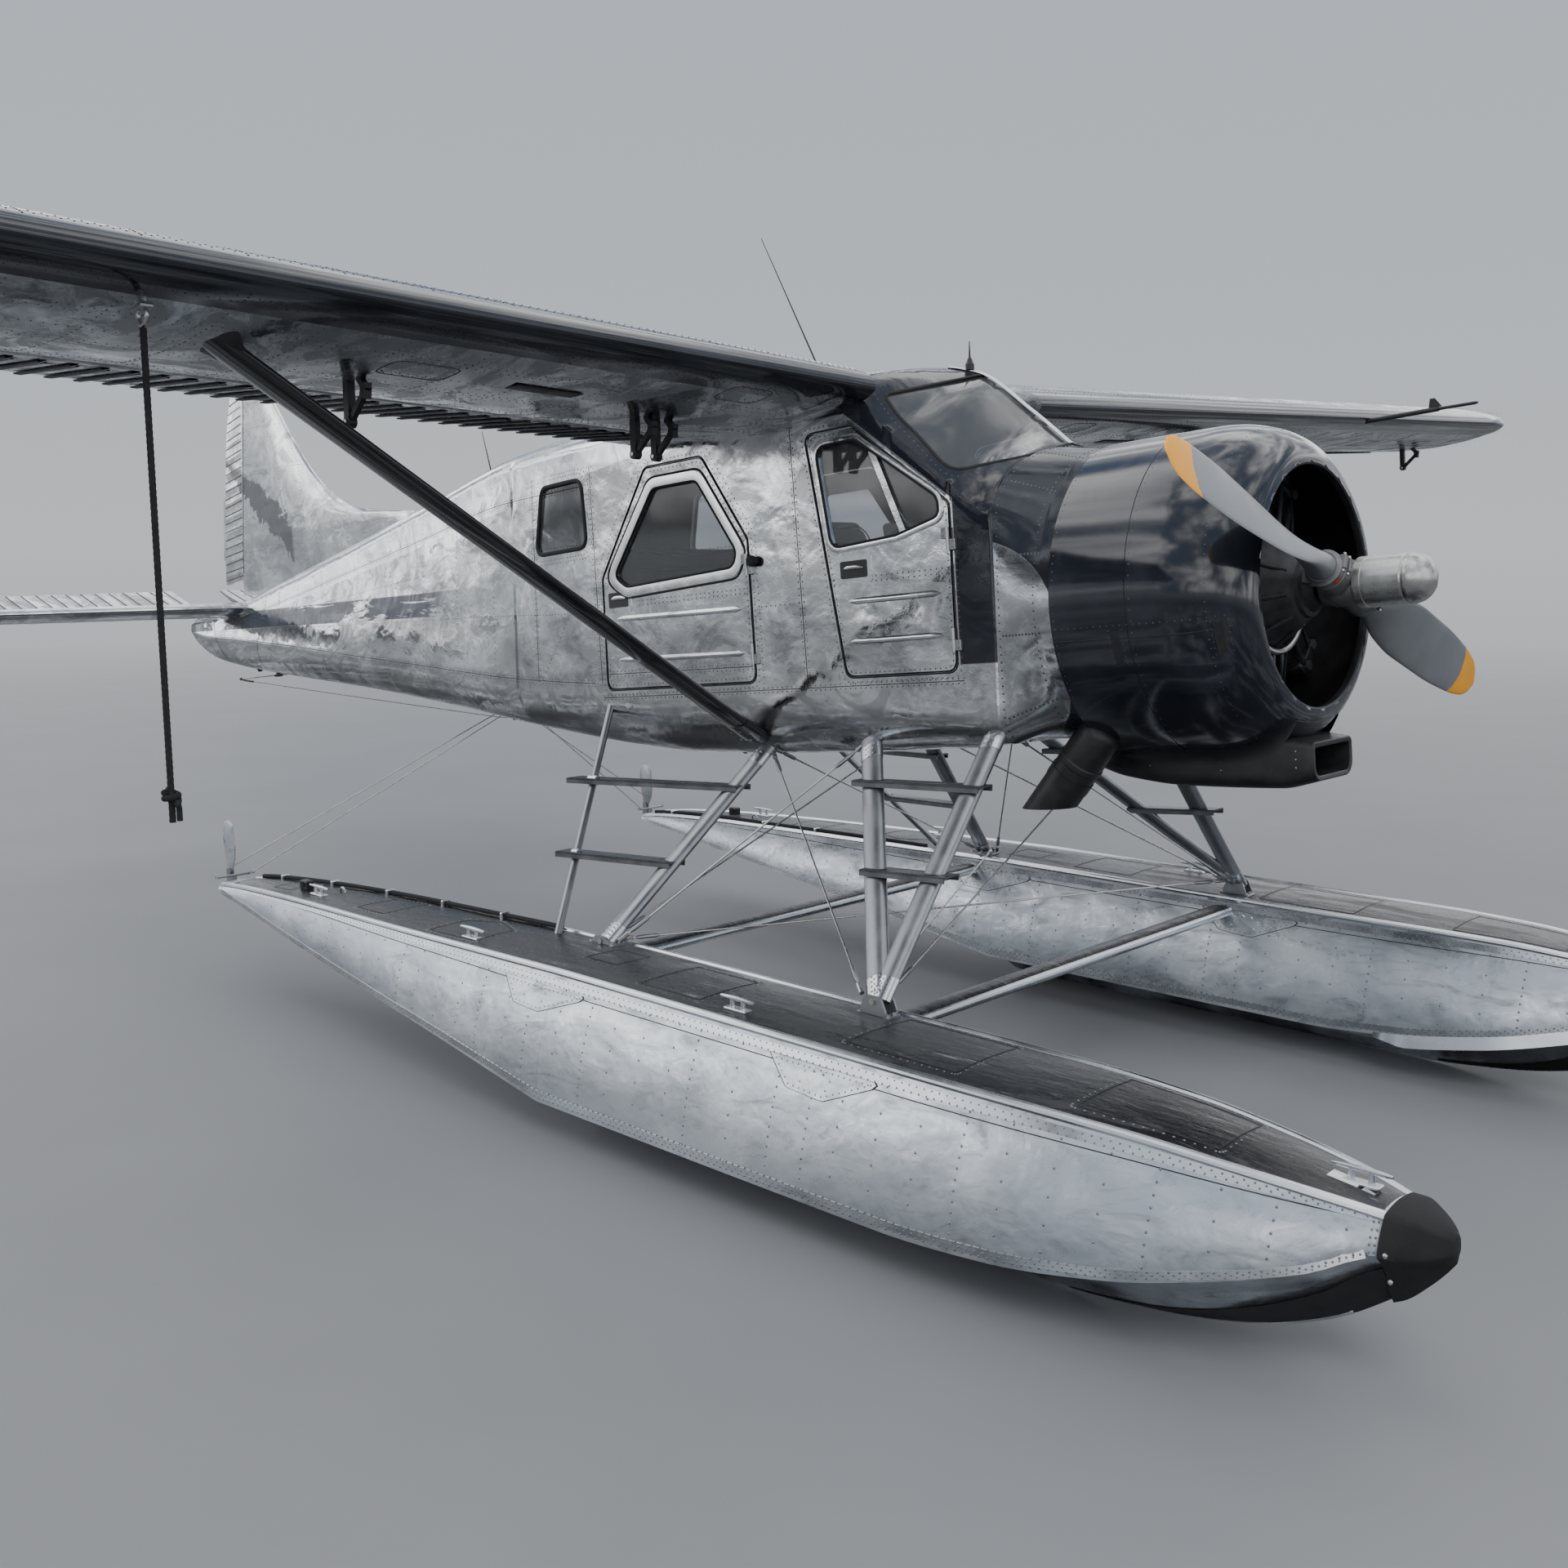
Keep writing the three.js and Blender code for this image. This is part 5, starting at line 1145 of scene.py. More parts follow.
def cabin_shell():
    shell = thick_skin(CABIN_XS, CABIN_WALL).raw("cabin_skin")
    source = uncut_normals(shell)
    cutters = [windshield_prism(0.0, WINDSHIELD_RADIUS)]
    for _, side in SIDES:
        for outline, radius in ((CREW_DOOR, DOOR_RADIUS), (CABIN_DOOR, DOOR_RADIUS), (REAR_WINDOW, 0.06)):
            cutters.append(side_prism(rounded(outline, radius), *reach_of(side)))
    carve(shell, cutters)
    settle(shell, "airframe", ["cabin_shell"], normals=source)


def door(name, outline, window, side, word):
    xs = [x for x, _ in outline]
    part = np.linspace(max(xs) + 0.02, min(xs) - 0.02, 48)
    panel = thick_skin(part, CABIN_WALL).raw(f"{name}_skin_{word}")
    source = uncut_normals(panel)
    carve(panel, [side_prism(rounded(inset(outline, PANEL_GAP), DOOR_RADIUS), *reach_of(side))], "INTERSECT")
    carve(panel, [side_prism(rounded(window, WINDOW_RADIUS), *reach_of(side))])
    settle(panel, f"{name}_body_{word}", [f"{name}_{word}"], normals=source)


GLASS_FRONT = -0.009
GLASS_THICK = 0.005
GLASS_GAP = 0.0005


def glass_sheet(name, xs, cutter, body, node):
    """A pane cut from a closed sheet that follows the skin, a little way in from it"""
    sheet = Build()
    depths = (GLASS_FRONT, GLASS_FRONT - GLASS_THICK)
    for depth in depths:
        sheet.grid(skin_rings(xs, depth), "glass", round_v=True)
    for end in (0, -1):
        rims = [skin_rings(xs[[end]], depth)[0] for depth in depths]
        sheet.grid(np.stack(rims), "glass", round_v=True)
    sheet = sheet.raw(name)
    source = uncut_normals(sheet)
    carve(sheet, [cutter], "INTERSECT")
    settle(sheet, body, [node], normals=source)


def pane(name, outline, side, body, node, radius=WINDOW_RADIUS):
    xs = [x for x, _ in outline]
    part = np.linspace(max(xs) + 0.02, min(xs) - 0.02, 40)
    cutter = side_prism(rounded(inset(outline, GLASS_GAP), radius), *reach_of(side))
    glass_sheet(name, part, cutter, body, node)


def windshield_glass():
    part = np.linspace(FIREWALL_X - 0.01, -1.9, 60)
    glass_sheet("windshield_glass", part, windshield_prism(GLASS_GAP, WINDSHIELD_RADIUS), "airframe",
                "windshield")


def rear_fuselage():
    xs = np.concatenate([np.linspace(CABIN_END_X, -8.4, 90), np.linspace(-8.44, TAIL_END_X, 16)])
    skin = Build()
    skin.grid(skin_rings(xs), "fuselage", round_v=True, caps=True)
    skin.make("rear_fuselage_skin", "airframe", "bare_metal", ["rear_fuselage"])


cabin_shell()
rear_fuselage()
for word, side in SIDES:
    door("crew_door", CREW_DOOR, CREW_WINDOW, side, word)
    door("cabin_door", CABIN_DOOR, CABIN_WINDOW, side, word)
    pane(f"crew_door_pane_{word}", CREW_WINDOW, side, f"crew_door_body_{word}", f"crew_door_glass_{word}")
    pane(f"cabin_door_pane_{word}", CABIN_WINDOW, side, f"cabin_door_body_{word}", f"cabin_door_glass_{word}")
    pane(f"rear_pane_{word}", REAR_WINDOW, side, "airframe", f"rear_window_{word}", 0.06)
windshield_glass()
for word, side in SIDES:
    cabin_door_trim(word, side)
    crew_door_trim(word, side)
cabin_lines()
windshield_trim()
body_rivets()


# Nose: the panels between the firewall and the ring cowl
RING_REAR_X = -0.850
RING_FRONT_X = -0.100
RING_RADIUS = 0.623
OPENING_RADIUS = 0.449
LIP_REACH = 0.320
NOSE_RING_RADIUS = 0.6087
NOSE_RING_X = -0.900


def nose_rows(grow=0.0):
    base = skin_rings([FIREWALL_X + 0.0005], grow)[0]
    angle = np.arctan2(base[:, 2], base[:, 1])
    radius = NOSE_RING_RADIUS + grow
    rows = []
    for x in np.linspace(FIREWALL_X + 0.0005, NOSE_RING_X, 15):
        t = (x - FIREWALL_X) / (NOSE_RING_X - FIREWALL_X)
        flat = between(base[:, 1:], radius * np.stack([np.cos(angle), np.sin(angle)], -1), t)
        rows.append(np.column_stack([np.full(len(flat), x), flat]))
    ring = rows[-1].copy()
    ring[:, 0] = -0.81
    return np.array(rows + [ring])


NOSE_SCREWS = [
    # places round the nose, in degrees from port over the top, at which rows of screws run fore and aft
    -38, -12, 12, 40, 66, 90, 114, 140, 168, 192, 218,
]


def nose_spots(rows, angle):
    """Spots along the nose panels at one angle about the thrust line"""
    at = math.radians(angle)
    spots, normals = [], []
    for row in rows[2:-2]:
        reach = unit(row[:, 1:] - (0, 0.05))
        index = int(np.argmax(reach @ np.array((math.cos(at), math.sin(at)))))
        spots.append(row[index])
        normals.append((0, *reach[index]))
    return np.array(spots), np.array(normals)


def nose_cowl():
    nose = Build()
    nose.grid(nose_rows(), "nose", round_v=True)
    nose.grid(nose_rows(-0.014), "black", round_v=True)
    rows = nose_rows()
    for row in (1, 12):
        ring = rows[row]
        ring = np.vstack([ring, ring[:1]])
        lengths = np.concatenate([[0], np.cumsum(np.linalg.norm(np.diff(ring, axis=0), axis=1))])
        steps = np.arange(0, lengths[-1], 0.030)
        spots = np.stack([np.interp(steps, lengths, ring[:, k]) for k in range(3)], -1)
        nose.rivets(spots, (spots - (0, 0, 0.05)) * (0, 1, 1), "rivet", 0.005)
    for place in NOSE_SCREWS:
        spots, normals = nose_spots(rows, place)
        nose.rivets(spots, normals, "rivet", 0.006)
    nose.make("nose_panels", "airframe", "bare_metal", ["nose_cowl"])


def cowl_profile(grow=0.0):
    turn = np.linspace(0, math.pi / 2, 26)
    x = RING_FRONT_X - LIP_REACH + (LIP_REACH + grow) * np.cos(turn)
    r = OPENING_RADIUS + (RING_RADIUS + grow - OPENING_RADIUS) * np.sin(turn)
    return list(zip(x, r))


COWL_SEAMS = (-0.530,)
SEAM_DEPTH = 0.0025


def groove(x, radius):
    return [(x + 0.003, radius), (x + 0.0015, radius - SEAM_DEPTH), (x - 0.0015, radius - SEAM_DEPTH),
            (x - 0.003, radius)]


def around(x, radius, count, start=0.0, end=TURN):
    turn = np.linspace(start, end, count, endpoint=abs(end - start - TURN) > 1e-6)
    ring = np.stack([np.zeros_like(turn), np.cos(turn), np.sin(turn)], -1)
    return ring * radius + (x, 0, 0), ring


COWL_SPLITS = [math.radians(a) for a in (-8.5, 90, 188.5)]


def engine_cowl():
    cowl = Build()
    outer = cowl_profile()[:-1]
    for seam in COWL_SEAMS:
        outer += groove(seam, RING_RADIUS)
    outer += [(-0.78, RING_RADIUS), (RING_REAR_X, RING_RADIUS), (RING_REAR_X, RING_RADIUS - 0.003)]
    cowl.lathe(outer, "cowl", 120)
    turn = np.linspace(0, math.pi / 2, 14)
    inner = [(RING_FRONT_X, OPENING_RADIUS), (-0.104, 0.4425), (-0.116, 0.4400), (-0.130, 0.4430)]
    inner += list(zip(-0.42 + 0.29 * np.cos(turn), 0.445 + 0.160 * np.sin(turn)))
    inner += [(RING_REAR_X, 0.609), (RING_REAR_X, RING_RADIUS - 0.003)]
    cowl.lathe(inner, "black", 96)
    for seam in COWL_SEAMS:
        cowl.rivets(*around(seam + 0.016, RING_RADIUS, 96), "rivet", 0.0042, 0.0018)
    cowl.rivets(*around(RING_REAR_X + 0.014, RING_RADIUS, 128), "rivet", 0.0042, 0.0018)
    turns = np.linspace(0, TURN, 112, endpoint=False)
    nose_row = on_cowl(-0.237, turns)
    cowl.rivets(nose_row, unit(nose_row * (0, 1, 1) + (0.2, 0, 0)), "rivet", 0.0042, 0.0018)
    spots, normals = around(-0.124, 0.497, 96)
    cowl.rivets(spots, normals + (1.2, 0, 0), "rivet", 0.0042, 0.0018)
    for angle in COWL_SPLITS:
        cowl_split(cowl, angle)
    cowl.make("ring_cowl", "airframe", "dark_paint", ["engine_cowl"])


LAP_DROP = math.radians(4.3)
COWL_LATCHES = (-0.199, -0.584)
LATCH_SPAN = [math.radians(a) for a in (1.6, 13.2)]


def on_cowl(x, angle, lift=0.0):
    """Points on the cowl ring by station and angle from the starboard or port side"""
    x, angle = np.broadcast_arrays(np.asarray(x, float), np.asarray(angle, float))
    stations, radii = np.array(cowl_profile()).T
    radius = np.interp(-x, -stations, radii, right=RING_RADIUS) + lift
    return np.stack([x, np.cos(angle) * radius, np.sin(angle) * radius], -1)


def cowl_split(cowl, angle):
    """Lengthwise seam: a row of rivets, the edge of the lap below it and upright latches across it, their
    slots drawn as dark strips of painted shade
    """
    down = -1 if math.cos(angle) > 0 else 1
    xs = np.linspace(-0.16, RING_REAR_X, 28)
    row = np.arange(RING_REAR_X + 0.02, -0.17, 0.027)
    out = unit(on_cowl(row, angle) * (0, 1, 1))
    cowl.rivets(on_cowl(row, angle), out, "rivet", 0.0042, 0.0018)
    if abs(angle - math.pi / 2) < 0.1:
        edges = [on_cowl(xs, angle + t, lift) for t, lift in ((-0.004, 0.0002), (0, 0.0008), (0.004, 0.0002))]
        cowl.grid(np.stack(edges), "seam")
        return
    lap = angle + down * LAP_DROP
    edges = [on_cowl(xs, lap + t, lift) for t, lift in ((-0.004, 0.0002), (0, 0.0010), (0.004, 0.0002))]
    cowl.grid(np.stack(edges), "seam")
    for x in COWL_LATCHES:
        # painted shade: each latch is a dark rim and a black strip laid on the cowl, standing for the shade
        # in its slot
        for half, short, lift, material in ((0.017, 0.0, 0.0016, "seam"), (0.012, 0.01, 0.0026, "black")):
            turns = np.linspace(LATCH_SPAN[0] + short, LATCH_SPAN[1] - short, 10)
            section = ((-1, -0.001), (-0.92, lift), (0.92, lift), (1, -0.001))
            rims = [on_cowl(x + s * half, angle + down * turns, h) for s, h in section]
            cowl.grid(np.stack(rims), material)
        around_it = [(x + s * 0.027, t) for s in (-1, 1) for t in np.linspace(*LATCH_SPAN, 6)]
        spots = on_cowl([a for a, _ in around_it], angle + down * np.array([t for _, t in around_it]))
        cowl.rivets(spots, unit(spots * (0, 1, 1)), "rivet", 0.0036, 0.0016)


SCOOP = [
    # x, half width, upper z, lower z
    [-1.080, 0.120, -0.500, -0.625],
    [-0.850, 0.170, -0.500, -0.690],
    [-0.570, 0.190, -0.500, -0.722],
    [-0.200, 0.185, -0.540, -0.730],
    [-0.070, 0.165, -0.560, -0.705],
]


def soft_rectangle(half, top, bottom, corner, steps=6):
    """Points of a rectangle with round corners, lower ones rounder"""
    points = []
    for y, z, start, radius in ((half, bottom, -90, corner), (half, top, 0, corner * 0.4),
                                (-half, top, 90, corner * 0.4), (-half, bottom, 180, corner)):
        cy = y - math.copysign(radius, y)
        cz = z + radius if z == bottom else z - radius
        for turn in np.radians(np.linspace(start, start + 90, steps + 1)):
            points.append((cy + radius * math.cos(turn), cz + radius * math.sin(turn)))
    return np.array(points)


def scoop_fillets(scoop):
    """Hollow fillets between the scoop's sides and the round cowl"""
    for side in (-1, 1):
        rows = []
        for x, half, _, _ in smooth_rows(SCOOP, np.linspace(-0.845, -0.120, 28)):
            grow = min(1, (x + 0.86) / 0.12, (-0.105 - x) / 0.08)
            turn = math.acos(np.clip((x - RING_FRONT_X + LIP_REACH) / LIP_REACH, 0, 1))
            radius = OPENING_RADIUS + (RING_RADIUS - OPENING_RADIUS) * math.sin(turn)
            meet = -math.sqrt(radius**2 - half**2)
            out = half + 0.060 * grow
            edge = (out, -math.sqrt(radius**2 - out**2) - 0.0005)
            ends = (half + 0.0005, meet - 0.045 * grow), (half, meet), edge
            row = []
            for t in np.linspace(0, 1, 9):
                weights = ((1 - t) ** 2, 2 * t * (1 - t), t * t)
                y, z = (sum(w * e[k] for w, e in zip(weights, ends)) for k in (0, 1))
                row.append((x, side * y, z))
            rows.append(row)
        scoop.grid(rows, "black")


def cowl_scoop():
    scoop = Build()
    xs = np.linspace(-1.08, -0.07, 34)
    rows = []
    for x, half, top, bottom in smooth_rows(SCOOP, xs):
        flat = soft_rectangle(half, top, bottom, 0.055)
        rows.append(np.column_stack([np.full(len(flat), x), flat]))
    for x, inset_by, corner in ((-0.066, 0.004, 0.052), (-0.066, 0.014, 0.042), (-0.070, 0.020, 0.036)):
        flat = soft_rectangle(0.165 - inset_by, -0.560 - inset_by, -0.705 + inset_by, corner)
        rows.append(np.column_stack([np.full(len(flat), x), flat]))
    flat = soft_rectangle(0.140, -0.582, -0.684, 0.03)
    rows.append(np.column_stack([np.full(len(flat), -0.25), flat]))
    scoop.grid(np.array(rows), "black", round_v=True)
    # painted shade: a black disc closes the intake a little way in, for its dark inside
    scoop.add(rows[-1], [list(range(len(flat)))], "rubber")
    scoop_fillets(scoop)
    for y in (-0.07, 0.0, 0.07):
        scoop.tube([(-0.20, y, -0.685), (-0.20, y, -0.58)], 0.004, "steel", 8)
    for x in (-0.13, -0.42, -0.72):
        for side in (-1, 1):
            row = smooth_rows(SCOOP, [x])[0]
            spots = [(x, side * row[1], z) for z in np.arange(row[3] + 0.07, -0.56, 0.03)]
            scoop.rivets(spots, [(0, side, 0)] * len(spots), "steel", 0.004)
    scoop.make("chin_scoop", "airframe", "black_paint", ["cowl_scoop"])


EXHAUST_START = np.array((-0.840, -0.330, -0.500))
EXHAUST_END = np.array((-1.100, -0.335, -0.800))
EXHAUST_RADIUS = 0.088
EXHAUST_LEVEL = -0.790
EXHAUST_CLAMP = (0.20, 0.25)


def exhaust_ring(t, radius, level=False):
    run = unit(EXHAUST_END - EXHAUST_START)
    first = unit(np.cross(run, (0, 1, 0)))
    second = np.cross(run, first)
    turn = np.linspace(0, TURN, 32, endpoint=False)[:, None]
    ring = EXHAUST_START + run * t + radius * (np.cos(turn) * first + np.sin(turn) * second)
    if level:
        ring = ring + run * ((EXHAUST_LEVEL - ring[:, 2]) / run[2])[:, None]
    return ring


def exhaust_pipe():
    pipe = Build()
    rows = [exhaust_ring(-0.055 * math.cos(t), EXHAUST_RADIUS * math.sin(t))
            for t in np.linspace(0.25, math.pi / 2, 8)]
    rows += [exhaust_ring(0.1, EXHAUST_RADIUS), exhaust_ring(0.13, EXHAUST_RADIUS)]
    rows += [exhaust_ring(0.135, EXHAUST_RADIUS + 0.004), exhaust_ring(0.155, EXHAUST_RADIUS + 0.004)]
    rows += [exhaust_ring(0.16, EXHAUST_RADIUS), exhaust_ring(0, EXHAUST_RADIUS, True)]
    rows += [exhaust_ring(0, EXHAUST_RADIUS - 0.004, True), exhaust_ring(0.12, EXHAUST_RADIUS - 0.004)]
    pipe.grid(np.array(rows), "black", round_v=True)
    # painted shade: a black disc closes the bore a little way in, for the dark inside of the pipe
    pipe.add(rows[-1], [list(range(32))], "rubber")
    low, high = EXHAUST_CLAMP
    band = [exhaust_ring(low, EXHAUST_RADIUS), exhaust_ring(low, EXHAUST_RADIUS + 0.003),
            exhaust_ring(high, EXHAUST_RADIUS + 0.003), exhaust_ring(high, EXHAUST_RADIUS)]
    pipe.grid(np.array(band), "black", round_v=True)
    pipe.make("exhaust", "airframe", "black_paint", ["exhaust_pipe"])


# Engine: nine finned cylinders round a cast case
CYLINDERS = 9
ENGINE_X = -0.430
CYLINDER_FOOT = 0.225


def engine_case():
    case = Build()
    profile = [(-0.0705, 0.0), (-0.0705, 0.044), (-0.082, 0.045), (-0.083, 0.078), (-0.118, 0.092),
               (-0.124, 0.110), (-0.140, 0.114), (-0.150, 0.126), (-0.172, 0.146), (-0.205, 0.160),
               (-0.235, 0.184), (-0.262, 0.204), (-0.283, 0.214), (-0.290, 0.240), (-0.302, 0.246),
               (-0.330, 0.252), (-0.530, 0.262), (-0.545, 0.300)]
    case.lathe(profile, "engine", 72)
    baffle = [(-0.545, 0.290), (-0.546, 0.300), (-0.552, 0.545), (-0.560, 0.566), (-0.645, 0.566),
              (-0.668, 0.562), (-0.705, 0.395), (-1.090, 0.385), (-1.092, 0.0)]
    case.lathe(baffle, "black", 72)
    for k in range(18):
        angle = TURN * (k + 0.5) / 18
        out = np.array((0, math.cos(angle), math.sin(angle)))
        case.lathe([(0, 0.0), (0, 0.008), (0.010, 0.008), (0.012, 0.0)], "steel", 6,
                   (-0.290, *(out * 0.228)[1:]))
        if k % 2:
            low, high = np.array((-0.160, 0, 0)) + out * 0.134, np.array((-0.265, 0, 0)) + out * 0.207
            case.tube([low, high], 0.009, "engine", 8)
    turn = np.linspace(0, TURN, 61)[:-1]
    ring = np.stack([np.full(60, -0.262), 0.232 * np.cos(turn), 0.232 * np.sin(turn)], -1)
    hoop_ring(case, ring, 0.013, "steel")
    return case


def hoop_ring(build, ring, radius, material):
    """A closed round tube along a ring of points about the thrust line"""
    tangents = unit(np.roll(ring, -1, 0) - np.roll(ring, 1, 0))
    side = np.cross(tangents, (1.0, 0, 0))
    turn = np.linspace(0, TURN, 10, endpoint=False)[None, :, None]
    rows = ring[:, None] + radius * (np.cos(turn) * side[:, None] + np.sin(turn) * np.array((1.0, 0, 0)))
    build.grid(rows, material, round_u=True, round_v=True)


def cylinder(build, turn):
    """Finned barrel, rocker boxes, pushrods, plug and its lead"""
    barrel = [(0.0, 0.080), (0.010, 0.080), (0.014, 0.072)]
    for k in range(17):
        reach = 0.022 + k * 0.0135
        grow = 0.090 if k < 9 else 0.096
        barrel += [(reach, 0.074), (reach + 0.002, grow), (reach + 0.0048, grow), (reach + 0.0068, 0.074)]
    barrel += [(0.258, 0.078), (0.268, 0.090), (0.300, 0.091), (0.318, 0.084), (0.332, 0.062), (0.340, 0.0)]
    barrel = [(h + CYLINDER_FOOT, r) for h, r in barrel]
    axis = spin([(0, 0, 1.0)], turn)[0]
    build.lathe(barrel, "engine", 28, (ENGINE_X, 0, 0), axis)
    basis = spin(np.eye(3), turn).T

    def put(point):
        return spin([point], turn)[0]

    for sign in (-1, 1):
        box_at = put((ENGINE_X + 0.048, sign * 0.046, 0.523))
        build.box((-0.034, -0.024, -0.040), (0.026, 0.024, 0.030), "cast", 0.010, basis, box_at)
        build.tube([put((ENGINE_X + 0.072, sign * 0.046, 0.520)),
                    put((ENGINE_X + 0.090, sign * 0.046, 0.520))], 0.020, "cast", 12)
        build.tube([put((-0.300, sign * 0.036, 0.205)), put((-0.362, sign * 0.045, 0.505))], 0.0105,
                   "strut", 12)
        build.tube([put((-0.358, sign * 0.0445, 0.486)), put((-0.363, sign * 0.045, 0.512))], 0.015,
                   "rubber", 12)
    plug = put((ENGINE_X + 0.080, 0.0, 0.475))
    build.tube([put((ENGINE_X + 0.050, 0.0, 0.470)), plug], 0.010, "steel", 8)
    lead = [plug, put((-0.325, 0.004, 0.44)), put((-0.300, 0.012, 0.36)), put((-0.268, 0.008, 0.245))]
    build.tube(curve(lead, 10), 0.0055, "rubber", 8)


def curve(points, count):
    """A smooth path through points"""
    points = np.array(points, float)
    steps = np.linspace(0, len(points) - 1, count * (len(points) - 1) + 1)
    table = np.column_stack([np.arange(len(points)), points])
    padded = np.vstack([2 * points[0] - points[1], points, 2 * points[-1] - points[-2]])
    made = []
    for step in steps:
        k = min(int(step), len(table) - 2)
        t = step - k
        a, b, c, d = padded[k:k + 4]
        cubic = 3 * b - a - 3 * c + d
        made.append(0.5 * (2 * b + (c - a) * t + (2 * a - 5 * b + 4 * c - d) * t * t + cubic * t ** 3))
    return np.array(made)


def engine():
    build = engine_case()
    for k in range(CYLINDERS):
        cylinder(build, TURN * k / CYLINDERS)
    build.make("radial_engine", "airframe", "engine_metal", ["engine"])


# Propeller, turning about the thrust line, with two blades
BLADE_ANGLE = math.radians(70.5)
SOCKET_REACH = 0.190
BLADE = [
    # radius, half chord, half thickness, pitch in degrees from the disc
    [0.1903, 0.052, 0.050, 60],
    [0.300, 0.066, 0.036, 52],
    [0.430, 0.096, 0.022, 42],
    [0.600, 0.112, 0.015, 33],
    [0.850, 0.112, 0.011, 25],
    [1.080, 0.100, 0.008, 20],
    [1.210, 0.080, 0.006, 17],
    [1.270, 0.052, 0.005, 16],
    [1.295, 0.016, 0.004, 16],
]
TIP_START = 1.135


def blade_rings(radii):
    rings = []
    for radius, half, thick, pitch in smooth_rows(BLADE, radii):
        angle = math.radians(pitch)
        turn = np.linspace(0, TURN, 28, endpoint=False)
        chord = half * np.cos(turn)
        share = min(1, max(0, (radius - 0.3) / 0.2))
        through = thick * np.sin(turn) * (1 + 0.25 * share * np.cos(turn))
        rings.append(np.stack([-chord * math.sin(angle) - through * math.cos(angle),
                               chord * math.cos(angle) - through * math.sin(angle),
                               np.full_like(turn, radius)], -1))
    return np.array(rings)


def spin(points, turn):
    c, s = math.cos(turn), math.sin(turn)
    return np.asarray(points, float) @ np.array(((1, 0, 0), (0, c, s), (0, -s, c)))


def propeller_blade(number, turn):
    blade = Build()
    rings = spin(blade_rings(np.concatenate([np.linspace(SOCKET_REACH + 0.0003, 1.0, 34),
                                             np.linspace(1.008, 1.295, 60)])), turn)
    faces = grid_faces(len(rings), 28, False, True)
    flat = rings.reshape(-1, 3)
    reach = np.linalg.norm(flat[:, 1:], axis=1)
    lead = np.tile(np.cos(np.linspace(0, TURN, 28, endpoint=False)), len(rings))
    painted = (reach - TIP_START + 0.030 * lead ** 2)[faces].mean(axis=1) > 0
    blade.add(flat, faces[~painted], "blade")
    blade.add(flat, faces[painted], "tip")
    for end, material in ((0, "blade"), (-1, "tip")):
        blade.add(rings[end], [list(range(28))], material)
    blade.make(f"propeller_blade_{number}", "propeller", "blade_paint", [f"blade_{number}"], angle=50)


HUB_PROFILE = [(-0.070, 0.0), (-0.070, 0.070), (-0.066, 0.075), (-0.034, 0.080), (-0.030, 0.082),
               (0.054, 0.082), (0.060, 0.080), (0.062, 0.089), (0.066, 0.092), (0.092, 0.092),
               (0.095, 0.088), (0.099, 0.088), (0.102, 0.092), (0.232, 0.092), (0.236, 0.089),
               (0.240, 0.089), (0.244, 0.091), (0.262, 0.0895), (0.285, 0.082), (0.303, 0.069),
               (0.316, 0.052), (0.324, 0.034), (0.328, 0.016), (0.329, 0.0)]


def propeller_hub():
    hub = Build()
    split = 6
    hub.lathe(HUB_PROFILE[:split + 1], "cast", 40)
    hub.lathe(HUB_PROFILE[split:], "steel", 48)
    for turn in (BLADE_ANGLE, BLADE_ANGLE + math.pi):
        socket(hub, turn)
    for angle in np.radians(np.arange(0, 360, 45)):
        at = np.array((0.064, 0.084 * math.cos(angle), 0.084 * math.sin(angle)))
        hub.lathe([(0, 0.0), (0, 0.007), (0.009, 0.007), (0.010, 0.0)], "steel", 6, at)
    hub.make("hub", "propeller", "hub_steel", ["propeller_hub"])


def socket(hub, turn):
    """The split clamp that holds a blade's root"""
    axis = spin([(0, 0, 1.0)], turn)[0]
    profile = [(0.0, 0.062), (0.062, 0.062), (0.075, 0.066), (0.110, 0.066), (0.113, 0.068), (0.138, 0.068),
               (0.141, 0.065), (0.150, 0.065), (0.153, 0.068), (0.178, 0.068), (0.181, 0.062), (0.186, 0.058),
               (0.190, 0.056), (0.190, 0.0)]
    hub.lathe(profile, "cast", 36, (0, 0, 0), axis)
    for reach in (0.125, 0.165):
        for sign in (-1, 1):
            lug = np.array([(sign * 0.066, sign * 0.020, reach)])
            at = spin(lug, turn)[0]
            basis = spin(np.eye(3), turn).T
            hub.box((-0.012, -0.026, -0.011), (0.012, 0.026, 0.011), "cast", 0.003, basis, at)
            across = spin([(0, 1.0, 0)], turn)[0]
            bolt = [(-0.034, 0.0), (-0.034, 0.0075), (0.034, 0.0075), (0.034, 0.0)]
            hub.lathe(bolt, "steel", 6, at, across)
    hub.rivets(spin([(0.050, -0.050, 0.16)], turn), spin([(1.0, -1.0, 0)], turn), "red", 0.012, 0.003)


# Wings, each in its own frame: span station s, distance behind the leading edge, height
WING_LE_X = -1.635
WING_LE_Z = 0.907
CHORD = 1.588
DIHEDRAL = math.radians(2.45)
WING_ROOT = 0.585
FLAP_START = 0.700
FLAP_END = 3.720
AILERON_END = 6.930
HINGE_BEHIND = 0.68 * CHORD
HINGE_HEIGHT = 0.0334
HINGE_RADIUS = 0.0946
FIXED_DEPTH = 0.9732
UPPER_LIP = 1.045
LOWER_LIP = 0.998
AIRFOIL = [
    # chord fraction, upper and lower height as fractions of the chord
    [0.0, 0.0, 0.0],
    [0.0125, 0.025, -0.016],
    [0.05, 0.048, -0.031],
    [0.1, 0.067, -0.040],
    [0.2, 0.094, -0.054],
    [0.35, 0.115, -0.063],
    [0.5, 0.112, -0.058],
    [0.65, 0.088, -0.042],
    [1.0, 0.002, -0.002],
]
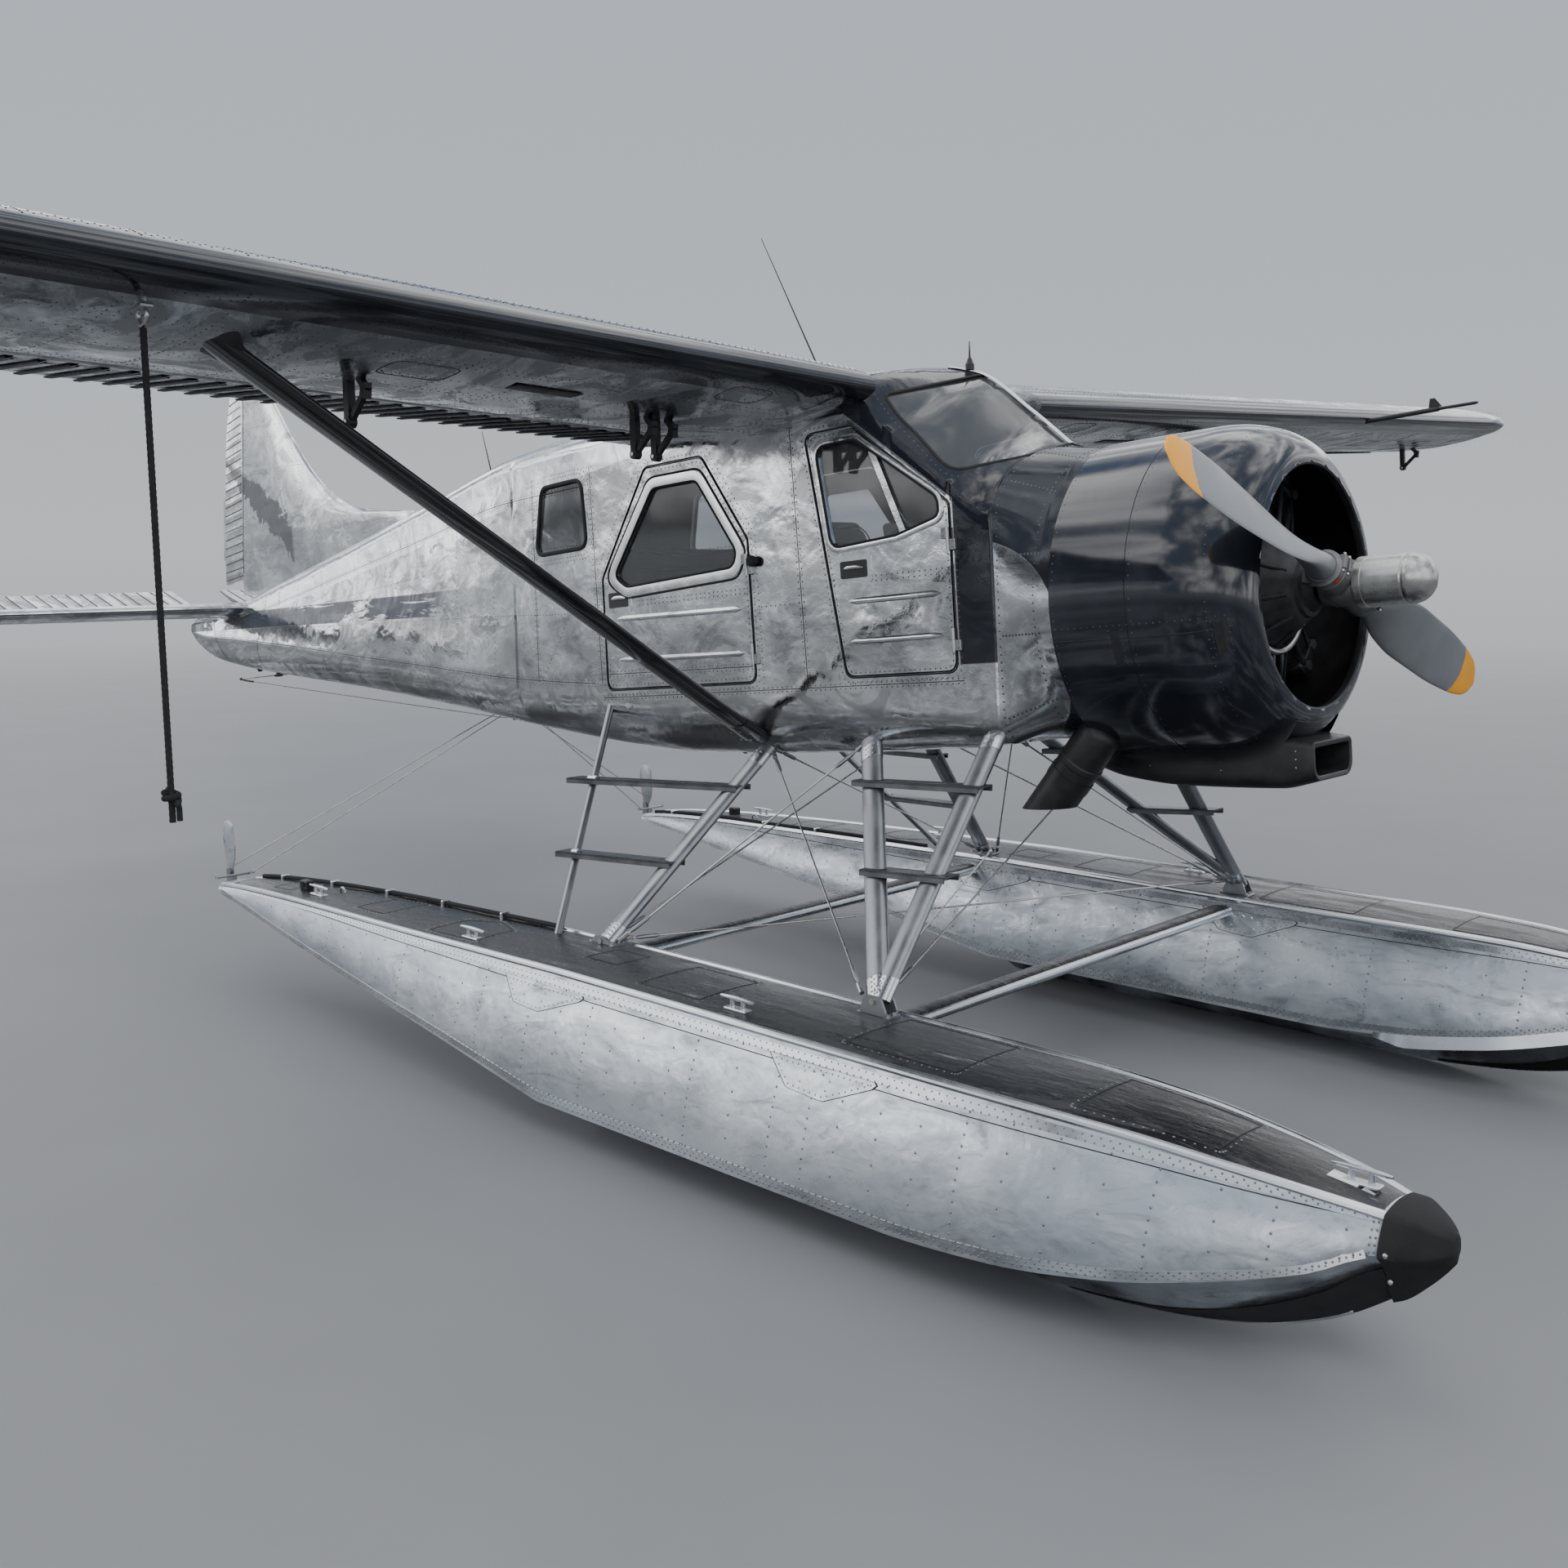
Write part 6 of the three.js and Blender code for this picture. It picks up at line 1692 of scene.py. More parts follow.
WING_SPAN_ROWS = [
    # span station, leading edge set back
    [0.50, 0.0],
    [6.30, 0.0],
    [6.70, 0.050],
    [6.95, 0.175],
]
WING_TIP_ROWS = [
    # span station, leading edge set back, trailing edge drawn in, thickness share
    [6.940, 0.172, 0.0, 1.0],
    [7.060, 0.265, 0.025, 0.95],
    [7.180, 0.395, 0.110, 0.82],
    [7.270, 0.560, 0.240, 0.6],
    [7.315, 0.760, 0.420, 0.3],
]


def foil_heights(fractions):
    """Upper and lower height at chord fractions, the nose drawn out round"""
    roots = np.sqrt(np.clip(fractions, 0, 1))
    table = [[math.sqrt(f), u, l] for f, u, l in AIRFOIL]
    rows = smooth_rows(table, roots)
    return rows[:, 1], rows[:, 2]


def wing_points(rows, side):
    """Rows of span station, distance behind the leading edge and height, in the airframe's frame"""
    rows = np.asarray(rows, float)
    c, n = math.cos(DIHEDRAL), math.sin(DIHEDRAL)
    s, behind, height = rows[..., 0], rows[..., 1], rows[..., 2]
    return np.stack([WING_LE_X - behind, side * (s * c - height * n), WING_LE_Z + s * n + height * c], -1)


def wing_normals(rows, side):
    c, n = math.cos(DIHEDRAL), math.sin(DIHEDRAL)
    rows = np.asarray(rows, float)
    return np.stack([-rows[..., 1], side * (rows[..., 0] * c - rows[..., 2] * n),
                     rows[..., 0] * n + rows[..., 2] * c], -1)


NOSE_STEPS = 22
AFT_STEPS = 8


def wing_ring(s, lead, drawn=0.0, thin=1.0, full=False, lips=True):
    """A section of the wing; full ones reach the trailing edge, others end ahead of flap or aileron"""
    chord = CHORD - lead - drawn
    cut = (FIXED_DEPTH - lead) / chord
    fractions = cut * (1 - np.cos(np.linspace(0, math.pi / 2, NOSE_STEPS)))
    upper, lower = foil_heights(fractions)
    behind, high, low = lead + fractions * chord, upper * chord * thin, lower * chord * thin
    aft = np.linspace(cut, 1, AFT_STEPS)[1:]
    if full:
        aft_high, aft_low = foil_heights(aft)
        aft_behind = lead + aft * chord
        top = [(s, b, h * chord * thin) for b, h in zip(aft_behind, aft_high)]
        foot = [(s, b, h * chord * thin) for b, h in zip(aft_behind, aft_low)]
    else:
        reach = np.linspace(FIXED_DEPTH, UPPER_LIP if lips else FIXED_DEPTH + 0.002, 4)[1:]
        lip = foil_heights((reach - lead) / chord)[0] * chord
        top = [(s, b, h) for b, h in zip(reach, lip)]
        top = top[:2] + [top[2], (s, reach[2], lip[2] - 0.003), (s, FIXED_DEPTH + 0.001, lip[0] - 0.006)]
        top += [(s, FIXED_DEPTH, 0.05)] * (len(aft) - len(top))
        reach = np.linspace(FIXED_DEPTH, LOWER_LIP if lips else FIXED_DEPTH + 0.002, 3)[1:]
        lip = foil_heights((reach - lead) / chord)[1] * chord
        foot = [(s, reach[0], lip[0]), (s, reach[1], lip[1]), (s, reach[1], lip[1] + 0.003),
                (s, FIXED_DEPTH + 0.001, lip[0] + 0.006)]
        foot += [(s, FIXED_DEPTH, 0.0)] * (len(aft) - len(foot))
    upper_run = [(s, b, h) for b, h in zip(behind, high)][::-1]
    lower_run = [(s, b, h) for b, h in zip(behind, low)][1:]
    return top[::-1] + upper_run + lower_run + foot


def wing_rings():
    rings = [wing_ring(s, 0.0, full=True) for s in (WING_ROOT, FLAP_START - 0.006)]
    spans = np.concatenate([np.linspace(FLAP_START - 0.006, 6.2, 26), np.linspace(6.28, 6.94, 14)])
    leads = smooth_rows(WING_SPAN_ROWS, spans)[:, 1]
    rings += [wing_ring(s, lead) for s, lead in zip(spans, leads)]
    tips = 6.94 + 0.375 * np.sin(np.linspace(0, math.pi / 2, 16))
    rings += [wing_ring(*row, full=True) for row in smooth_rows(WING_TIP_ROWS, tips)]
    return np.array(rings)


RIB_STATIONS = np.arange(0.80, 6.9, 0.305)
SPAR_LINES = (0.075, 0.110, 0.300, 0.335, 0.480, 0.620, 0.655, 0.900, 0.945)


def wing_rivets(wing, side):
    spots, normals = [], []
    stations = np.arange(0.62, 6.75, 0.034)
    for behind in SPAR_LINES:
        upper, lower = foil_heights([behind / CHORD])
        spots += [(s, behind, h * CHORD) for h in (upper[0], lower[0]) for s in stations]
        normals += [(0, 0, sign) for sign in (1, -1) for _ in stations]
    for station in RIB_STATIONS:
        for behind in np.arange(0.06, 0.95, 0.034):
            upper, lower = foil_heights([behind / CHORD])
            spots += [(station, behind, upper[0] * CHORD), (station, behind, lower[0] * CHORD)]
            normals += [(0, 0, 1), (0, 0, -1)]
    wing.rivets(wing_points(spots, side), wing_normals(normals, side), "rivet", 0.0046, 0.0016)


def under_line(wing, path, side, width, material, lift=0.0006):
    """A strip along a path of the wing's underside"""
    path = np.array(path, float)
    heights = foil_heights(path[:, 1] / CHORD)[1] * CHORD
    tangents = unit(np.gradient(path, axis=0))
    across = np.stack([-tangents[:, 1], tangents[:, 0]], -1)
    rows = []
    for k, drop in ((-0.5, -0.0005), (-0.45, lift), (0.45, lift), (0.5, -0.0005)):
        flat = path + across * k * width
        rows.append(np.column_stack([flat, heights - drop]))
    wing.grid(wing_points(rows, side), material)


UNDER_PANELS = [
    # span station, distance behind the leading edge, half sizes
    (1.15, 0.19, 0.11, 0.07),
    (2.45, 0.43, 0.13, 0.08),
    (3.95, 0.43, 0.13, 0.08),
    (5.10, 0.43, 0.11, 0.08),
    (6.00, 0.43, 0.11, 0.08),
]
DARK_PATCH = ((1.76, 0.405), (2.06, 0.490))


def under_details(wing, side):
    """Round-cornered access panels and a dark oblong patch under the wing"""
    for s, behind, half_s, half_b in UNDER_PANELS:
        corners = [(s - half_s, behind - half_b), (s + half_s, behind - half_b),
                   (s + half_s, behind + half_b), (s - half_s, behind + half_b)]
        ring = dense(rounded(corners, 0.05, 6), 0.02)
        under_line(wing, ring + ring[:1], side, 0.005, "seam")
        spots = [(a, b, foil_heights([b / CHORD])[1][0] * CHORD) for a, b in inset(ring, 0.014)[::2]]
        wing.rivets(wing_points(spots, side), wing_normals([(0, 0, -1)] * len(spots), side), "rivet",
                    0.0046, 0.0016)
    (low_s, low_b), (high_s, high_b) = DARK_PATCH
    middle = (low_b + high_b) / 2
    under_line(wing, [(s, middle) for s in np.linspace(low_s, high_s, 12)], side, high_b - low_b, "black",
               0.002)


STRUT_FOOT = (-2.475, 0.560, -0.474)
STRUT_HEAD = (-2.090, 3.210, 0.985)


def fairing(panel, side):
    """Dark oblong fairing that spreads the strut's head onto the wing"""
    foot, head = (np.array(p) * (1, side, 1) for p in (STRUT_FOOT, STRUT_HEAD))
    turn = np.linspace(0, TURN, 32, endpoint=False)
    run = unit(head - foot)
    rings = []
    for t in np.linspace(0, 1, 9):
        ease = t * t * (3 - 2 * t)
        half, thick = 0.084 + 0.098 * ease, 0.036 + 0.016 * ease
        centre = head - run * (0.135 * (1 - t)) + (0.028 * ease, 0, 0)
        behind = WING_LE_X - centre[0] - half * np.cos(turn)
        station = np.full(32, abs(centre[1]) / math.cos(DIHEDRAL)) + thick * np.sin(turn)
        lower = foil_heights(behind / CHORD)[1] * CHORD
        on_wing = wing_points(np.stack([station, behind, lower + 0.004], -1), side)
        free = centre + np.stack([half * np.cos(turn), side * thick * np.sin(turn), np.zeros(32)], -1)
        share = ease ** 1.5
        rings.append(free * (1 - share) + on_wing * share)
    panel.grid(np.array(rings), "black", round_v=True, caps=True)


def rib_strips(surface, stations, upper, lower, side, width, lift, material):
    """Raised strips across a moving surface; upper and lower give its skin at a station"""
    for s in stations:
        for skin, sign in ((upper, 1), (lower, -1)):
            if skin is None:
                continue
            base = skin(s)
            rows = []
            for shift, rise in ((-0.5, -0.001), (-0.42, lift), (0.42, lift), (0.5, -0.001)):
                rows.append([(s + shift * width, b, h + sign * rise) for b, h in base])
            surface.grid(wing_points(rows, side), material)


HINGE_TABS = (1.260, 2.570, 4.590, 6.440)
BRACKET_STATIONS = (1.150, 1.260, 2.550, 4.590, 6.440)


def wing(word, side):
    panel = Build()
    rings = wing_points(wing_rings(), side)
    leading = AFT_STEPS - 1 + NOSE_STEPS - 8, AFT_STEPS - 1 + NOSE_STEPS + 7
    panel.grid(rings[:, :leading[0] + 1], "wing")
    panel.grid(rings[:, leading[0]:leading[1] + 1], "edge")
    panel.grid(rings[:, leading[1]:], "wing")
    for end in (0, -1):
        panel.add(rings[end], [list(range(rings.shape[1]))], "wing")
    wing_rivets(panel, side)
    under_details(panel, side)
    fairing(panel, side)
    tilt = np.array(Matrix.Rotation(side * DIHEDRAL, 3, "X"))
    for s in HINGE_TABS:
        low, high = sorted((side * (s - 0.013), side * (s + 0.013)))
        panel.box((-(HINGE_BEHIND - HINGE_RADIUS) + 0.0006, low, HINGE_HEIGHT - 0.008),
                  (-FIXED_DEPTH + 0.01, high, HINGE_HEIGHT + 0.008), "steel", 0.002, tilt,
                  (WING_LE_X, 0, WING_LE_Z))
    for s in BRACKET_STATIONS:
        bracket(panel, s, side)
    if side > 0:
        pitot(panel)
    else:
        tie_ring(panel)
    panel.make(f"wing_panel_{word}", "airframe", "bare_metal", [f"wing_{word}"])


BRACKET_BARS = [
    # distance behind the leading edge and height at each end, half width, half depth
    ((0.700, -0.070), (0.704, -0.234), 0.016, 0.014),
    ((0.648, -0.070), (0.590, -0.142), 0.011, 0.011),
    ((0.594, -0.122), (0.600, -0.164), 0.015, 0.014),
    ((0.592, -0.140), (0.702, -0.234), 0.010, 0.010),
]


def bracket(panel, s, side):
    """A hinge bracket under the wing: an upright bar and a bent brace that meet at the pivot"""
    for (b1, h1), (b2, h2), half, deep in BRACKET_BARS:
        run = unit(np.array((b2 - b1, h2 - h1)))
        across = np.array((-run[1], run[0])) * half
        a, b = np.array((b1, h1)) - run * 0.006, np.array((b2, h2)) + run * 0.006
        corners = [a - across, b - across, b + across, a + across]
        low = wing_points([(s - deep, *p) for p in corners], side)
        push = wing_points([(s + deep, 0, 0)], side)[0] - wing_points([(s - deep, 0, 0)], side)[0]
        panel.slab(low, push, "black")
    eye = wing_points([(s - 0.016, 0.703, -0.232), (s + 0.016, 0.703, -0.232)], side)
    panel.tube(eye, 0.020, "black", 20)
    pivot = wing_points([(s - 0.022, 0.703, -0.232), (s + 0.022, 0.703, -0.232)], side)
    panel.tube(pivot, 0.008, "steel", 12)
    for b in (0.645, 0.702):
        foot = wing_points([(s - 0.024, b - 0.024, -0.092), (s + 0.024, b + 0.024, -0.080)], side)
        panel.box(np.minimum(*foot), np.maximum(*foot), "black", 0.002)


PITOT_STATION = 4.200


def pitot(panel):
    path = [(PITOT_STATION, 0.03, -0.020), (PITOT_STATION, -0.42, -0.012)]
    panel.tube(wing_points(path, 1), 0.015, "black", 16)
    path = [(PITOT_STATION, -0.40, -0.012), (PITOT_STATION, -0.63, -0.010), (PITOT_STATION, -0.65, -0.010)]
    panel.tube(wing_points(path, 1), [0.010, 0.010, 0.006], "black", 16)
    profile = ((-0.44, 0.0), (-0.40, 0.055), (-0.37, 0.055), (-0.36, 0.0))
    vane = [(PITOT_STATION - 0.002, b, h) for b, h in profile]
    panel.slab(wing_points(vane, 1), wing_points([(0.004, 0, 0)], 1)[0] - wing_points([(0, 0, 0)], 1)[0],
               "black")


TIE_RING = (0.245, 3.469, -0.0986)
RING_RADII = (0.026, 0.007)


def tie_ring(panel):
    behind, station, height = TIE_RING
    turn = np.linspace(0, TURN, 25)[:-1]
    path = [(station, behind + RING_RADII[0] * math.sin(t), height + RING_RADII[0] * math.cos(t))
            for t in turn]
    centre = np.array(wing_points([(station, behind, height)], -1)[0])
    ring = wing_points(path, -1)
    out = unit(ring - centre)
    across = np.cross(out, unit(np.roll(ring, -1, 0) - np.roll(ring, 1, 0)))
    tube = np.linspace(0, TURN, 10, endpoint=False)[None, :, None]
    rows = ring[:, None] + RING_RADII[1] * (np.cos(tube) * out[:, None] + np.sin(tube) * across[:, None])
    panel.grid(rows, "steel", round_u=True, round_v=True)
    corners = [(station - 0.02, behind - 0.035, -0.082), (station + 0.02, behind + 0.035, -0.071)]
    foot = wing_points(corners, -1)
    panel.box(np.minimum(*foot), np.maximum(*foot), "strut", 0.003)


BEAD_PITCH = 0.1016
BEAD_HALF = 0.016
BEAD_HEIGHT = 0.0045


def bead_heights(stations, start):
    """Heights of raised ribs pressed into the skin at even steps"""
    offset = (stations - start + BEAD_PITCH / 2) % BEAD_PITCH - BEAD_PITCH / 2
    return BEAD_HEIGHT * np.clip(1 - (offset / BEAD_HALF) ** 2, 0, 1)


def bead_stations(start, end):
    centres = np.arange(start + 0.06, end - 0.03, BEAD_PITCH)
    steps = np.concatenate([centres + k * BEAD_HALF for k in (-1.1, -0.6, 0, 0.6, 1.1)])
    return np.unique(np.concatenate([[start], steps, [end]]).round(5)), start + 0.06


def moving_section(s, ridge):
    """Flap or aileron: a round nose at the hinge, skins running flat to the trailing edge"""
    turn = np.linspace(math.pi / 2, -math.pi / 2, 13)
    nose = [(s, HINGE_BEHIND - HINGE_RADIUS * math.cos(t), HINGE_HEIGHT + HINGE_RADIUS * math.sin(t))
            for t in turn]
    t = np.array((1.0, 0.985, 0.93, 0.6, 0.25, 0.09, 0.04))
    fade = np.array((0, 0, 1, 1, 1, 1, 0)) * ridge
    back = CHORD - 0.001
    upper = [(s, HINGE_BEHIND + (back - HINGE_BEHIND) * a, HINGE_HEIGHT + HINGE_RADIUS
              + (0.003 - HINGE_HEIGHT - HINGE_RADIUS) * a + f) for a, f in zip(t, fade)]
    lower = [(s, HINGE_BEHIND + (back - HINGE_BEHIND) * a, HINGE_HEIGHT - HINGE_RADIUS
              + (-0.002 - HINGE_HEIGHT + HINGE_RADIUS) * a - f) for a, f in zip(t, fade)]
    return upper + nose + lower[::-1]


def moving_surface(name, word, side, start, end):
    stations, first = bead_stations(start, end)
    ridges = bead_heights(stations, first)
    rows = wing_points([moving_section(s, r) for s, r in zip(stations, ridges)], side)
    surface = Build()
    surface.grid(rows, "wing", round_v=True, caps=True)
    for sign in (1, -1):
        height = HINGE_HEIGHT + sign * (HINGE_RADIUS - 0.004)
        spots = [(s, HINGE_BEHIND + 0.02, height) for s in np.arange(start + 0.02, end, 0.04)]
        normals = wing_normals([(0, 0, sign)] * len(spots), side)
        surface.rivets(wing_points(spots, side), normals, "rivet", 0.0045, 0.0016)
    back = CHORD - 0.001

    def skin(sign, reach):
        foot, edge = HINGE_HEIGHT + sign * HINGE_RADIUS, 0.0005 + 0.0025 * sign
        return lambda s: [(HINGE_BEHIND + (back - HINGE_BEHIND) * a,
                           foot + (edge - foot) * a + sign * BEAD_HEIGHT * 0.9)
                          for a in (0.07, 0.5, reach)]

    ribs = np.arange(first, end - 0.03, BEAD_PITCH)
    # painted shade: dark strips across the flap or aileron stand for the shadow lines of its ribs and the
    # gaps between them
    rib_strips(surface, ribs, None, skin(-1, 1.0), side, 0.030, 0.0045, "rib")
    rib_strips(surface, ribs, skin(1, 0.96), None, side, 0.010, 0.0015, "rib")
    surface.make(f"{name}_surface_{word}", f"{name}_body_{word}", "bare_metal", [f"{name}_{word}"])


def wing_strut(word, side):
    foot, head = (np.array(p) * (1, side, 1) for p in (STRUT_FOOT, STRUT_HEAD))
    strut = Build()
    strut.foil(foot, head, 0.075, 0.030, "strut_paint", sides=28, steps=3)
    a, b = between(foot, head, 0.012), between(foot, head, 0.060)
    strut.foil(a, b, 0.083, 0.038, "strut_paint", sides=28)
    lower = between(foot, head, 0.0)
    strut.tube([lower + (0.0, -side * 0.03, -0.005), lower + (0, side * 0.05, 0.02)], 0.022, "steel", 14)
    out = unit(np.cross(head - foot, (1, 0, 0)))
    for t in (0.022, 0.048):
        for sign in (-1, 1):
            strut.rivets([between(foot, head, t) + out * 0.039 * sign + (dx, 0, 0)
                          for dx in (-0.03, 0.0, 0.03)], [out * sign] * 3, "steel", 0.006, 0.004)
    strut.make(f"wing_strut_bar_{word}", "airframe", "dark_paint", [f"wing_strut_{word}"])


nose_cowl()
engine_cowl()
cowl_scoop()
exhaust_pipe()
engine()
propeller_hub()
propeller_blade(1, BLADE_ANGLE)
propeller_blade(2, BLADE_ANGLE + math.pi)
for word, side in SIDES:
    wing(word, side)
    moving_surface("flap", word, side, FLAP_START, FLAP_END)
    moving_surface("aileron", word, side, FLAP_END + 0.015, AILERON_END - 0.015)
    wing_strut(word, side)


# Tail surfaces
RUDDER_FOOT = (-7.950, 0.665)
RUDDER_HEAD = (-7.760, 1.950)
RUDDER_CHORD = 0.570
RUDDER_TURN = math.radians(12)
TAIL_LE_X = -7.800
TAIL_Z = 0.470
ELEVATOR_HINGE_X = -8.370
ELEVATOR_CHORD = 0.440
ELEVATOR_UP = math.radians(25)
FIN_ROWS = [
    # height, leading edge x, half thickness at the rudder post
    [0.540, -5.700, 0.058],
    [0.905, -5.760, 0.056],
    [0.945, -5.960, 0.055],
    [0.985, -6.290, 0.053],
    [1.050, -6.550, 0.051],
    [1.125, -6.705, 0.049],
    [1.240, -6.865, 0.046],
    [1.345, -6.985, 0.044],
    [1.530, -7.150, 0.040],
    [1.775, -7.330, 0.035],
    [1.960, -7.460, 0.030],
    [2.060, -7.590, 0.020],
]
RUDDER_ROWS = [
    # height, chord share, nose half thickness
    [0.677, 0.97, 0.026],
    [0.725, 1.0, 0.026],
    [1.100, 0.97, 0.025],
    [1.550, 0.86, 0.023],
    [1.860, 0.70, 0.020],
    [2.010, 0.52, 0.016],
    [2.075, 0.30, 0.012],
]


def post_x(z):
    slope = (RUDDER_HEAD[0] - RUDDER_FOOT[0]) / (RUDDER_HEAD[1] - RUDDER_FOOT[1])
    return RUDDER_FOOT[0] + slope * (z - RUDDER_FOOT[1])


def turned(points, at, axis, angle):
    turn = np.array(Matrix.Rotation(angle, 3, Vector(axis)))
    return (np.asarray(points, float) - at) @ turn.T + at


def fin_ring(z, lead, half):
    rear = post_x(z) + 0.034
    nose = min(0.35, (lead - rear) * 0.45)
    turn = np.linspace(0, math.pi / 2, 9)
    side = [(lead - nose * (1 - math.cos(t)), half * math.sin(t), z) for t in turn]
    side += [(x, half, z) for x in np.linspace(side[-1][0], rear, 5)[1:]]
    return side + [(x, -y, z) for x, y, z in side[:0:-1]]


def fin_half(x, z):
    """Half thickness of the fin at a place of the side view"""
    _, lead, half = smooth_rows(FIN_ROWS, [z])[0]
    nose = min(0.35, (lead - post_x(z) - 0.034) * 0.45)
    share = np.clip((lead - x) / nose, 0, 1)
    return half * math.sin(math.acos(1 - share))


FIN_SEAMS = [
    # points of the side view, then how far along the rows of rivets stand apart
    ([(-7.190, 1.550), (-7.079, 1.330), (-7.040, 1.000), (-7.029, 0.680)], (0.0,)),
    ([(-7.750, 1.690), (-7.300, 1.665)], (0.0,)),
    ([(-7.780, 1.398), (-7.060, 1.362)], (0.0,)),
    ([(-7.800, 0.852), (-7.030, 0.846)], (0.0,)),
    ([(-6.530, 0.990), (-6.500, 0.800)], (-0.012, 0.012)),
    ([(-7.560, 1.870), (-7.340, 1.449), (-7.290, 0.860)], (0.0,)),
]


def fin():
    body = Build()
    levels = np.concatenate([np.linspace(0.56, 0.9, 6), np.linspace(0.905, 1.08, 30),
                             np.linspace(1.1, 2.06, 40)])
    rings = [fin_ring(*row) for row in smooth_rows(FIN_ROWS, levels)]
    top = np.array(rings[-1])
    for lift, share in ((0.006, 0.85), (0.010, 0.5), (0.011, 0.15)):
        rings.append((top * (1, share, 1) + (0, 0, lift)).tolist())
    body.grid(np.array(rings), "tail", round_v=True, caps=True)
    for sign in (-1, 1):
        for points, rows in FIN_SEAMS:
            xs, zs = laid_out(points, 0.026)
            halves = np.array([fin_half(x, z) for x, z in zip(xs, zs)])
            for shift in rows:
                spots = np.stack([xs + shift, sign * halves, zs], -1)
                body.rivets(spots, [(0, sign, 0)] * len(spots), "rivet", 0.0046, 0.0020)
        zs = np.arange(0.72, 2.03, 0.028)
        for shift in (0.046, 0.060):
            spots = [(post_x(z) + shift, sign * fin_half(post_x(z) + shift, z), z) for z in zs]
            body.rivets(spots, [(0, sign, 0)] * len(zs), "rivet", 0.0042, 0.0018)
        path = [(post_x(z) + 0.037, sign * (fin_half(post_x(z) + 0.04, z) + 0.0004), z) for z in zs]
        body.tube(path, 0.0018, "seam", 6)
    for z in (0.900, 1.450):
        x = post_x(z)
        body.box((x + 0.0275, -0.010, z - 0.005), (x + 0.05, 0.010, z + 0.005), "steel", 0.001)
    body.tube([(-7.60, 0, 2.055), (-7.60, 0, 2.075), (-7.60, 0, 2.085)], [0.022, 0.020, 0.004], "red", 14)
    body.make("fin_body", "airframe", "bare_metal", ["fin"])


def rudder_ring(z, share, half, ridge):
    turn = np.linspace(0, math.pi / 2, 7)
    x = post_x(z)
    side = [(x + half * math.cos(t), half * math.sin(t), z) for t in turn]
    tail = x - RUDDER_CHORD * share
    for a, fade in ((0.06, 0), (0.10, 1), (0.5, 1), (0.90, 1), (0.96, 0), (1.0, 0)):
        side.append((x + (tail - x) * a, half + (0.004 - half) * a + ridge * fade, z))
    return side + [(x, -y, z) for x, y, z in side[:0:-1]]


def rudder_edge(z):
    return post_x(z) - RUDDER_CHORD * smooth_rows(RUDDER_ROWS, [z])[0][1]


def rudder():
    low, high = RUDDER_ROWS[0][0], RUDDER_ROWS[-1][0]
    levels, first = bead_stations(low, high - 0.05)
    levels = np.concatenate([levels, np.linspace(high - 0.045, high, 8)])
    ridges = bead_heights(levels, first) * (levels < high - 0.06) * 0.3
    rows = smooth_rows(RUDDER_ROWS, levels)
    rings = np.array([rudder_ring(z, share, half, r) for (z, share, half), r in zip(rows, ridges)])
    at = np.array((RUDDER_FOOT[0], 0, RUDDER_FOOT[1]))
    axis = (RUDDER_HEAD[0] - RUDDER_FOOT[0], 0, RUDDER_HEAD[1] - RUDDER_FOOT[1])
    axis = Vector(axis).normalized()
    body = Build()
    body.grid(turned(rings, at, axis, -RUDDER_TURN), "tail", round_v=True, caps=True)
    # painted shade: dark strips along each rib stand for the shadow lines of the corrugated skin
    for z, share, half in smooth_rows(RUDDER_ROWS, np.arange(low + 0.030, high - 0.14, 0.0575)):
        x = post_x(z)
        reach = RUDDER_CHORD * share
        for sign in (-1, 1):
            strip = []
            for shift, rise in ((-0.0035, -0.001), (-0.003, 0.0028), (0.003, 0.0028), (0.0035, -0.001)):
                strip.append([(x - reach * a, sign * (half + (0.004 - half) * a + rise), z + shift)
                              for a in (0.09, 0.4, 0.7, 0.97)])
            body.grid(turned(np.array(strip), at, axis, -RUDDER_TURN), "rib")
    corners = ((0.86, 0.006), (0.86, -0.042), (1.30, -0.042), (1.30, 0.006))
    tab = [(rudder_edge(z) + shift, -0.003, z) for z, shift in corners]
    body.slab(turned(tab, at, axis, -RUDDER_TURN), (0, 0.006, 0), "tail")
    body.make("rudder_skin", "rudder_body", "bare_metal", ["rudder"])


TAIL_ROWS = [
    # span station, leading edge set back, half thickness
    [0.020, 0.0, 0.048],
    [2.250, 0.0, 0.038],
    [2.370, 0.060, 0.028],
    [2.415, 0.170, 0.012],
]
ELEVATOR_ROWS = [
    # span station, chord share, nose half thickness
    [0.190, 1.0, 0.030],
    [2.200, 0.86, 0.026],
    [2.400, 0.50, 0.016],
]


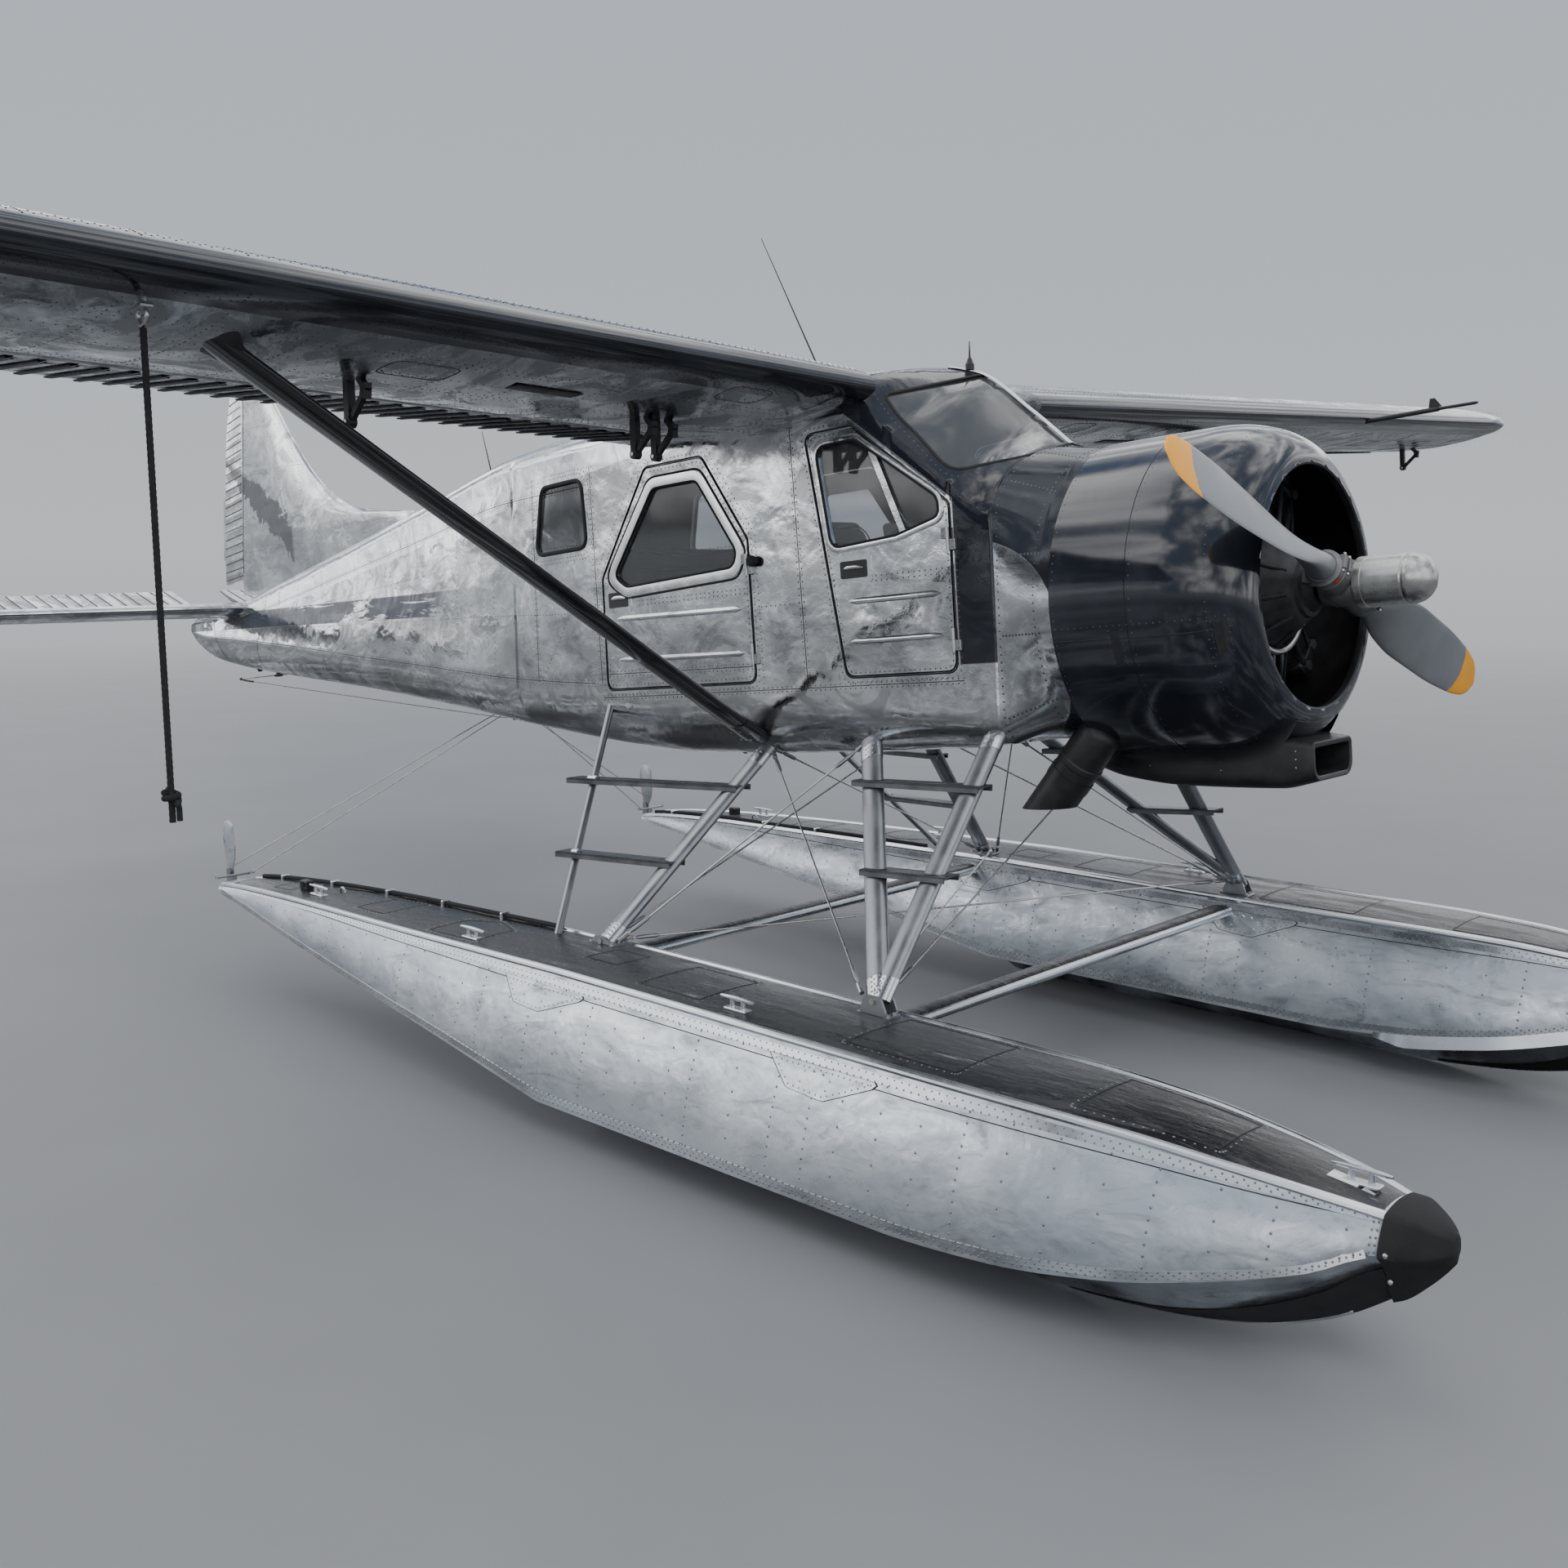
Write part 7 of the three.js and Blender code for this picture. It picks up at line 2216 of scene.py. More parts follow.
def tailplane(word, side):
    body = Build()
    stations = np.concatenate([np.linspace(0.02, 2.2, 14),
                               2.2 + 0.215 * np.sin(np.linspace(0.1, math.pi / 2, 10))])
    rings = []
    for y, back, half in smooth_rows(TAIL_ROWS, stations):
        rear, lead = ELEVATOR_HINGE_X + 0.042, TAIL_LE_X - back
        turn = np.linspace(0, math.pi / 2, 10)
        upper = [(lead + (rear - lead) * 0.35 * (1 - math.cos(t)), half * math.sin(t)) for t in turn]
        upper += [(lead + (rear - lead) * f, half * (1 - 0.2 * (f - 0.35) / 0.65)) for f in (0.5, 0.75, 1.0)]
        ring = upper + [(x, -h) for x, h in upper[:0:-1]]
        rings.append([(x, side * y, TAIL_Z + h) for x, h in ring])
    body.grid(np.array(rings), "tail", round_v=True, caps=True)
    for y in np.arange(0.35, 2.2, 0.26):
        half = smooth_rows(TAIL_ROWS, [y])[0][2]
        xs = np.arange(-8.30, -7.95, 0.04)
        for sign in (-1, 1):
            spots = [(x, side * y, TAIL_Z + sign * half * 0.93) for x in xs]
            body.rivets(spots, [(0, 0, sign)] * len(xs), "rivet", 0.0045, 0.003)
    for y, half in ((0.700, 0.029), (1.900, 0.0266)):
        low, high = sorted((side * (y - 0.013), side * (y + 0.013)))
        body.box((ELEVATOR_HINGE_X + half + 0.0006, low, TAIL_Z - 0.008),
                 (ELEVATOR_HINGE_X + 0.06, high, TAIL_Z + 0.008), "steel", 0.001)
    body.make(f"tailplane_skin_{word}", "airframe", "bare_metal", [f"tailplane_{word}"])


def elevator(word, side):
    stations, first = bead_stations(0.19, 2.20)
    ridges = bead_heights(stations, first) * 0.3
    tips = 2.2 + 0.2 * np.sin(np.linspace(0.15, math.pi / 2, 9))
    stations = np.concatenate([stations, tips])
    ridges = np.concatenate([ridges, np.zeros(len(tips))])
    rings = []
    for (y, share, half), ridge in zip(smooth_rows(ELEVATOR_ROWS, stations), ridges):
        turn = np.linspace(math.pi / 2, -math.pi / 2, 9)
        nose = [(ELEVATOR_HINGE_X + half * math.cos(t), half * math.sin(t)) for t in turn]
        reach = ELEVATOR_CHORD * share
        upper = [(ELEVATOR_HINGE_X - reach * a, half + (0.004 - half) * a + ridge * f)
                 for a, f in ((1.0, 0), (0.97, 0), (0.88, 1), (0.5, 1), (0.14, 1), (0.08, 0))]
        lower = [(x, -h) for x, h in upper[::-1]]
        rings.append([(x, side * y, TAIL_Z + h) for x, h in upper + nose + lower])
    at = np.array((ELEVATOR_HINGE_X, 0, TAIL_Z))
    body = Build()
    body.grid(turned(rings, at, (0, 1, 0), ELEVATOR_UP), "tail", round_v=True, caps=True)
    # painted shade: dark strips along each rib stand for the shadow lines of the corrugated skin
    for y, share, half in smooth_rows(ELEVATOR_ROWS, np.arange(first, 2.21, BEAD_PITCH)):
        reach = ELEVATOR_CHORD * share
        for sign in (-1, 1):
            strip = []
            for shift, rise in ((-0.0045, -0.001), (-0.004, 0.0030), (0.004, 0.0030), (0.0045, -0.001)):
                strip.append([(ELEVATOR_HINGE_X - reach * a, side * (y + shift),
                               TAIL_Z + sign * (half + (0.004 - half) * a + rise))
                              for a in (0.10, 0.4, 0.7, 0.975)])
            body.grid(turned(np.array(strip), at, (0, 1, 0), ELEVATOR_UP), "rib")
    body.make(f"elevator_skin_{word}", "elevator_body", "bare_metal", [f"elevator_{word}"])


# Floats, in the ground frame with x from the propeller plane and y from the float's own middle
FLOAT_Y = 1.512
DECK_CROWN = 0.014
STEP_X = -2.350
STERN_X = -5.420
FORE_STATIONS = [
    # x, deck z, deck half width, chine half width, chine z, keel z
    [1.010, 0.548, 0.040, 0.052, 0.480, 0.420],
    [0.900, 0.580, 0.090, 0.125, 0.480, 0.318],
    [0.740, 0.605, 0.135, 0.205, 0.405, 0.205],
    [0.500, 0.630, 0.180, 0.285, 0.330, 0.105],
    [0.200, 0.652, 0.215, 0.345, 0.255, 0.040],
    [-0.200, 0.660, 0.240, 0.370, 0.190, 0.004],
    [-0.600, 0.660, 0.245, 0.375, 0.165, 0.0],
    [-2.350, 0.660, 0.245, 0.375, 0.160, 0.0],
]
AFT_STATIONS = [
    [-2.350, 0.660, 0.245, 0.375, 0.160, 0.080],
    [-3.300, 0.640, 0.235, 0.345, 0.300, 0.205],
    [-4.500, 0.605, 0.180, 0.235, 0.425, 0.350],
    [-5.150, 0.565, 0.130, 0.155, 0.490, 0.440],
    [-5.420, 0.533, 0.098, 0.115, 0.505, 0.466],
]
DECK_STEPS = 6
SIDE_STEPS = 8
BOTTOM_STEPS = 6


def side_curve(deck, deck_half, chine_half, chine, share):
    """Half width and height down a float's side, 0 at the deck and 1 at the chine"""
    t = np.asarray(share, float)
    bulge = 0.22 * (1 - (2 * t - 1) ** 2)
    return deck_half + (chine_half - deck_half) * np.clip(t + bulge, 0, 1.02), deck + (chine - deck) * t


def float_half(row):
    _, deck, deck_half, chine_half, chine, keel = row
    points = []
    for t in np.linspace(0, 1, DECK_STEPS + 1):
        points.append((deck_half * t, deck + DECK_CROWN * (1 - t * t)))
    for t in np.linspace(0, 1, SIDE_STEPS + 1)[1:]:
        points.append(side_curve(deck, deck_half, chine_half, chine, t))
    for t in np.linspace(0, 1, BOTTOM_STEPS + 1)[1:]:
        hollow = 0.10 * (chine - keel) * math.sin(math.pi * t)
        points.append((chine_half * (1 - t), chine + (keel - chine) * t + hollow * (t < 0.6)))
    return points


def float_rings(stations, xs):
    rings = []
    for row in smooth_rows(stations, xs):
        half = float_half(row)
        ring = half + [(-y, z) for y, z in half[-2:0:-1]]
        rings.append([(row[0], y, z) for y, z in ring])
    return np.array(rings)


def moved(points, side):
    return np.asarray(points, float) + (0, side * FLOAT_Y, 0)


def float_row(x):
    stations = FORE_STATIONS if x > STEP_X else AFT_STATIONS
    return smooth_rows(stations, [x])[0]


def side_spot(x, z, sign, lift=0.0):
    """Spot on a float's side at a height, and its normal"""
    _, deck, deck_half, chine_half, chine, _ = float_row(x)
    share = (deck - z) / (deck - chine)
    y, z = side_curve(deck, deck_half, chine_half, chine, share)
    y2, z2 = side_curve(deck, deck_half, chine_half, chine, share + 0.02)
    out = unit(np.array((0, -(z2 - z), (y2 - y))))
    return (x, sign * (y + lift * out[1]), z + lift * out[2]), (0, sign * out[1], out[2])


def deck_spot(x, y, lift=0.0):
    _, deck, half, *_ = float_row(x)
    return x, y, deck + DECK_CROWN * (1 - (y / half) ** 2) + lift


def edge_line(start, end, pitch, share, sign, lift=0.0):
    """Spots along a float's side at a share of its height, with their normals"""
    spots, normals = [], []
    for x in np.arange(start, end, pitch):
        _, deck, deck_half, chine_half, chine, _ = float_row(x)
        y, z = side_curve(deck, deck_half, chine_half, chine, share)
        y2, z2 = side_curve(deck, deck_half, chine_half, chine, share + 0.02)
        out = unit(np.array((0, -(z2 - z), (y2 - y))))
        spots.append((x, sign * (y + lift * out[1]), z + lift * out[2]))
        normals.append((0, sign * out[1], out[2]))
    return spots, normals


def frame_line(x, pitch, sign):
    """Spots down a float's side at one station"""
    _, deck, _, _, chine, _ = float_row(x)
    heights = np.arange(deck - 0.055, chine + 0.035, -pitch)
    found = [side_spot(x, z, sign) for z in heights]
    return [spot for spot, _ in found], [normal for _, normal in found]


FRAMES = (0.648, 0.323, -0.315, -0.937, -1.097, -1.507, -2.097, -2.457, -2.780, -3.390, -4.070, -4.710,
          -5.050)


def float_rivets(hull, side):
    """Rivets of the edge strips, close ones on the frames and sparse ones between"""
    for sign in (-1, 1):
        for share, start in ((0.062, 0.0), (0.100, 0.015), (0.912, 0.0), (0.938, 0.015), (0.964, 0.0)):
            spots, normals = edge_line(-5.30 + start, 0.885, 0.030, share, sign, 0.0018)
            hull.rivets(moved(spots, side), normals, "stud", 0.0046, 0.0024)
        for x in FRAMES:
            spots, normals = frame_line(x, 0.033, sign)
            hull.rivets(moved(spots, side), normals, "stud", 0.0056, 0.0030)
        for x in np.arange(-4.88, 0.85, 0.163):
            if min(abs(x - f) for f in FRAMES) > 0.06:
                spots, normals = frame_line(x, 0.080, sign)
                hull.rivets(moved(spots, side), normals, "stud", 0.0056, 0.0030)
        end = [side_spot(0.893 - 0.012 * k, z, sign) for k in (0, 1) for z in np.arange(0.565, 0.488, -0.019)]
        hull.rivets(moved([s for s, _ in end], side), [n for _, n in end], "stud", 0.0050, 0.0022)


def ribbon(build, spots, normals, across, width, lift, material):
    """A thin strip laid along spots, standing a little above the surface"""
    spots, normals, across = (np.asarray(a, float) for a in (spots, normals, across))
    section = ((-0.5, -0.001), (-0.48, lift), (0.48, lift), (0.5, -0.001))
    rows = [spots + across * k * width + normals * h for k, h in section]
    build.grid(np.stack(rows, 1), material)


def gunwale(hull, side, sign):
    """Bright roll along the deck's edge over a riveted strip, and the strip along the chine"""
    edge = [(x, sign * (float_row(x)[2] - 0.006), float_row(x)[1] - 0.004)
            for x in np.arange(-5.40, 0.90, 0.045)]
    hull.tube(moved(edge, side), 0.0165, "gunwale", 12)
    for share, width, lift, material in ((0.078, 0.030, 0.0018, "gunwale"), (0.145, 0.004, 0.0008, "seam"),
                                         (0.938, 0.026, 0.0018, "gunwale")):
        spots, normals = edge_line(-5.38, 0.90, 0.045, share, sign)
        spots, normals = np.array(spots), np.array(normals)
        across = np.cross(normals, unit(np.gradient(spots, axis=0)))
        ribbon(hull, moved(spots, side), normals, across, width, lift, material)


def deck_strip(hull, side, start, end, share=(-0.88, 0.88)):
    rows = []
    for x in np.linspace(start, end, 60):
        half = float_row(x)[2]
        rows.append([deck_spot(x, half * t, 0.0016) for t in np.linspace(*share, 11)])
    hull.grid(moved(rows, side), "grip")


def deck_panel(hull, side, outline):
    """A panel of the deck, drawn by its seam and a row of bright rivets"""
    corners = [(x, y * float_row(x)[2]) for x, y in outline]
    ring = dense(rounded(corners, 0.02, 3), 0.030)
    spots = [deck_spot(x, y, 0.0018) for x, y in ring]
    normals = [(0, 0, 1)] * len(spots)
    hull.rivets(moved(spots, side), normals, "stud", 0.0048, 0.0022)
    inner = np.array([deck_spot(x, y, 0.0) for x, y in inset(ring, 0.016)])
    inner = np.vstack([inner, inner[:1]])
    across = np.cross((0, 0, 1.0), unit(np.gradient(inner, axis=0)))
    ribbon(hull, moved(inner, side), np.array([(0, 0, 1.0)] * len(inner)), across, 0.004, 0.0026, "seam")


DECK_PANELS = [
    # corners: place along the float, share of the deck's half width
    [(-0.030, -0.70), (-0.030, 0.84), (0.455, 0.84), (0.455, -0.70)],
    [(-0.930, -0.70), (-0.930, 0.84), (-0.440, 0.84), (-0.440, -0.70)],
    [(-1.980, -0.70), (-1.980, 0.70), (-1.620, 0.70), (-1.620, -0.70)],
    [(-2.420, -0.30), (-2.420, 0.55), (-2.200, 0.55), (-2.200, -0.30)],
    [(-3.370, -0.78), (-3.370, 0.20), (-3.200, 0.55), (-3.000, 0.20), (-3.000, -0.78)],
    [(-4.050, -0.62), (-4.050, 0.62), (-3.780, 0.62), (-3.780, -0.62)],
    [(-4.900, -0.60), (-4.900, 0.60), (-4.700, 0.60), (-4.700, -0.60)],
]
SIDE_DOUBLERS = [
    # corners along the float and in height, then the bolts of the fitting inside
    ([(-1.161, 0.606), (-1.055, 0.515), (-0.890, 0.505), (-0.692, 0.588), (-0.682, 0.606)], -0.930),
    ([(-2.660, 0.600), (-2.565, 0.508), (-2.405, 0.500), (-2.170, 0.582), (-2.160, 0.600)], -2.440),
]


def cleat(hull, side, x, y):
    _, deck, half, *_ = float_row(x)
    z = deck + DECK_CROWN * (1 - (y / half) ** 2)
    base = moved([(x, y, z + 0.003)], side)[0]
    hull.box((-0.055, -0.020, -0.004), (0.055, 0.020, 0.006), "gunwale", 0.003, None, base)
    for shift in (-0.028, 0.028):
        post = base + (shift, 0, 0)
        hull.tube([post, post + (0, 0, 0.038)], [0.010, 0.008], "gunwale", 12)
    horn = [base + (t, 0, 0.040 - 0.10 * abs(t) ** 1.0 * 0.12) for t in np.linspace(-0.085, 0.085, 13)]
    radii = 0.009 * np.sqrt(np.clip(1 - (np.linspace(-1, 1, 13)) ** 2 * 0.75, 0.1, 1))
    hull.tube(horn, radii, "gunwale", 10)


def bow_plates(hull, side):
    """Two small blank plates on the deck near the bow"""
    for x0, x1, y0, y1, material in ((0.715, 0.800, -0.030, 0.018, "white"),
                                     (0.815, 0.850, -0.034, -0.006, "chrome")):
        top = [deck_spot(x, y * -side, 0.0032) for x, y in ((x0, y0), (x0, y1), (x1, y1), (x1, y0))]
        foot = [(x, y, z - 0.004) for x, y, z in top]
        hull.grid(moved([foot, top], side), material, round_v=True)
        hull.add(moved(top, side), [[0, 1, 2, 3]], material)


def stern_gear(hull, side):
    """Pulley block, ring eye and the hose along the inner edge of the deck"""
    x, y, z = moved([deck_spot(-4.660, 0.02 * side)], side)[0]
    hull.box((x - 0.035, y - 0.022, z - 0.002), (x + 0.035, y + 0.022, z + 0.045), "black", 0.006)
    hull.tube([(x, y - 0.026, z + 0.026), (x, y + 0.026, z + 0.026)], 0.016, "rubber", 14)
    eye_ring(hull, side, -4.420, -0.04 * side)
    path = []
    for x in np.arange(-5.30, -2.85, 0.06):
        y = -side * (float_row(x)[2] - 0.030 - 0.006 * math.sin(x * 5.0))
        path.append((x, y, deck_spot(x, y)[2] + 0.014))
    hull.tube(moved(path, side), 0.0115, "rubber", 10)
    for x in np.arange(-5.1, -2.9, 0.45):
        y = -side * (float_row(x)[2] - 0.030 - 0.006 * math.sin(x * 5.0))
        spot = moved([(x, y, deck_spot(x, y)[2])], side)[0]
        hull.box((-0.010, -0.024, -0.002), (0.010, 0.024, 0.028), "gunwale", 0.004, None, spot)


CLEATS = [
    # place along the float, share of the half width towards the outer side
    (0.800, 0.0),
    (-1.440, 0.62),
    (-3.060, 0.62),
    (-4.450, 0.40),
]


def eye_ring(hull, side, x, y):
    _, deck, half, *_ = float_row(x)
    z = deck + DECK_CROWN * (1 - (y / half) ** 2)
    turn = np.linspace(0, math.pi, 13)
    path = moved([(x + 0.022 * math.cos(t), y, z + 0.022 * math.sin(t)) for t in turn], side)
    hull.tube(path, 0.005, "steel", 8)


def spray_rail(hull, side, sign):
    """Bent strip that hangs from the inner chine of the bow"""
    rows = []
    for x in np.linspace(0.86, -0.26, 40):
        _, _, _, half, chine, _ = float_row(x)
        deep = 0.045 * min(1, (0.90 - x) / 0.3, (x + 0.28) / 0.15)
        rows.append([(x, sign * (half - 0.012), chine - 0.004), (x, sign * (half + 0.014), chine - deep),
                     (x, sign * (half + 0.018), chine - deep), (x, sign * (half + 0.003), chine + 0.010)])
    hull.grid(moved(rows, side), "gunwale", round_v=True)


def keel_strip(hull, side):
    for stations, start, end in ((FORE_STATIONS, 0.80, STEP_X + 0.01),
                                 (AFT_STATIONS, STEP_X - 0.03, STERN_X + 0.03)):
        rows = smooth_rows(stations, np.linspace(start, end, 50))
        path = [(x, 0, max(keel + 0.006, 0.0105)) for x, _, _, _, _, keel in rows]
        hull.tube(moved(path, side), 0.010, "gunwale", 8)
    # A black rubber plate under the bow: partly the bumper's rubber lip along the keel, partly painted shade
    # for the float's shaded bottom, so it is drawn wide forward
    rows = []
    for x in np.linspace(0.9045, -0.10, 36):
        _, _, _, half, chine, keel = float_row(x)
        wide = half * (0.10 + 0.62 * max(0, (x + 0.10) / 0.995) ** 1.6)
        ys = np.linspace(-wide, wide, 9)
        skin = [keel + (chine - keel) * abs(y) / half - 0.004 for y in ys]
        rows.append([(x, y, max(z, 0.001)) for y, z in zip(ys, skin)])
    hull.grid(moved(rows, side), "rubber")


def doubler(hull, side, sign, outline, bolts_x):
    """A riveted plate that hangs from the gunwale, with the bolts of the fitting inside it"""
    lift = 0.0022
    xs, zs = laid_out(outline, 0.022, closed=True)
    middle_x, middle_z = np.mean(xs), 0.575

    def ring(share, lift):
        places = zip(middle_x + (xs - middle_x) * share, middle_z + (zs - middle_z) * share)
        return np.array([side_spot(x, z, sign, lift)[0] for x, z in places])

    levels = [ring(1.006, -0.0006), ring(1.0, lift), ring(0.7, lift), ring(0.4, lift), ring(0.1, lift)]
    hull.grid(moved(levels, side), "float", round_v=True, caps=True)
    seam = [ring(1.035, 0.0), ring(1.03, 0.0009), ring(1.005, 0.0009)]
    hull.grid(moved(seam, side), "seam", round_v=True)
    bolted = zip(*laid_out(inset(outline, 0.012), 0.026, closed=True))
    inner = [side_spot(x, z, sign, lift) for x, z in bolted]
    hull.rivets(moved([s for s, _ in inner], side), [n for _, n in inner], "stud", 0.0046, 0.0022)
    for x, z, size in ((-0.02, 0.590, 0.0095), (0.022, 0.588, 0.0095), (-0.06, 0.582, 0.006),
                       (0.055, 0.572, 0.006), (0.045, 0.540, 0.006), (-0.07, 0.545, 0.006)):
        spot, normal = side_spot(bolts_x + x, z, sign, lift)
        hull.rivets(moved([spot], side), [normal], "bolt", size, size * 0.7)


def stern_lugs(hull, side):
    for low, high in ((0.470, 0.482), (0.522, 0.534)):
        y = side * FLOAT_Y
        hull.box((STERN_X - 0.046, y - 0.014, low), (STERN_X + 0.05, y + 0.014, high), "strut", 0.002)


def float_hull(word, side):
    hull = Build()
    fore = np.concatenate([np.linspace(0.905, 0.5, 20), np.linspace(0.46, STEP_X + 0.001, 50)])
    aft = np.linspace(STEP_X, STERN_X, 50)
    fore_rings = moved(float_rings(FORE_STATIONS, fore), side)
    aft_rings = moved(float_rings(AFT_STATIONS, aft), side)
    hull.grid(fore_rings, "float", round_v=True, caps=True)
    hull.grid(aft_rings, "float", round_v=True, caps=True)
    float_rivets(hull, side)
    for sign in (-1, 1):
        gunwale(hull, side, sign)
        for outline, bolts_x in SIDE_DOUBLERS:
            doubler(hull, side, sign, outline, bolts_x)
    spray_rail(hull, side, -side)
    bow_plates(hull, side)
    deck_strip(hull, side, 0.893, -5.30)
    for outline in DECK_PANELS:
        deck_panel(hull, side, [(x, y * -side) for x, y in outline])
    for x, share in CLEATS:
        cleat(hull, side, x, float_row(x)[2] * share * side)
    keel_strip(hull, side)
    stern_lugs(hull, side)
    stern_gear(hull, side)
    hull.make(f"float_hull_{word}", "airframe", "float_metal", [f"float_{word}"], GROUND, angle=28)


def bow_bumper(word, side):
    """Rubber nose over the float's bow"""
    rows = [[1.065, 0.530, 0.014, 0.018, 0.500, 0.470], [1.045, 0.546, 0.040, 0.050, 0.494, 0.440],
            [1.000, 0.570, 0.072, 0.090, 0.484, 0.385], [0.940, 0.588, 0.098, 0.128, 0.480, 0.325],
            [0.905, 0.588, 0.098, 0.135, 0.480, 0.305]]
    xs = np.concatenate([[1.064, 1.058], np.linspace(1.045, 0.905, 12)])
    nose = Build()
    rings = float_rings(rows, xs)
    nose.grid(moved(rings, side), "rubber", round_v=True, caps=True)
    for sign in (-1, 1):
        spots = [(0.925, sign * 0.110, 0.545), (0.925, sign * 0.132, 0.49), (0.925, sign * 0.085, 0.40)]
        nose.rivets(moved(spots, side), [(0, sign, 0.1)] * 3, "steel", 0.008, 0.006)
    nose.make(f"bow_rubber_{word}", "airframe", "black_rubber", [f"bow_bumper_{word}"], GROUND, angle=50)


# Struts between floats and fuselage, given in the airframe's frame and drawn in the ground frame
FRONT_FITTING = (-1.178, 1.348, -1.366)
AFT_FITTING = (-2.671, 1.348, -1.262)
FRONT_STRUT_HEADS = ((-1.160, 0.545, -0.450), (-1.820, 0.540, -0.490))
REAR_STRUT_HEAD = (-2.420, 0.545, -0.515)
LADDER_FOOT = (-2.990, 1.350, -1.240)
LADDER_HEAD = (-3.440, 0.550, -0.250)
DECK_Z = 0.660
STEP_HALF = (0.048, 0.012)
BLOCK_HALF_LENGTH = 0.075
BLOCK_HALF_WIDTH = 0.036
FRONT_STEPS = ((0.455, 0.43, 1.3), (0.81, 0.76, 1.12))
REAR_STEPS = ((0.3, 0.385, 1.06), (0.61, 0.78, 1.06))


def to_ground(point, side=1):
    x, y, z = point
    c, s = math.cos(NOSE_UP), math.sin(NOSE_UP)
    return np.array((x * c - z * s, side * y, x * s + z * c + THRUST_Z))


def deck_block(build, foot):
    """Bolted plate and fork that a strut stands on"""
    x, y, z = foot
    length, width = BLOCK_HALF_LENGTH, BLOCK_HALF_WIDTH
    low, high = (x - length, y - width, DECK_Z - 0.004), (x + length, y + width, DECK_Z + 0.016)
    build.box(low, high, "strut", 0.003)
    for sign in (-1, 1):
        outer, inner = y + sign * width, y + sign * (width - 0.009)
        side = [(x - length * 0.92, DECK_Z + 0.01), (x + length * 0.92, DECK_Z + 0.01),
                (x + 0.034, z + 0.025), (x - 0.034, z + 0.025)]
        outline = [(a, min(outer, inner), b) for a, b in rounded(side, 0.018, 4)]
        build.slab(outline, (0, 0.009, 0), "strut")
        build.tube([(x, outer - sign * 0.004, z + 0.004), (x, outer + sign * 0.006, z + 0.004)], 0.013,
                   "steel", 6)
    for dx in (-0.058, 0.058):
        for dy in (-0.018, 0.018):
            build.lathe([(0, 0.0), (0, 0.009), (0.010, 0.009), (0.011, 0.0)], "steel", 6,
                        (x + dx, y + dy, DECK_Z + 0.015), (0, 0, 1))


def leg(build, foot, head):
    build.foil(foot, head, 0.048, 0.026, "strut", sides=24, steps=3)
    for low, high in ((0.0, 0.075), (0.91, 0.965)):
        build.foil(between(foot, head, low), between(foot, head, high), 0.050, 0.028, "gunwale", sides=24)
    run = unit(head - foot)
    out = unit(np.cross(run, (1, 0, 0)))
    chord = unit(np.cross(out, run))
    for t in (0.020, 0.036, 0.052, 0.068, 0.918, 0.938, 0.957):
        for sign in (-1, 1):
            for shift in (-0.014, 0.014):
                spot = between(foot, head, t) + out * 0.0275 * sign + chord * shift
                build.rivets([spot], [out * sign], "steel", 0.0055, 0.004)


def plank(build, a, b, past):
    """A step of bent sheet, lips down, with a black grip on top"""
    half, rise = STEP_HALF
    ends = between(a, b, -0.15), between(a, b, past)
    for low, high, left, right, material in (
            (rise - 0.006, rise, -half, half, "step"), (-rise, rise - 0.001, -half, -half + 0.006, "step"),
            (-rise, rise - 0.001, half - 0.006, half, "step"),
            (rise - 0.001, rise + 0.0015, -half + 0.007, half - 0.007, "grip")):
        points = [(x, y + s, z + h) for x, y, z in ends for s in (left, right) for h in (low, high)]
        build.hull(points, material)


def front_struts(word, side):
    build = Build()
    foot = to_ground(FRONT_FITTING, side)
    heads = [to_ground(p, side) for p in FRONT_STRUT_HEADS]
    for head in heads:
        leg(build, foot, head)
    deck_block(build, foot)
    for rear, front, past in FRONT_STEPS:
        plank(build, between(foot, heads[1], rear), between(foot, heads[0], front), past)
    build.make(f"front_legs_{word}", "airframe", "strut_metal", [f"front_strut_{word}"], GROUND)


def rear_struts(word, side):
    build = Build()
    foot, head = to_ground(AFT_FITTING, side), to_ground(REAR_STRUT_HEAD, side)
    rail_foot, rail_head = to_ground(LADDER_FOOT, side), to_ground(LADDER_HEAD, side)
    leg(build, foot, head)
    deck_block(build, foot)
    build.tube([between(rail_foot, rail_head, t) for t in (-0.10, 0.99)], 0.017, "strut", 16)
    base = between(rail_foot, rail_head, -0.10)
    build.box(base - (0.04, 0.03, 0.010), base + (0.04, 0.03, 0.012), "gunwale", 0.003)
    for rear, front, past in REAR_STEPS:
        low, high = between(rail_foot, rail_head, rear), between(foot, head, front)
        plank(build, low, high, past)
        build.tube([between(low, high, -0.03), between(low, high, 0.03)], 0.024, "gunwale", 16)
    build.make(f"rear_legs_{word}", "airframe", "strut_metal", [f"rear_strut_{word}"], GROUND)


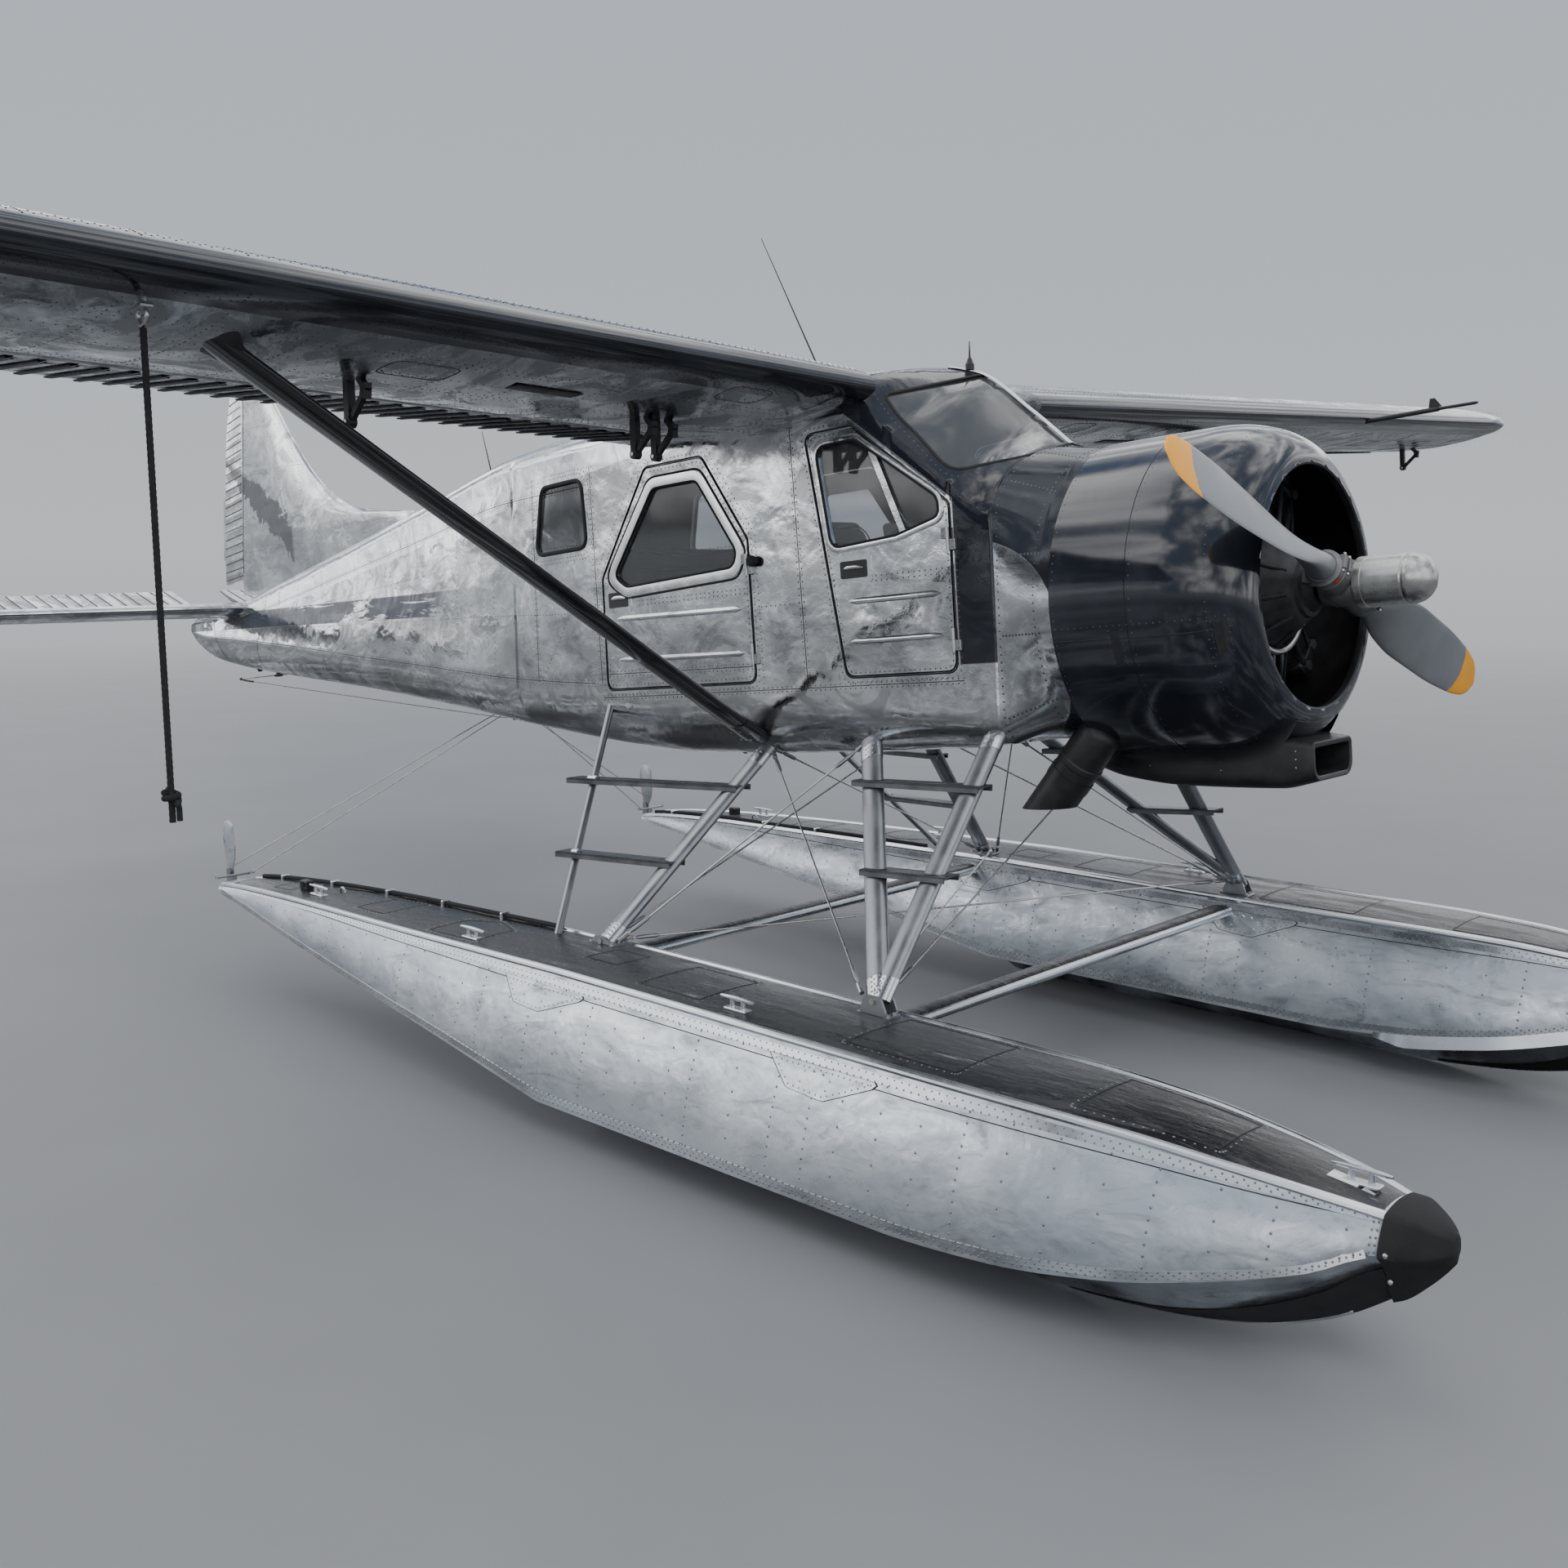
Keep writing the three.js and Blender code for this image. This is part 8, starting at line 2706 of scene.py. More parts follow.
def spreader(name, x, z):
    """Bar between the floats, with a grip on its upper side to walk on"""
    bar = Build()
    reach = FLOAT_Y - 0.225
    bar.foil((x, -reach, z), (x, reach, z), 0.062, 0.034, "gunwale", sides=28, steps=3)
    turn = np.radians(np.linspace(40, 140, 9))
    flat = np.stack([0.062 * np.cos(turn), 0.034 * np.sin(turn) * (0.78 + 0.22 * np.cos(turn)) + 0.002], -1)
    rows = [[(x + a, y, z + h) for a, h in flat] for y in np.linspace(-reach + 0.06, reach - 0.06, 24)]
    bar.grid(rows, "grip")
    for side in (-1, 1):
        y = side * (reach - 0.005)
        bar.box((x - 0.085, min(y, y - side * 0.025), z - 0.048),
                (x + 0.085, max(y, y - side * 0.025), z + 0.048), "strut", 0.006)
    bar.make(f"{name}_tube", "airframe", "strut_metal", [name], GROUND)


WIRE_RADIUS = 0.004
TURNBUCKLE = 0.009


def wire(build, a, b):
    """A bracing wire with a fork and a turnbuckle at each end"""
    a, b = np.asarray(a, float), np.asarray(b, float)
    build.tube([a, b], WIRE_RADIUS, "steel", 8)
    length = np.linalg.norm(b - a)
    for end, other in ((a, b), (b, a)):
        run = (other - end) / length
        build.tube([end, end + run * 0.05], 0.010, "steel", 10)
        build.tube([end + run * 0.06, end + run * 0.075, end + run * 0.15, end + run * 0.165],
                   [WIRE_RADIUS, TURNBUCKLE, TURNBUCKLE, WIRE_RADIUS], "strut", 10)


def bracing():
    wires = Build()
    front = {side: to_ground(FRONT_FITTING, side) + (0, 0, 0.012) for _, side in SIDES}
    rear = {side: to_ground(AFT_FITTING, side) + (0, 0, 0.012) for _, side in SIDES}
    front_head = {side: to_ground((-1.160, 0.500, -0.470), side) for _, side in SIDES}
    rear_head = {side: to_ground((-2.420, 0.500, -0.530), side) for _, side in SIDES}
    for _, side in SIDES:
        wire(wires, front[side] - (0, side * 0.05, 0), front_head[-side])
        wire(wires, rear[side] - (0, side * 0.05, 0), rear_head[-side])
        wire(wires, front[side] - (0.06, side * 0.03, 0), rear[-side] + (0.06, side * 0.03, 0))
        wire(wires, front[side] - (0.08, 0, 0), to_ground(REAR_STRUT_HEAD, side) + (0.03, 0, -0.02))
        wire(wires, rear[side] + (0.08, 0, 0), to_ground(FRONT_STRUT_HEADS[1], side) + (-0.03, 0, -0.02))
    for _, side in SIDES:
        post = (STERN_X - 0.03, side * (FLOAT_Y - 0.06), 0.548)
        belly = to_ground((-4.95, 0.06, -0.325), side)
        wires.tube([post, belly], 0.003, "steel", 6)
        wires.tube([(STERN_X - 0.03, side * (FLOAT_Y + 0.0), 0.62), to_ground((-5.02, 0.04, -0.312), side)],
                   0.003, "steel", 6)
    wires.make("bracing_wires", "airframe", "strut_metal", (), GROUND)


# Water rudders, drawn raised: posts between the stern lugs, blades between the posts' cheeks
POST_X = STERN_X - 0.030
PIVOT = (STERN_X - 0.080, 0.578)
STEERING_BAR = [(0.0, -0.110, 0.567), (0.010, -0.055, 0.568), (0.012, 0.0, 0.568), (0.010, 0.055, 0.568),
                (0.0, 0.110, 0.567)]


def water_rudder(word, side):
    y = side * FLOAT_Y
    post = Build()
    post.tube([(POST_X, y, 0.4823), (POST_X, y, 0.5217)], 0.014, "strut", 20)
    outline = rounded([(POST_X, 0.486), (POST_X, 0.518), (POST_X - 0.030, 0.518),
                       (PIVOT[0] + 0.015, PIVOT[1] + 0.020), (PIVOT[0] - 0.015, PIVOT[1] + 0.020),
                       (PIVOT[0] - 0.020, 0.486)], 0.008, 3)
    for sign in (-1, 1):
        start = y + sign * 0.010
        post.slab([(a, start, b) for a, b in outline], (0, sign * 0.004, 0), "strut")
    post.slab([(POST_X - 0.012, y - 0.006, 0.519), (POST_X + 0.012, y - 0.006, 0.519),
               (POST_X + 0.012, y + 0.006, 0.519), (POST_X - 0.012, y + 0.006, 0.519)],
              (0, 0, 0.0025), "strut")
    post.tube([(POST_X, y, 0.510), (POST_X, y, 0.568)], 0.009, "strut", 12)
    post.tube(curve(STEERING_BAR, 6) + (POST_X, y, 0), 0.007, "strut", 10)
    for end in (-0.105, 0.105):
        post.tube([(POST_X, y + end, 0.560), (POST_X, y + end, 0.580)], 0.009, "steel", 10)
    post.make(f"water_rudder_mount_{word}", f"water_rudder_post_body_{word}", "strut_metal",
              [f"water_rudder_post_{word}"], GROUND)
    x, z = PIVOT
    blade = Build()
    outline = rounded([(x - 0.022, z - 0.018), (x + 0.012, z - 0.018), (x + 0.058, z + 0.060),
                       (x + 0.072, z + 0.150), (x + 0.055, z + 0.265), (x + 0.010, z + 0.285),
                       (x - 0.040, z + 0.270), (x - 0.060, z + 0.175), (x - 0.030, z + 0.050)], 0.035, 5)
    inner = inset(outline, 0.006)
    rings = [[(a, y - 0.0015, b) for a, b in outline], [(a, y - 0.004, b) for a, b in inner]]
    mirror = [[(a, y + 0.0015, b) for a, b in outline], [(a, y + 0.004, b) for a, b in inner]]
    blade.grid([rings[1], rings[0], mirror[0], mirror[1]], "float", round_v=True, caps=True)
    blade.tube([(x, y - 0.0097, z), (x, y + 0.0097, z)], 0.010, "steel", 16)
    for rise in (0.08, 0.13, 0.18, 0.23):
        blade.rivets([(x + 0.005, y + s * 0.004, z + rise) for s in (-1, 1)], [(0, s, 0) for s in (-1, 1)],
                     "steel", 0.006, 0.003)
    blade.make(f"water_rudder_plate_{word}", f"water_rudder_blade_body_{word}", "strut_metal",
               [f"water_rudder_blade_{word}"], GROUND)


fin()
rudder()
for word, side in SIDES:
    tailplane(word, side)
    elevator(word, side)
    float_hull(word, side)
    bow_bumper(word, side)
    front_struts(word, side)
    rear_struts(word, side)
    water_rudder(word, side)
spreader("spreader_bar_front", -1.070, 0.600)
spreader("spreader_bar_rear", -2.560, 0.595)
bracing()


# Seats with padded cushions, instrument panel and control column
SEATS = [
    # node, middle along and across, half width
    ("front_seat_left", -1.900, 0.290, 0.220),
    ("front_seat_right", -1.900, -0.290, 0.220),
    ("rear_bench", -3.150, 0.0, 0.520),
]
SEAT_HALF_DEPTH = 0.215
SEAT_PAN_Z = -0.175
SEAT_TOP_Z = -0.060
BACK_THICK = 0.064
BACK_LEAN = math.atan2(0.100, 0.5405)
CUSHION_CAP = 0.014
VOXEL = 0.012


def pillow_points(size):
    """A full, rounded block whose sides pull in between its corners"""
    a, b, c = np.asarray(size, float) / 2
    rows = []
    for lift in np.linspace(-math.pi / 2, math.pi / 2, 25):
        turn = np.linspace(0, TURN, 72, endpoint=False)
        cl, sl = math.cos(lift), math.sin(lift)
        flat = np.sign(cl) * abs(cl) ** 0.35
        x = np.sign(np.cos(turn)) * np.abs(np.cos(turn)) ** 0.28
        y = np.sign(np.sin(turn)) * np.abs(np.sin(turn)) ** 0.28
        pull = 1 - 0.05 * (1 - np.abs(x * y)) * abs(cl)
        rows.append(np.stack([a * flat * x * pull, b * flat * y * pull,
                              np.full(72, c * np.sign(sl) * abs(sl) ** 0.45)], -1))
    return rows


def stuffed(size):
    """Points and faces of a cushion blown up as cloth from a slightly smaller block, and held to its size"""
    size = np.asarray(size, float)
    start = Build()
    start.grid(pillow_points(size - 0.018), "cloth", round_v=True, caps=True)
    block = start.raw("cushion_block")
    remesh = block.modifiers.new("voxels", "REMESH")
    remesh.mode = "VOXEL"
    remesh.voxel_size = VOXEL
    mesh = bpy.data.meshes.new_from_object(block.evaluated_get(bpy.context.evaluated_depsgraph_get()))
    block.modifiers.clear()
    block.data = mesh
    before = np.array([v.co for v in mesh.vertices])
    after = before
    cloth = block.modifiers.new("cloth", "CLOTH")
    cloth.settings.use_pressure = True
    cloth.settings.uniform_pressure_force = 4.0
    cloth.settings.effector_weights.gravity = 0.0
    cloth.settings.quality = 5
    for frame_number in range(1, 21):
        bpy.context.scene.frame_set(frame_number)
    blown = block.evaluated_get(bpy.context.evaluated_depsgraph_get()).to_mesh()
    after = np.array([v.co for v in blown.vertices])
    block.modifiers.clear()
    bpy.context.scene.frame_set(1)
    move = after - before
    length = np.maximum(np.linalg.norm(move, axis=1, keepdims=True), 1e-9)
    after = before + move * np.minimum(1, CUSHION_CAP / length)
    after = np.clip(after, -size / 2, size / 2)
    faces = [list(face.vertices) for face in mesh.polygons]
    bpy.data.objects.remove(block)
    return after, faces


def sewn(points, size, channels):
    """Presses the seams of the sewn channels into a cushion's upper side"""
    points = points.copy()
    face = np.clip(points[:, 2] / (size[2] / 2), 0, 1)
    for channel in channels:
        near = np.exp(-((points[:, 0] - channel) / 0.011) ** 2)
        points[:, 2] -= 0.010 * near * face
    return points


def outline_at(points, level, count):
    """The cushion's outline at a level, as a ring of points"""
    band = points[np.abs(points[:, 2] - level) < 0.014]
    turn = np.linspace(-math.pi, math.pi, count, endpoint=False)
    angles = np.arctan2(band[:, 1], band[:, 0])
    ring = []
    for t in turn:
        away = np.abs((angles - t + math.pi) % TURN - math.pi)
        pick = band[away < TURN / count * 1.2]
        reach = np.max(np.hypot(pick[:, 0], pick[:, 1]))
        ring.append((reach * math.cos(t), reach * math.sin(t), level))
    return ring


def cushion(name, size, at, lean, channels, node, shape):
    """A padded cushion with sewn channels and piping along its upper edge"""
    points, faces = shape
    points = sewn(points, size, channels)
    turn = np.array(Matrix.Rotation(lean, 3, "Y"))
    made = Build()
    made.add(points @ turn.T + at, faces, "cloth")
    for level in (size[2] * 0.27, -size[2] * 0.27):
        ring = np.array(outline_at(points, level, 96)) * (0.996, 0.996, 1)
        ring = ring @ turn.T + at
        made.tube(np.vstack([ring, ring[:1]]), 0.0036, "piping", 8)
    piece = made.raw(name)
    smooth = piece.modifiers.new("smooth", "SUBSURF")
    smooth.levels = smooth.render_levels = 1
    mesh = bpy.data.meshes.new_from_object(piece.evaluated_get(bpy.context.evaluated_depsgraph_get()))
    piece.modifiers.clear()
    piece.data = mesh
    settle(piece, "airframe", [node] if node else (), AIR, 60)


def seat_frame(node, x, y, half):
    """Pressed pan on tube legs, with a sheet back behind the cushion"""
    frame = Build()
    low = FLOOR_Z + 0.006
    reach = SEAT_HALF_DEPTH - 0.012
    frame.box((x - reach, y - half + 0.008, SEAT_PAN_Z - 0.022), (x + reach, y + half - 0.008, SEAT_PAN_Z),
              "seat_frame", 0.006)
    places = (-half + 0.030, half - 0.030) if half < 0.4 else (-half + 0.030, 0.0, half - 0.030)
    for shift in places:
        for ahead in (-1, 1):
            foot = (x + ahead * (reach - 0.020), y + shift, low)
            head = (x + ahead * (reach - 0.045), y + shift, SEAT_PAN_Z - 0.020)
            frame.tube([foot, head], 0.011, "seat_frame", 12)
        frame.box((x - reach, y + shift - 0.014, low - 0.001), (x + reach, y + shift + 0.014, low + 0.010),
                  "seat_frame", 0.002)
        bar_z = (low + SEAT_PAN_Z) / 2
        frame.tube([(x - reach + 0.030, y + shift, bar_z), (x + reach - 0.030, y + shift, bar_z)], 0.008,
                   "seat_frame", 10)
    bottom, top = np.array((x - SEAT_HALF_DEPTH + 0.002, 0, -0.150)), np.array((x - 0.303, 0, 0.455))
    outline = rounded([(y - half + 0.012, 0), (y + half - 0.012, 0), (y + half - 0.012, 1),
                       (y - half + 0.012, 1)], 0.05, 6)
    front = [bottom + (top - bottom) * t + (0.007, s, 0) for s, t in outline]
    back = [spot - (0.005, 0, 0) for spot in front]
    frame.grid([front, back], "seat_frame", round_v=True)
    frame.add(front, [list(range(len(front)))], "seat_frame")
    frame.add(back, [list(range(len(back)))], "seat_frame")
    for t in (0.30, 0.60, 0.88):
        spot = bottom + (top - bottom) * t
        frame.tube([(spot[0] + 0.001, y - half + 0.035, spot[2]),
                    (spot[0] + 0.001, y + half - 0.035, spot[2])], 0.006, "seat_frame", 10)
    frame.make(f"{node}_frame", "airframe", "strut_metal", ())


def seats():
    shapes = {}
    for node, x, y, half in SEATS:
        seat_size = (0.400, half * 2 - 0.020, SEAT_TOP_Z - SEAT_PAN_Z - 0.001)
        back_size = (0.500, half * 2 - 0.020, BACK_THICK)
        for size in (seat_size, back_size):
            if size not in shapes:
                shapes[size] = stuffed(size)
        at = np.array((x + 0.008, y, (SEAT_TOP_Z + SEAT_PAN_Z) / 2))
        cushion(f"{node}_cushion", seat_size, at, 0.0, (-0.10, 0.0, 0.10), node, shapes[seat_size])
        middle = np.array((x - 0.216, y, 0.206))
        cushion(f"{node}_back", back_size, middle, math.pi / 2 - BACK_LEAN, (-0.13, 0.0, 0.13), None,
                shapes[back_size])
        seat_frame(node, x, y, half)


PANEL_X = -1.262
DIALS = [
    # place across and in height, radius
    (0.175, 0.320, 0.040), (0.275, 0.320, 0.040), (0.375, 0.320, 0.040),
    (0.175, 0.220, 0.040), (0.275, 0.220, 0.040), (0.375, 0.220, 0.040),
    (0.475, 0.300, 0.028), (0.475, 0.225, 0.028),
    (-0.190, 0.320, 0.034), (-0.275, 0.320, 0.034), (-0.360, 0.320, 0.034),
    (-0.190, 0.235, 0.028), (-0.265, 0.235, 0.028), (-0.340, 0.235, 0.028),
]


def dial(panel, y, z, radius, turn):
    """A round instrument: bezel, face, marks, needle and glass"""
    at, aft = (PANEL_X, y, z), (-1, 0, 0)
    panel.lathe([(0.0, radius * 1.14), (0.006, radius * 1.14), (0.009, radius * 1.04), (0.009, radius),
                 (0.003, radius * 0.96)], "black", 32, at, aft)
    panel.lathe([(0.003, radius * 0.97), (0.003, 0.0)], "plastic", 32, at, aft)
    for k in range(12):
        a = TURN * k / 12
        way = np.array((0, math.cos(a), math.sin(a)))
        panel.tube([np.array(at) + (-0.0038, 0, 0) + way * radius * 0.74,
                    np.array(at) + (-0.0038, 0, 0) + way * radius * 0.9], 0.0008, "dial", 6)
    way = np.array((0, math.cos(turn), math.sin(turn)))
    panel.tube([np.array(at) + (-0.0050, 0, 0) - way * radius * 0.15,
                np.array(at) + (-0.0050, 0, 0) + way * radius * 0.7], [0.0014, 0.0005], "dial", 6)
    for a in (0.785, 2.356, 3.927, 5.498):
        screw = np.array(at) + (0, math.cos(a) * radius * 1.3, math.sin(a) * radius * 1.3)
        panel.rivets([screw], [aft], "bolt", 0.0028, 0.0018)


def instrument_panel():
    panel = Build()
    outline = rounded([(-0.575, 0.066), (0.575, 0.066), (0.575, 0.330), (0.470, 0.412), (-0.470, 0.412),
                       (-0.575, 0.330)], 0.05, 6)
    front = [(PANEL_X, y, z) for y, z in outline]
    panel.slab(front, (0.012, 0, 0), "panel")
    shroud = [(y, z) for y, z in outline if z > 0.30]
    section = ((-1.274, 0.0), (-1.2745, 0.006), (-1.239, 0.006), (-1.239, 0.0))
    rows = [[(x, y, z + grow) for y, z in shroud] for x, grow in section]
    panel.grid(rows, "plastic", round_u=True)
    for number, (y, z, radius) in enumerate(DIALS):
        dial(panel, y, z, radius, 0.7 + 2.1 * number)
    for level, height in ((0.335, 0.044), (0.283, 0.044), (0.231, 0.044), (0.184, 0.036)):
        panel.box((PANEL_X - 0.008, -0.125, level - height / 2),
                  (PANEL_X + 0.001, 0.095, level + height / 2), "plastic", 0.003)
        panel.box((PANEL_X - 0.0092, -0.075, level - 0.010), (PANEL_X - 0.0070, 0.040, level + 0.010),
                  "glassy", 0.001)
        for y in (-0.105, 0.075):
            panel.lathe([(0.0, 0.010), (0.014, 0.009), (0.015, 0.0)], "black", 20,
                        (PANEL_X - 0.007, y, level), (-1, 0, 0))
    for k in range(14):
        y = -0.500 + 0.077 * k
        spot = np.array((PANEL_X, y, 0.110))
        panel.lathe([(0.0, 0.007), (0.003, 0.006), (0.003, 0.0)], "bolt", 12, spot, (-1, 0, 0))
        panel.tube([spot - (0.002, 0, 0), spot - (0.011, 0, -0.006 if k % 3 else 0.006)], [0.0022, 0.0030],
                   "bolt", 8)
    for y in (-0.030, 0.0, 0.030):
        panel.tube([(PANEL_X, y, 0.146), (PANEL_X - 0.011, y, 0.146)], 0.004, "bolt", 10)
    panel.make("instrument_board", "airframe", "black_plastic", ["instrument_panel"])


WHEEL_AT = (-1.4945, 0.330, 0.231)
WHEEL_RADIUS = 0.120


def control_column():
    column = Build()
    foot, knee = np.array((-1.5615, 0, FLOOR_Z + 0.006)), np.array((-1.480, 0, 0.222))
    column.tube([foot, knee], [0.022, 0.019], "plastic", 20)
    column.lathe([(0.0, 0.0), (0.0, 0.021), (0.010, 0.021), (0.030, 0.0185), (0.050, 0.021),
                  (0.070, 0.0185), (0.090, 0.0195)], "rubber", 24, foot, unit(knee - foot))
    column.tube([knee - (0, 0.020, 0.001), knee + (0, 0.02, 0.001), (-1.480, 0.300, 0.2295),
                 (-1.480, 0.330, 0.230)], [0.0155, 0.0155, 0.0125, 0.0155], "plastic", 18)
    column.lathe([(0.0, 0.0), (0.0, 0.021), (0.012, 0.021), (0.018, 0.015), (0.018, 0.0)], "black", 24,
                 (-1.482, 0.330, 0.230), (-1, 0, 0))
    x, y, z = WHEEL_AT
    turn = np.radians(np.linspace(-55, 235, 49))
    rim = [(x, y + WHEEL_RADIUS * math.cos(t), z + WHEEL_RADIUS * 0.82 * math.sin(t)) for t in turn]
    column.tube(rim, 0.0095, "plastic", 12)
    for t in np.radians((0, 180, 270)):
        reach = WHEEL_RADIUS * (1.0 if abs(math.sin(t)) < 0.5 else 0.35)
        column.tube([(x, y, z), (x, y + reach * math.cos(t), z + reach * 0.82 * math.sin(t))],
                    [0.009, 0.006], "plastic", 10)
    column.make("control_wheel", "airframe", "black_plastic", ["control_column"])


# Aerials and the fittings under the tail
WHIP = ((-2.400, 0, 1.080), (-2.757, 0, 1.848))
AERIALS = [
    # foot, tip, radius at the foot
    ((-1.595, 0, 1.056), (-1.590, 0, 1.154), 0.006),
    ((-5.003, 0, 1.000), (-5.071, 0, 1.289), 0.005),
]


def aerial_foot(build, foot, way, radius):
    build.lathe([(-0.020, radius * 3.2), (0.004, radius * 3.2), (0.008, radius * 2.6),
                 (0.022, radius * 1.8), (0.030, radius * 1.15), (0.032, 0.0)], "black", 24, foot, way)


def antennas():
    whip = Build()
    foot, tip = (np.array(p, float) for p in WHIP)
    way = unit(tip - foot)
    path = [foot + (tip - foot) * t for t in np.linspace(0, 0.999, 20)]
    whip.tube(path, np.linspace(0.0048, 0.0018, 20), "black", 10)
    aerial_foot(whip, foot + way * 0.004, way, 0.0048)
    whip.make("whip_rod", "airframe", "black_paint", ["whip_antenna"])
    small = Build()
    for low, high, radius in AERIALS:
        low, high = np.array(low, float), np.array(high, float)
        way = unit(high - low)
        small.tube([low + (high - low) * t for t in np.linspace(0, 1, 12)],
                   np.linspace(radius, radius * 0.35, 12), "black", 10)
        aerial_foot(small, low, way, radius)
    small.make("small_aerials", "airframe", "black_paint", ())


seats()
instrument_panel()
control_column()
antennas()


def belly_z(x):
    return float(np.min(skin_rings([x])[0][:, 2]))


TAIL_CABLE = [(-6.846, 0.0, -0.179), (-5.137, 0.0, -0.366), (-4.970, 0.0, -0.372)]


def tail_fittings():
    """Drain knob, guide and rod under the tail cone, and vents under the cabin"""
    build = Build()
    knob = (-7.917, 0, belly_z(-7.917) + 0.004)
    build.lathe([(0.0, 0.030), (0.012, 0.028), (0.022, 0.018), (0.036, 0.014), (0.038, 0.0)], "black", 20,
                knob, (0, 0, -1))
    low = belly_z(-7.662)
    build.box((-7.680, -0.010, low - 0.045), (-7.644, 0.010, low + 0.006), "black", 0.003)
    level = low - 0.036
    build.tube([(-8.200, 0, level - 0.004), (-7.950, 0, level), (-7.480, 0, level + 0.004)], 0.0045,
               "steel", 10)
    build.tube([(-7.712, 0, level + 0.001), (-7.612, 0, level + 0.002)], 0.009, "black", 12)
    build.lathe([(0.0, 0.0), (0.0, 0.010), (0.018, 0.010), (0.020, 0.0)], "black", 14,
                (-8.212, 0, level - 0.004), (1, 0, 0))
    cable = [(-8.205, 0, level - 0.006), (-8.150, 0, level - 0.016), *TAIL_CABLE]
    build.tube(cable[:2] + [between(np.array(cable[1]), np.array(cable[2]), 0.09)], 0.007, "black", 10)
    build.tube(cable, 0.0028, "steel", 6)
    end = cable[-1]
    build.box((end[0] - 0.030, end[1] - 0.010, end[2] - 0.012),
              (end[0] + 0.030, end[1] + 0.010, belly_z(end[0]) + 0.006), "black", 0.003)
    for x, size in ((-2.98, 0.030), (-3.18, 0.022), (-3.52, 0.026)):
        z = belly_z(x)
        build.lathe([(-0.004, size), (0.010, size * 0.9), (0.040, size * 0.45), (0.042, 0.0)], "black", 20,
                    (x, -0.12, z + 0.008), (-0.5, 0, -0.87))
    build.make("belly_fittings", "airframe", "black_paint", ())


# Floor and lights
FLOOR_COLOR = (0.21, 0.215, 0.225)
RIPPLE_COLORS = ((0.012, 0.013, 0.014), (0.34, 0.36, 0.38))


def make_stage():
    """A pale floor that fades out into the backdrop"""
    size = 60
    floor = Build()
    floor.add([(-size, -size, 0), (size, -size, 0), (size, size, 0), (-size, size, 0)], [[0, 1, 2, 3]],
              "white")
    floor = floor.raw("floor")
    pale = Finish("floor_pale", FLOOR_COLOR, 0.0, 0.55)
    cloud = pale.span(pale.noise(0.8, 3), 0.3, 0.7)
    plain_color = pale.mix(cloud, [c * 0.96 for c in FLOOR_COLOR], [c * 1.04 for c in FLOOR_COLOR])
    ripple = pale.span(pale.noise(1.1, 8, 0.68, (1, 0.45, 1), 1.2), 0.47, 0.60)
    mirrored = pale.mix(ripple, RIPPLE_COLORS[0], RIPPLE_COLORS[1])
    seen = pale.add("LightPath").outputs["Is Camera Ray"]
    pale.put("Base Color", pale.mix(seen, mirrored, plain_color))
    flat = pale.add("VectorMath", {0: pale.add("TexCoord").outputs["Object"]},
                    operation="LENGTH").outputs["Value"]
    pale.put("Alpha", pale.span(flat, 9, 34, 1, 0))
    floor.data.materials.clear()
    floor.data.materials.append(pale.material)


CLOUD_COLORS = [(0.34, (0.20, 0.30, 0.46)), (0.44, (0.42, 0.48, 0.57)), (0.50, (0.95, 0.98, 1.03)),
                (0.60, (2.3, 2.3, 2.3)), (0.70, (3.2, 3.2, 3.15))]
GROUND_COLORS = [(0.0, (0.03, 0.032, 0.036)), (0.75, (0.16, 0.17, 0.185)), (0.90, (0.55, 0.59, 0.63)),
                 (0.915, (0.03, 0.034, 0.034))]
BACKDROP_COLORS = [(0.0, (0.34, 0.35, 0.37)), (0.25, (0.62, 0.65, 0.68)), (1.0, (0.40, 0.48, 0.58))]


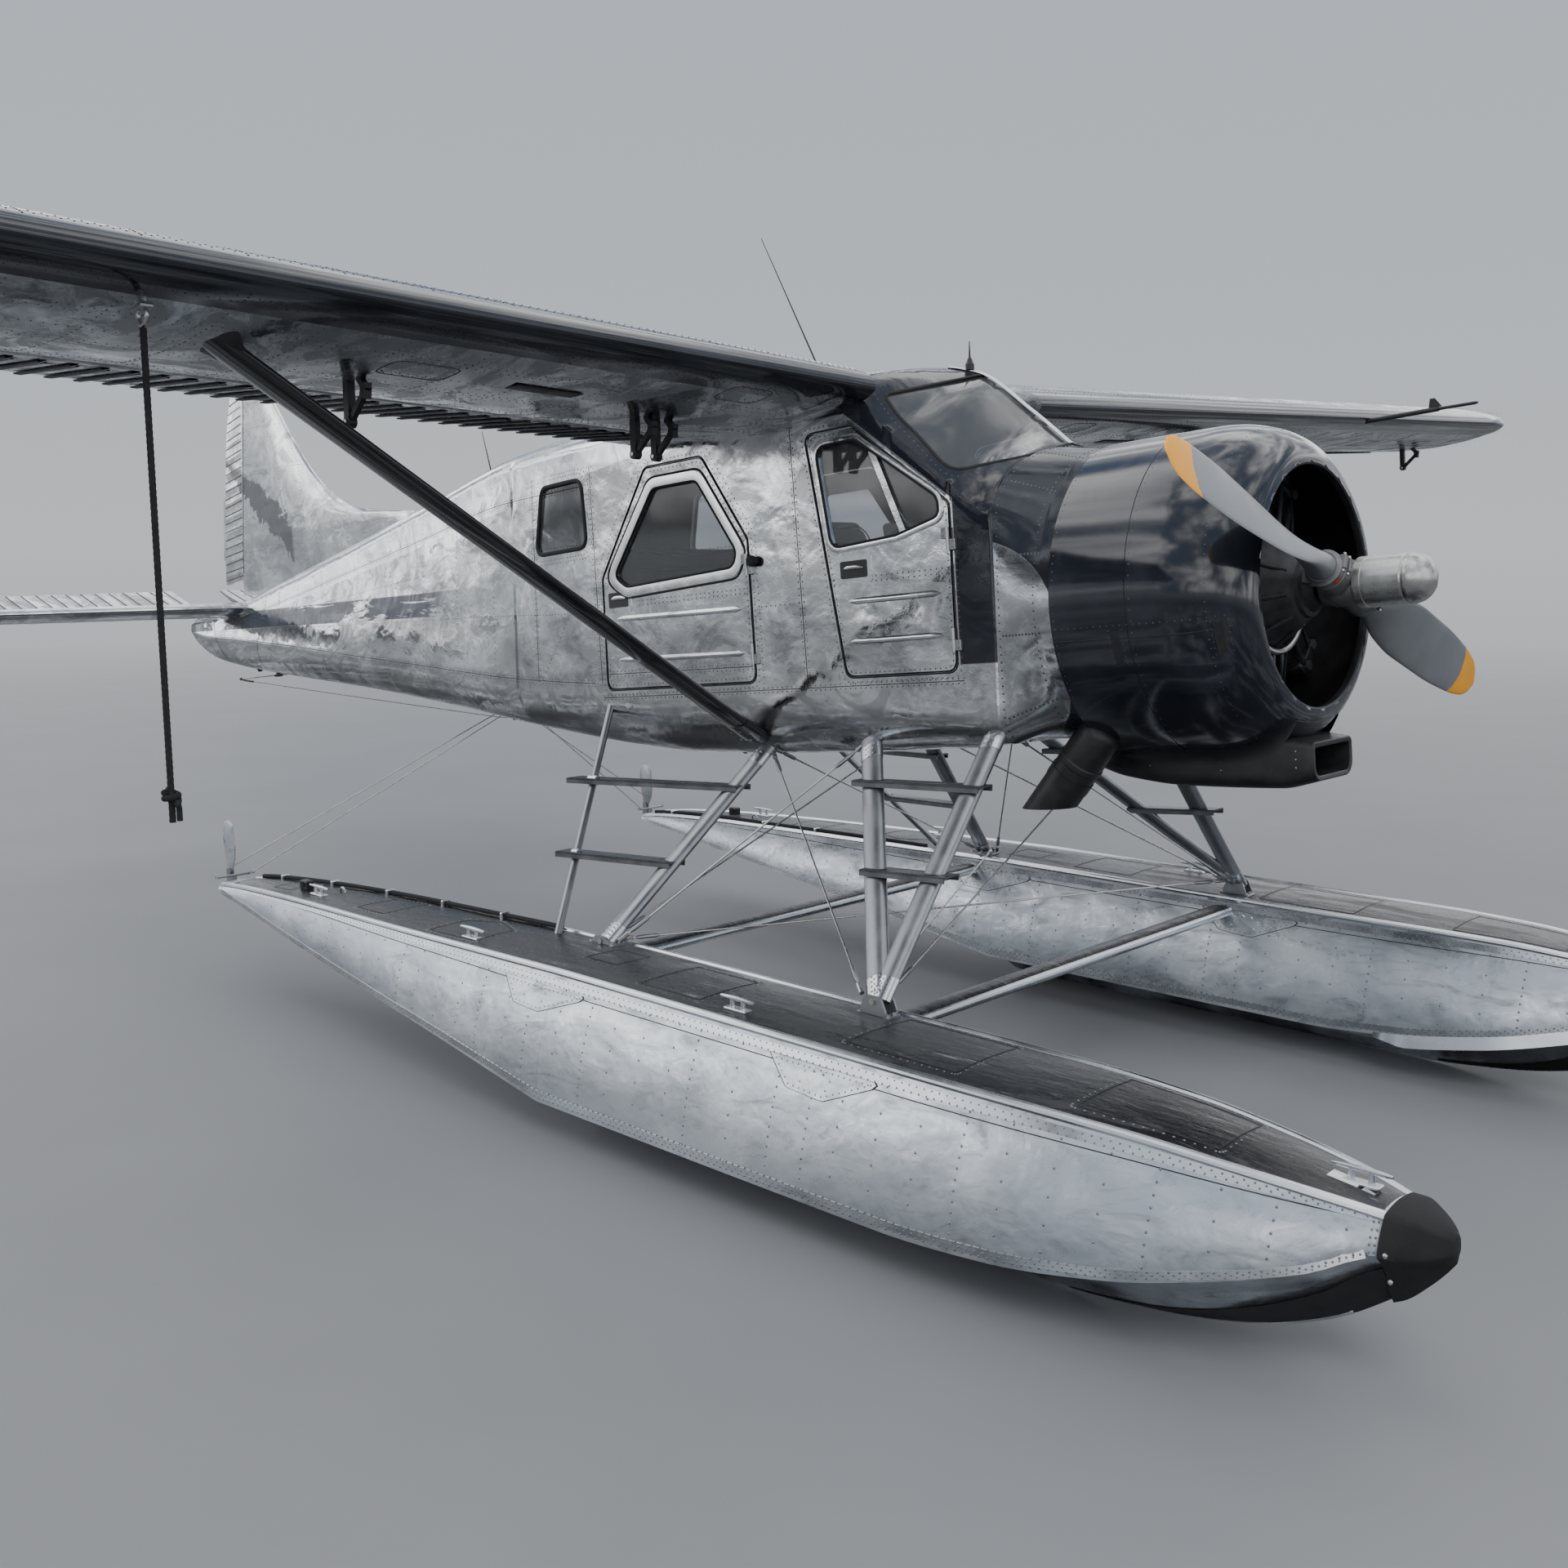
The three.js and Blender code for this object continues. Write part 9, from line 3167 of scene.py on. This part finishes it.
def make_sky():
    """A bright cloudy sky for light and reflections; the camera itself sees a plain soft backdrop"""
    world = bpy.data.worlds.new("studio")
    bpy.context.scene.world = world
    world.use_nodes = True
    nodes, links = world.node_tree.nodes, world.node_tree.links

    def node(kind, inputs=(), **settings):
        made = nodes.new("ShaderNode" + kind)
        for key, value in settings.items():
            setattr(made, key, value)
        for key, value in dict(inputs).items():
            if isinstance(value, bpy.types.NodeSocket):
                links.new(value, made.inputs[key])
            else:
                made.inputs[key].default_value = value
        return made

    def ramp(value, stops):
        made = node("ValToRGB", {0: value})
        points = made.color_ramp.elements
        for index, (position, color) in enumerate(stops):
            stop = points[index] if index < 2 else points.new(position)
            stop.position, stop.color = position, (*color, 1)
        return made.outputs["Color"]

    place = node("TexCoord").outputs["Generated"]
    height = node("SeparateXYZ", {0: place}).outputs["Z"]
    spread = node("Mapping", {"Vector": place, "Scale": (1, 1, 2.4)}).outputs["Vector"]
    noise = node("TexNoise", {"Vector": spread, "Scale": 2.3, "Detail": 9, "Roughness": 0.62,
                              "Distortion": 0.5})
    clouds = ramp(noise.outputs["Fac"], CLOUD_COLORS)
    ground = ramp(node("MapRange", {"Value": height, "From Min": -0.6, "From Max": 0.1}).outputs["Result"],
                  GROUND_COLORS)
    over = node("MapRange", {"Value": height, "From Min": 0.035, "From Max": 0.055}).outputs["Result"]
    lit = node("Mix", {0: over}, data_type="RGBA")
    links.new(ground, lit.inputs[6])
    links.new(clouds, lit.inputs[7])
    lift = node("MapRange", {"Value": height, "From Min": -0.25, "From Max": 0.75}).outputs["Result"]
    backdrop = ramp(lift, BACKDROP_COLORS)
    seen = node("LightPath").outputs["Is Camera Ray"]
    whole = node("Mix", {0: seen}, data_type="RGBA")
    links.new(lit.outputs[2], whole.inputs[6])
    links.new(backdrop, whole.inputs[7])
    links.new(whole.outputs[2], nodes["Background"].inputs["Color"])


LAMPS = [
    # place, aimed at, size, watts
    ((12, -10, 13), (0, 0, 1.5), 8, 1500),
    ((-9, -13, 9), (-1, 0, 1.5), 7, 700),
]


def make_lamps():
    for number, (at, aim, size, power) in enumerate(LAMPS):
        data = bpy.data.lights.new(f"lamp_{number}", "AREA")
        data.shape = "DISK"
        data.size = size
        data.energy = power
        lamp = bpy.data.objects.new(f"lamp_{number}", data)
        lamp.visible_glossy = False
        lamp.location = at
        lamp.rotation_euler = (Vector(aim) - Vector(at)).to_track_quat("-Z", "Y").to_euler()
        bpy.context.scene.collection.objects.link(lamp)


tail_fittings()
make_stage()
make_sky()
make_lamps()
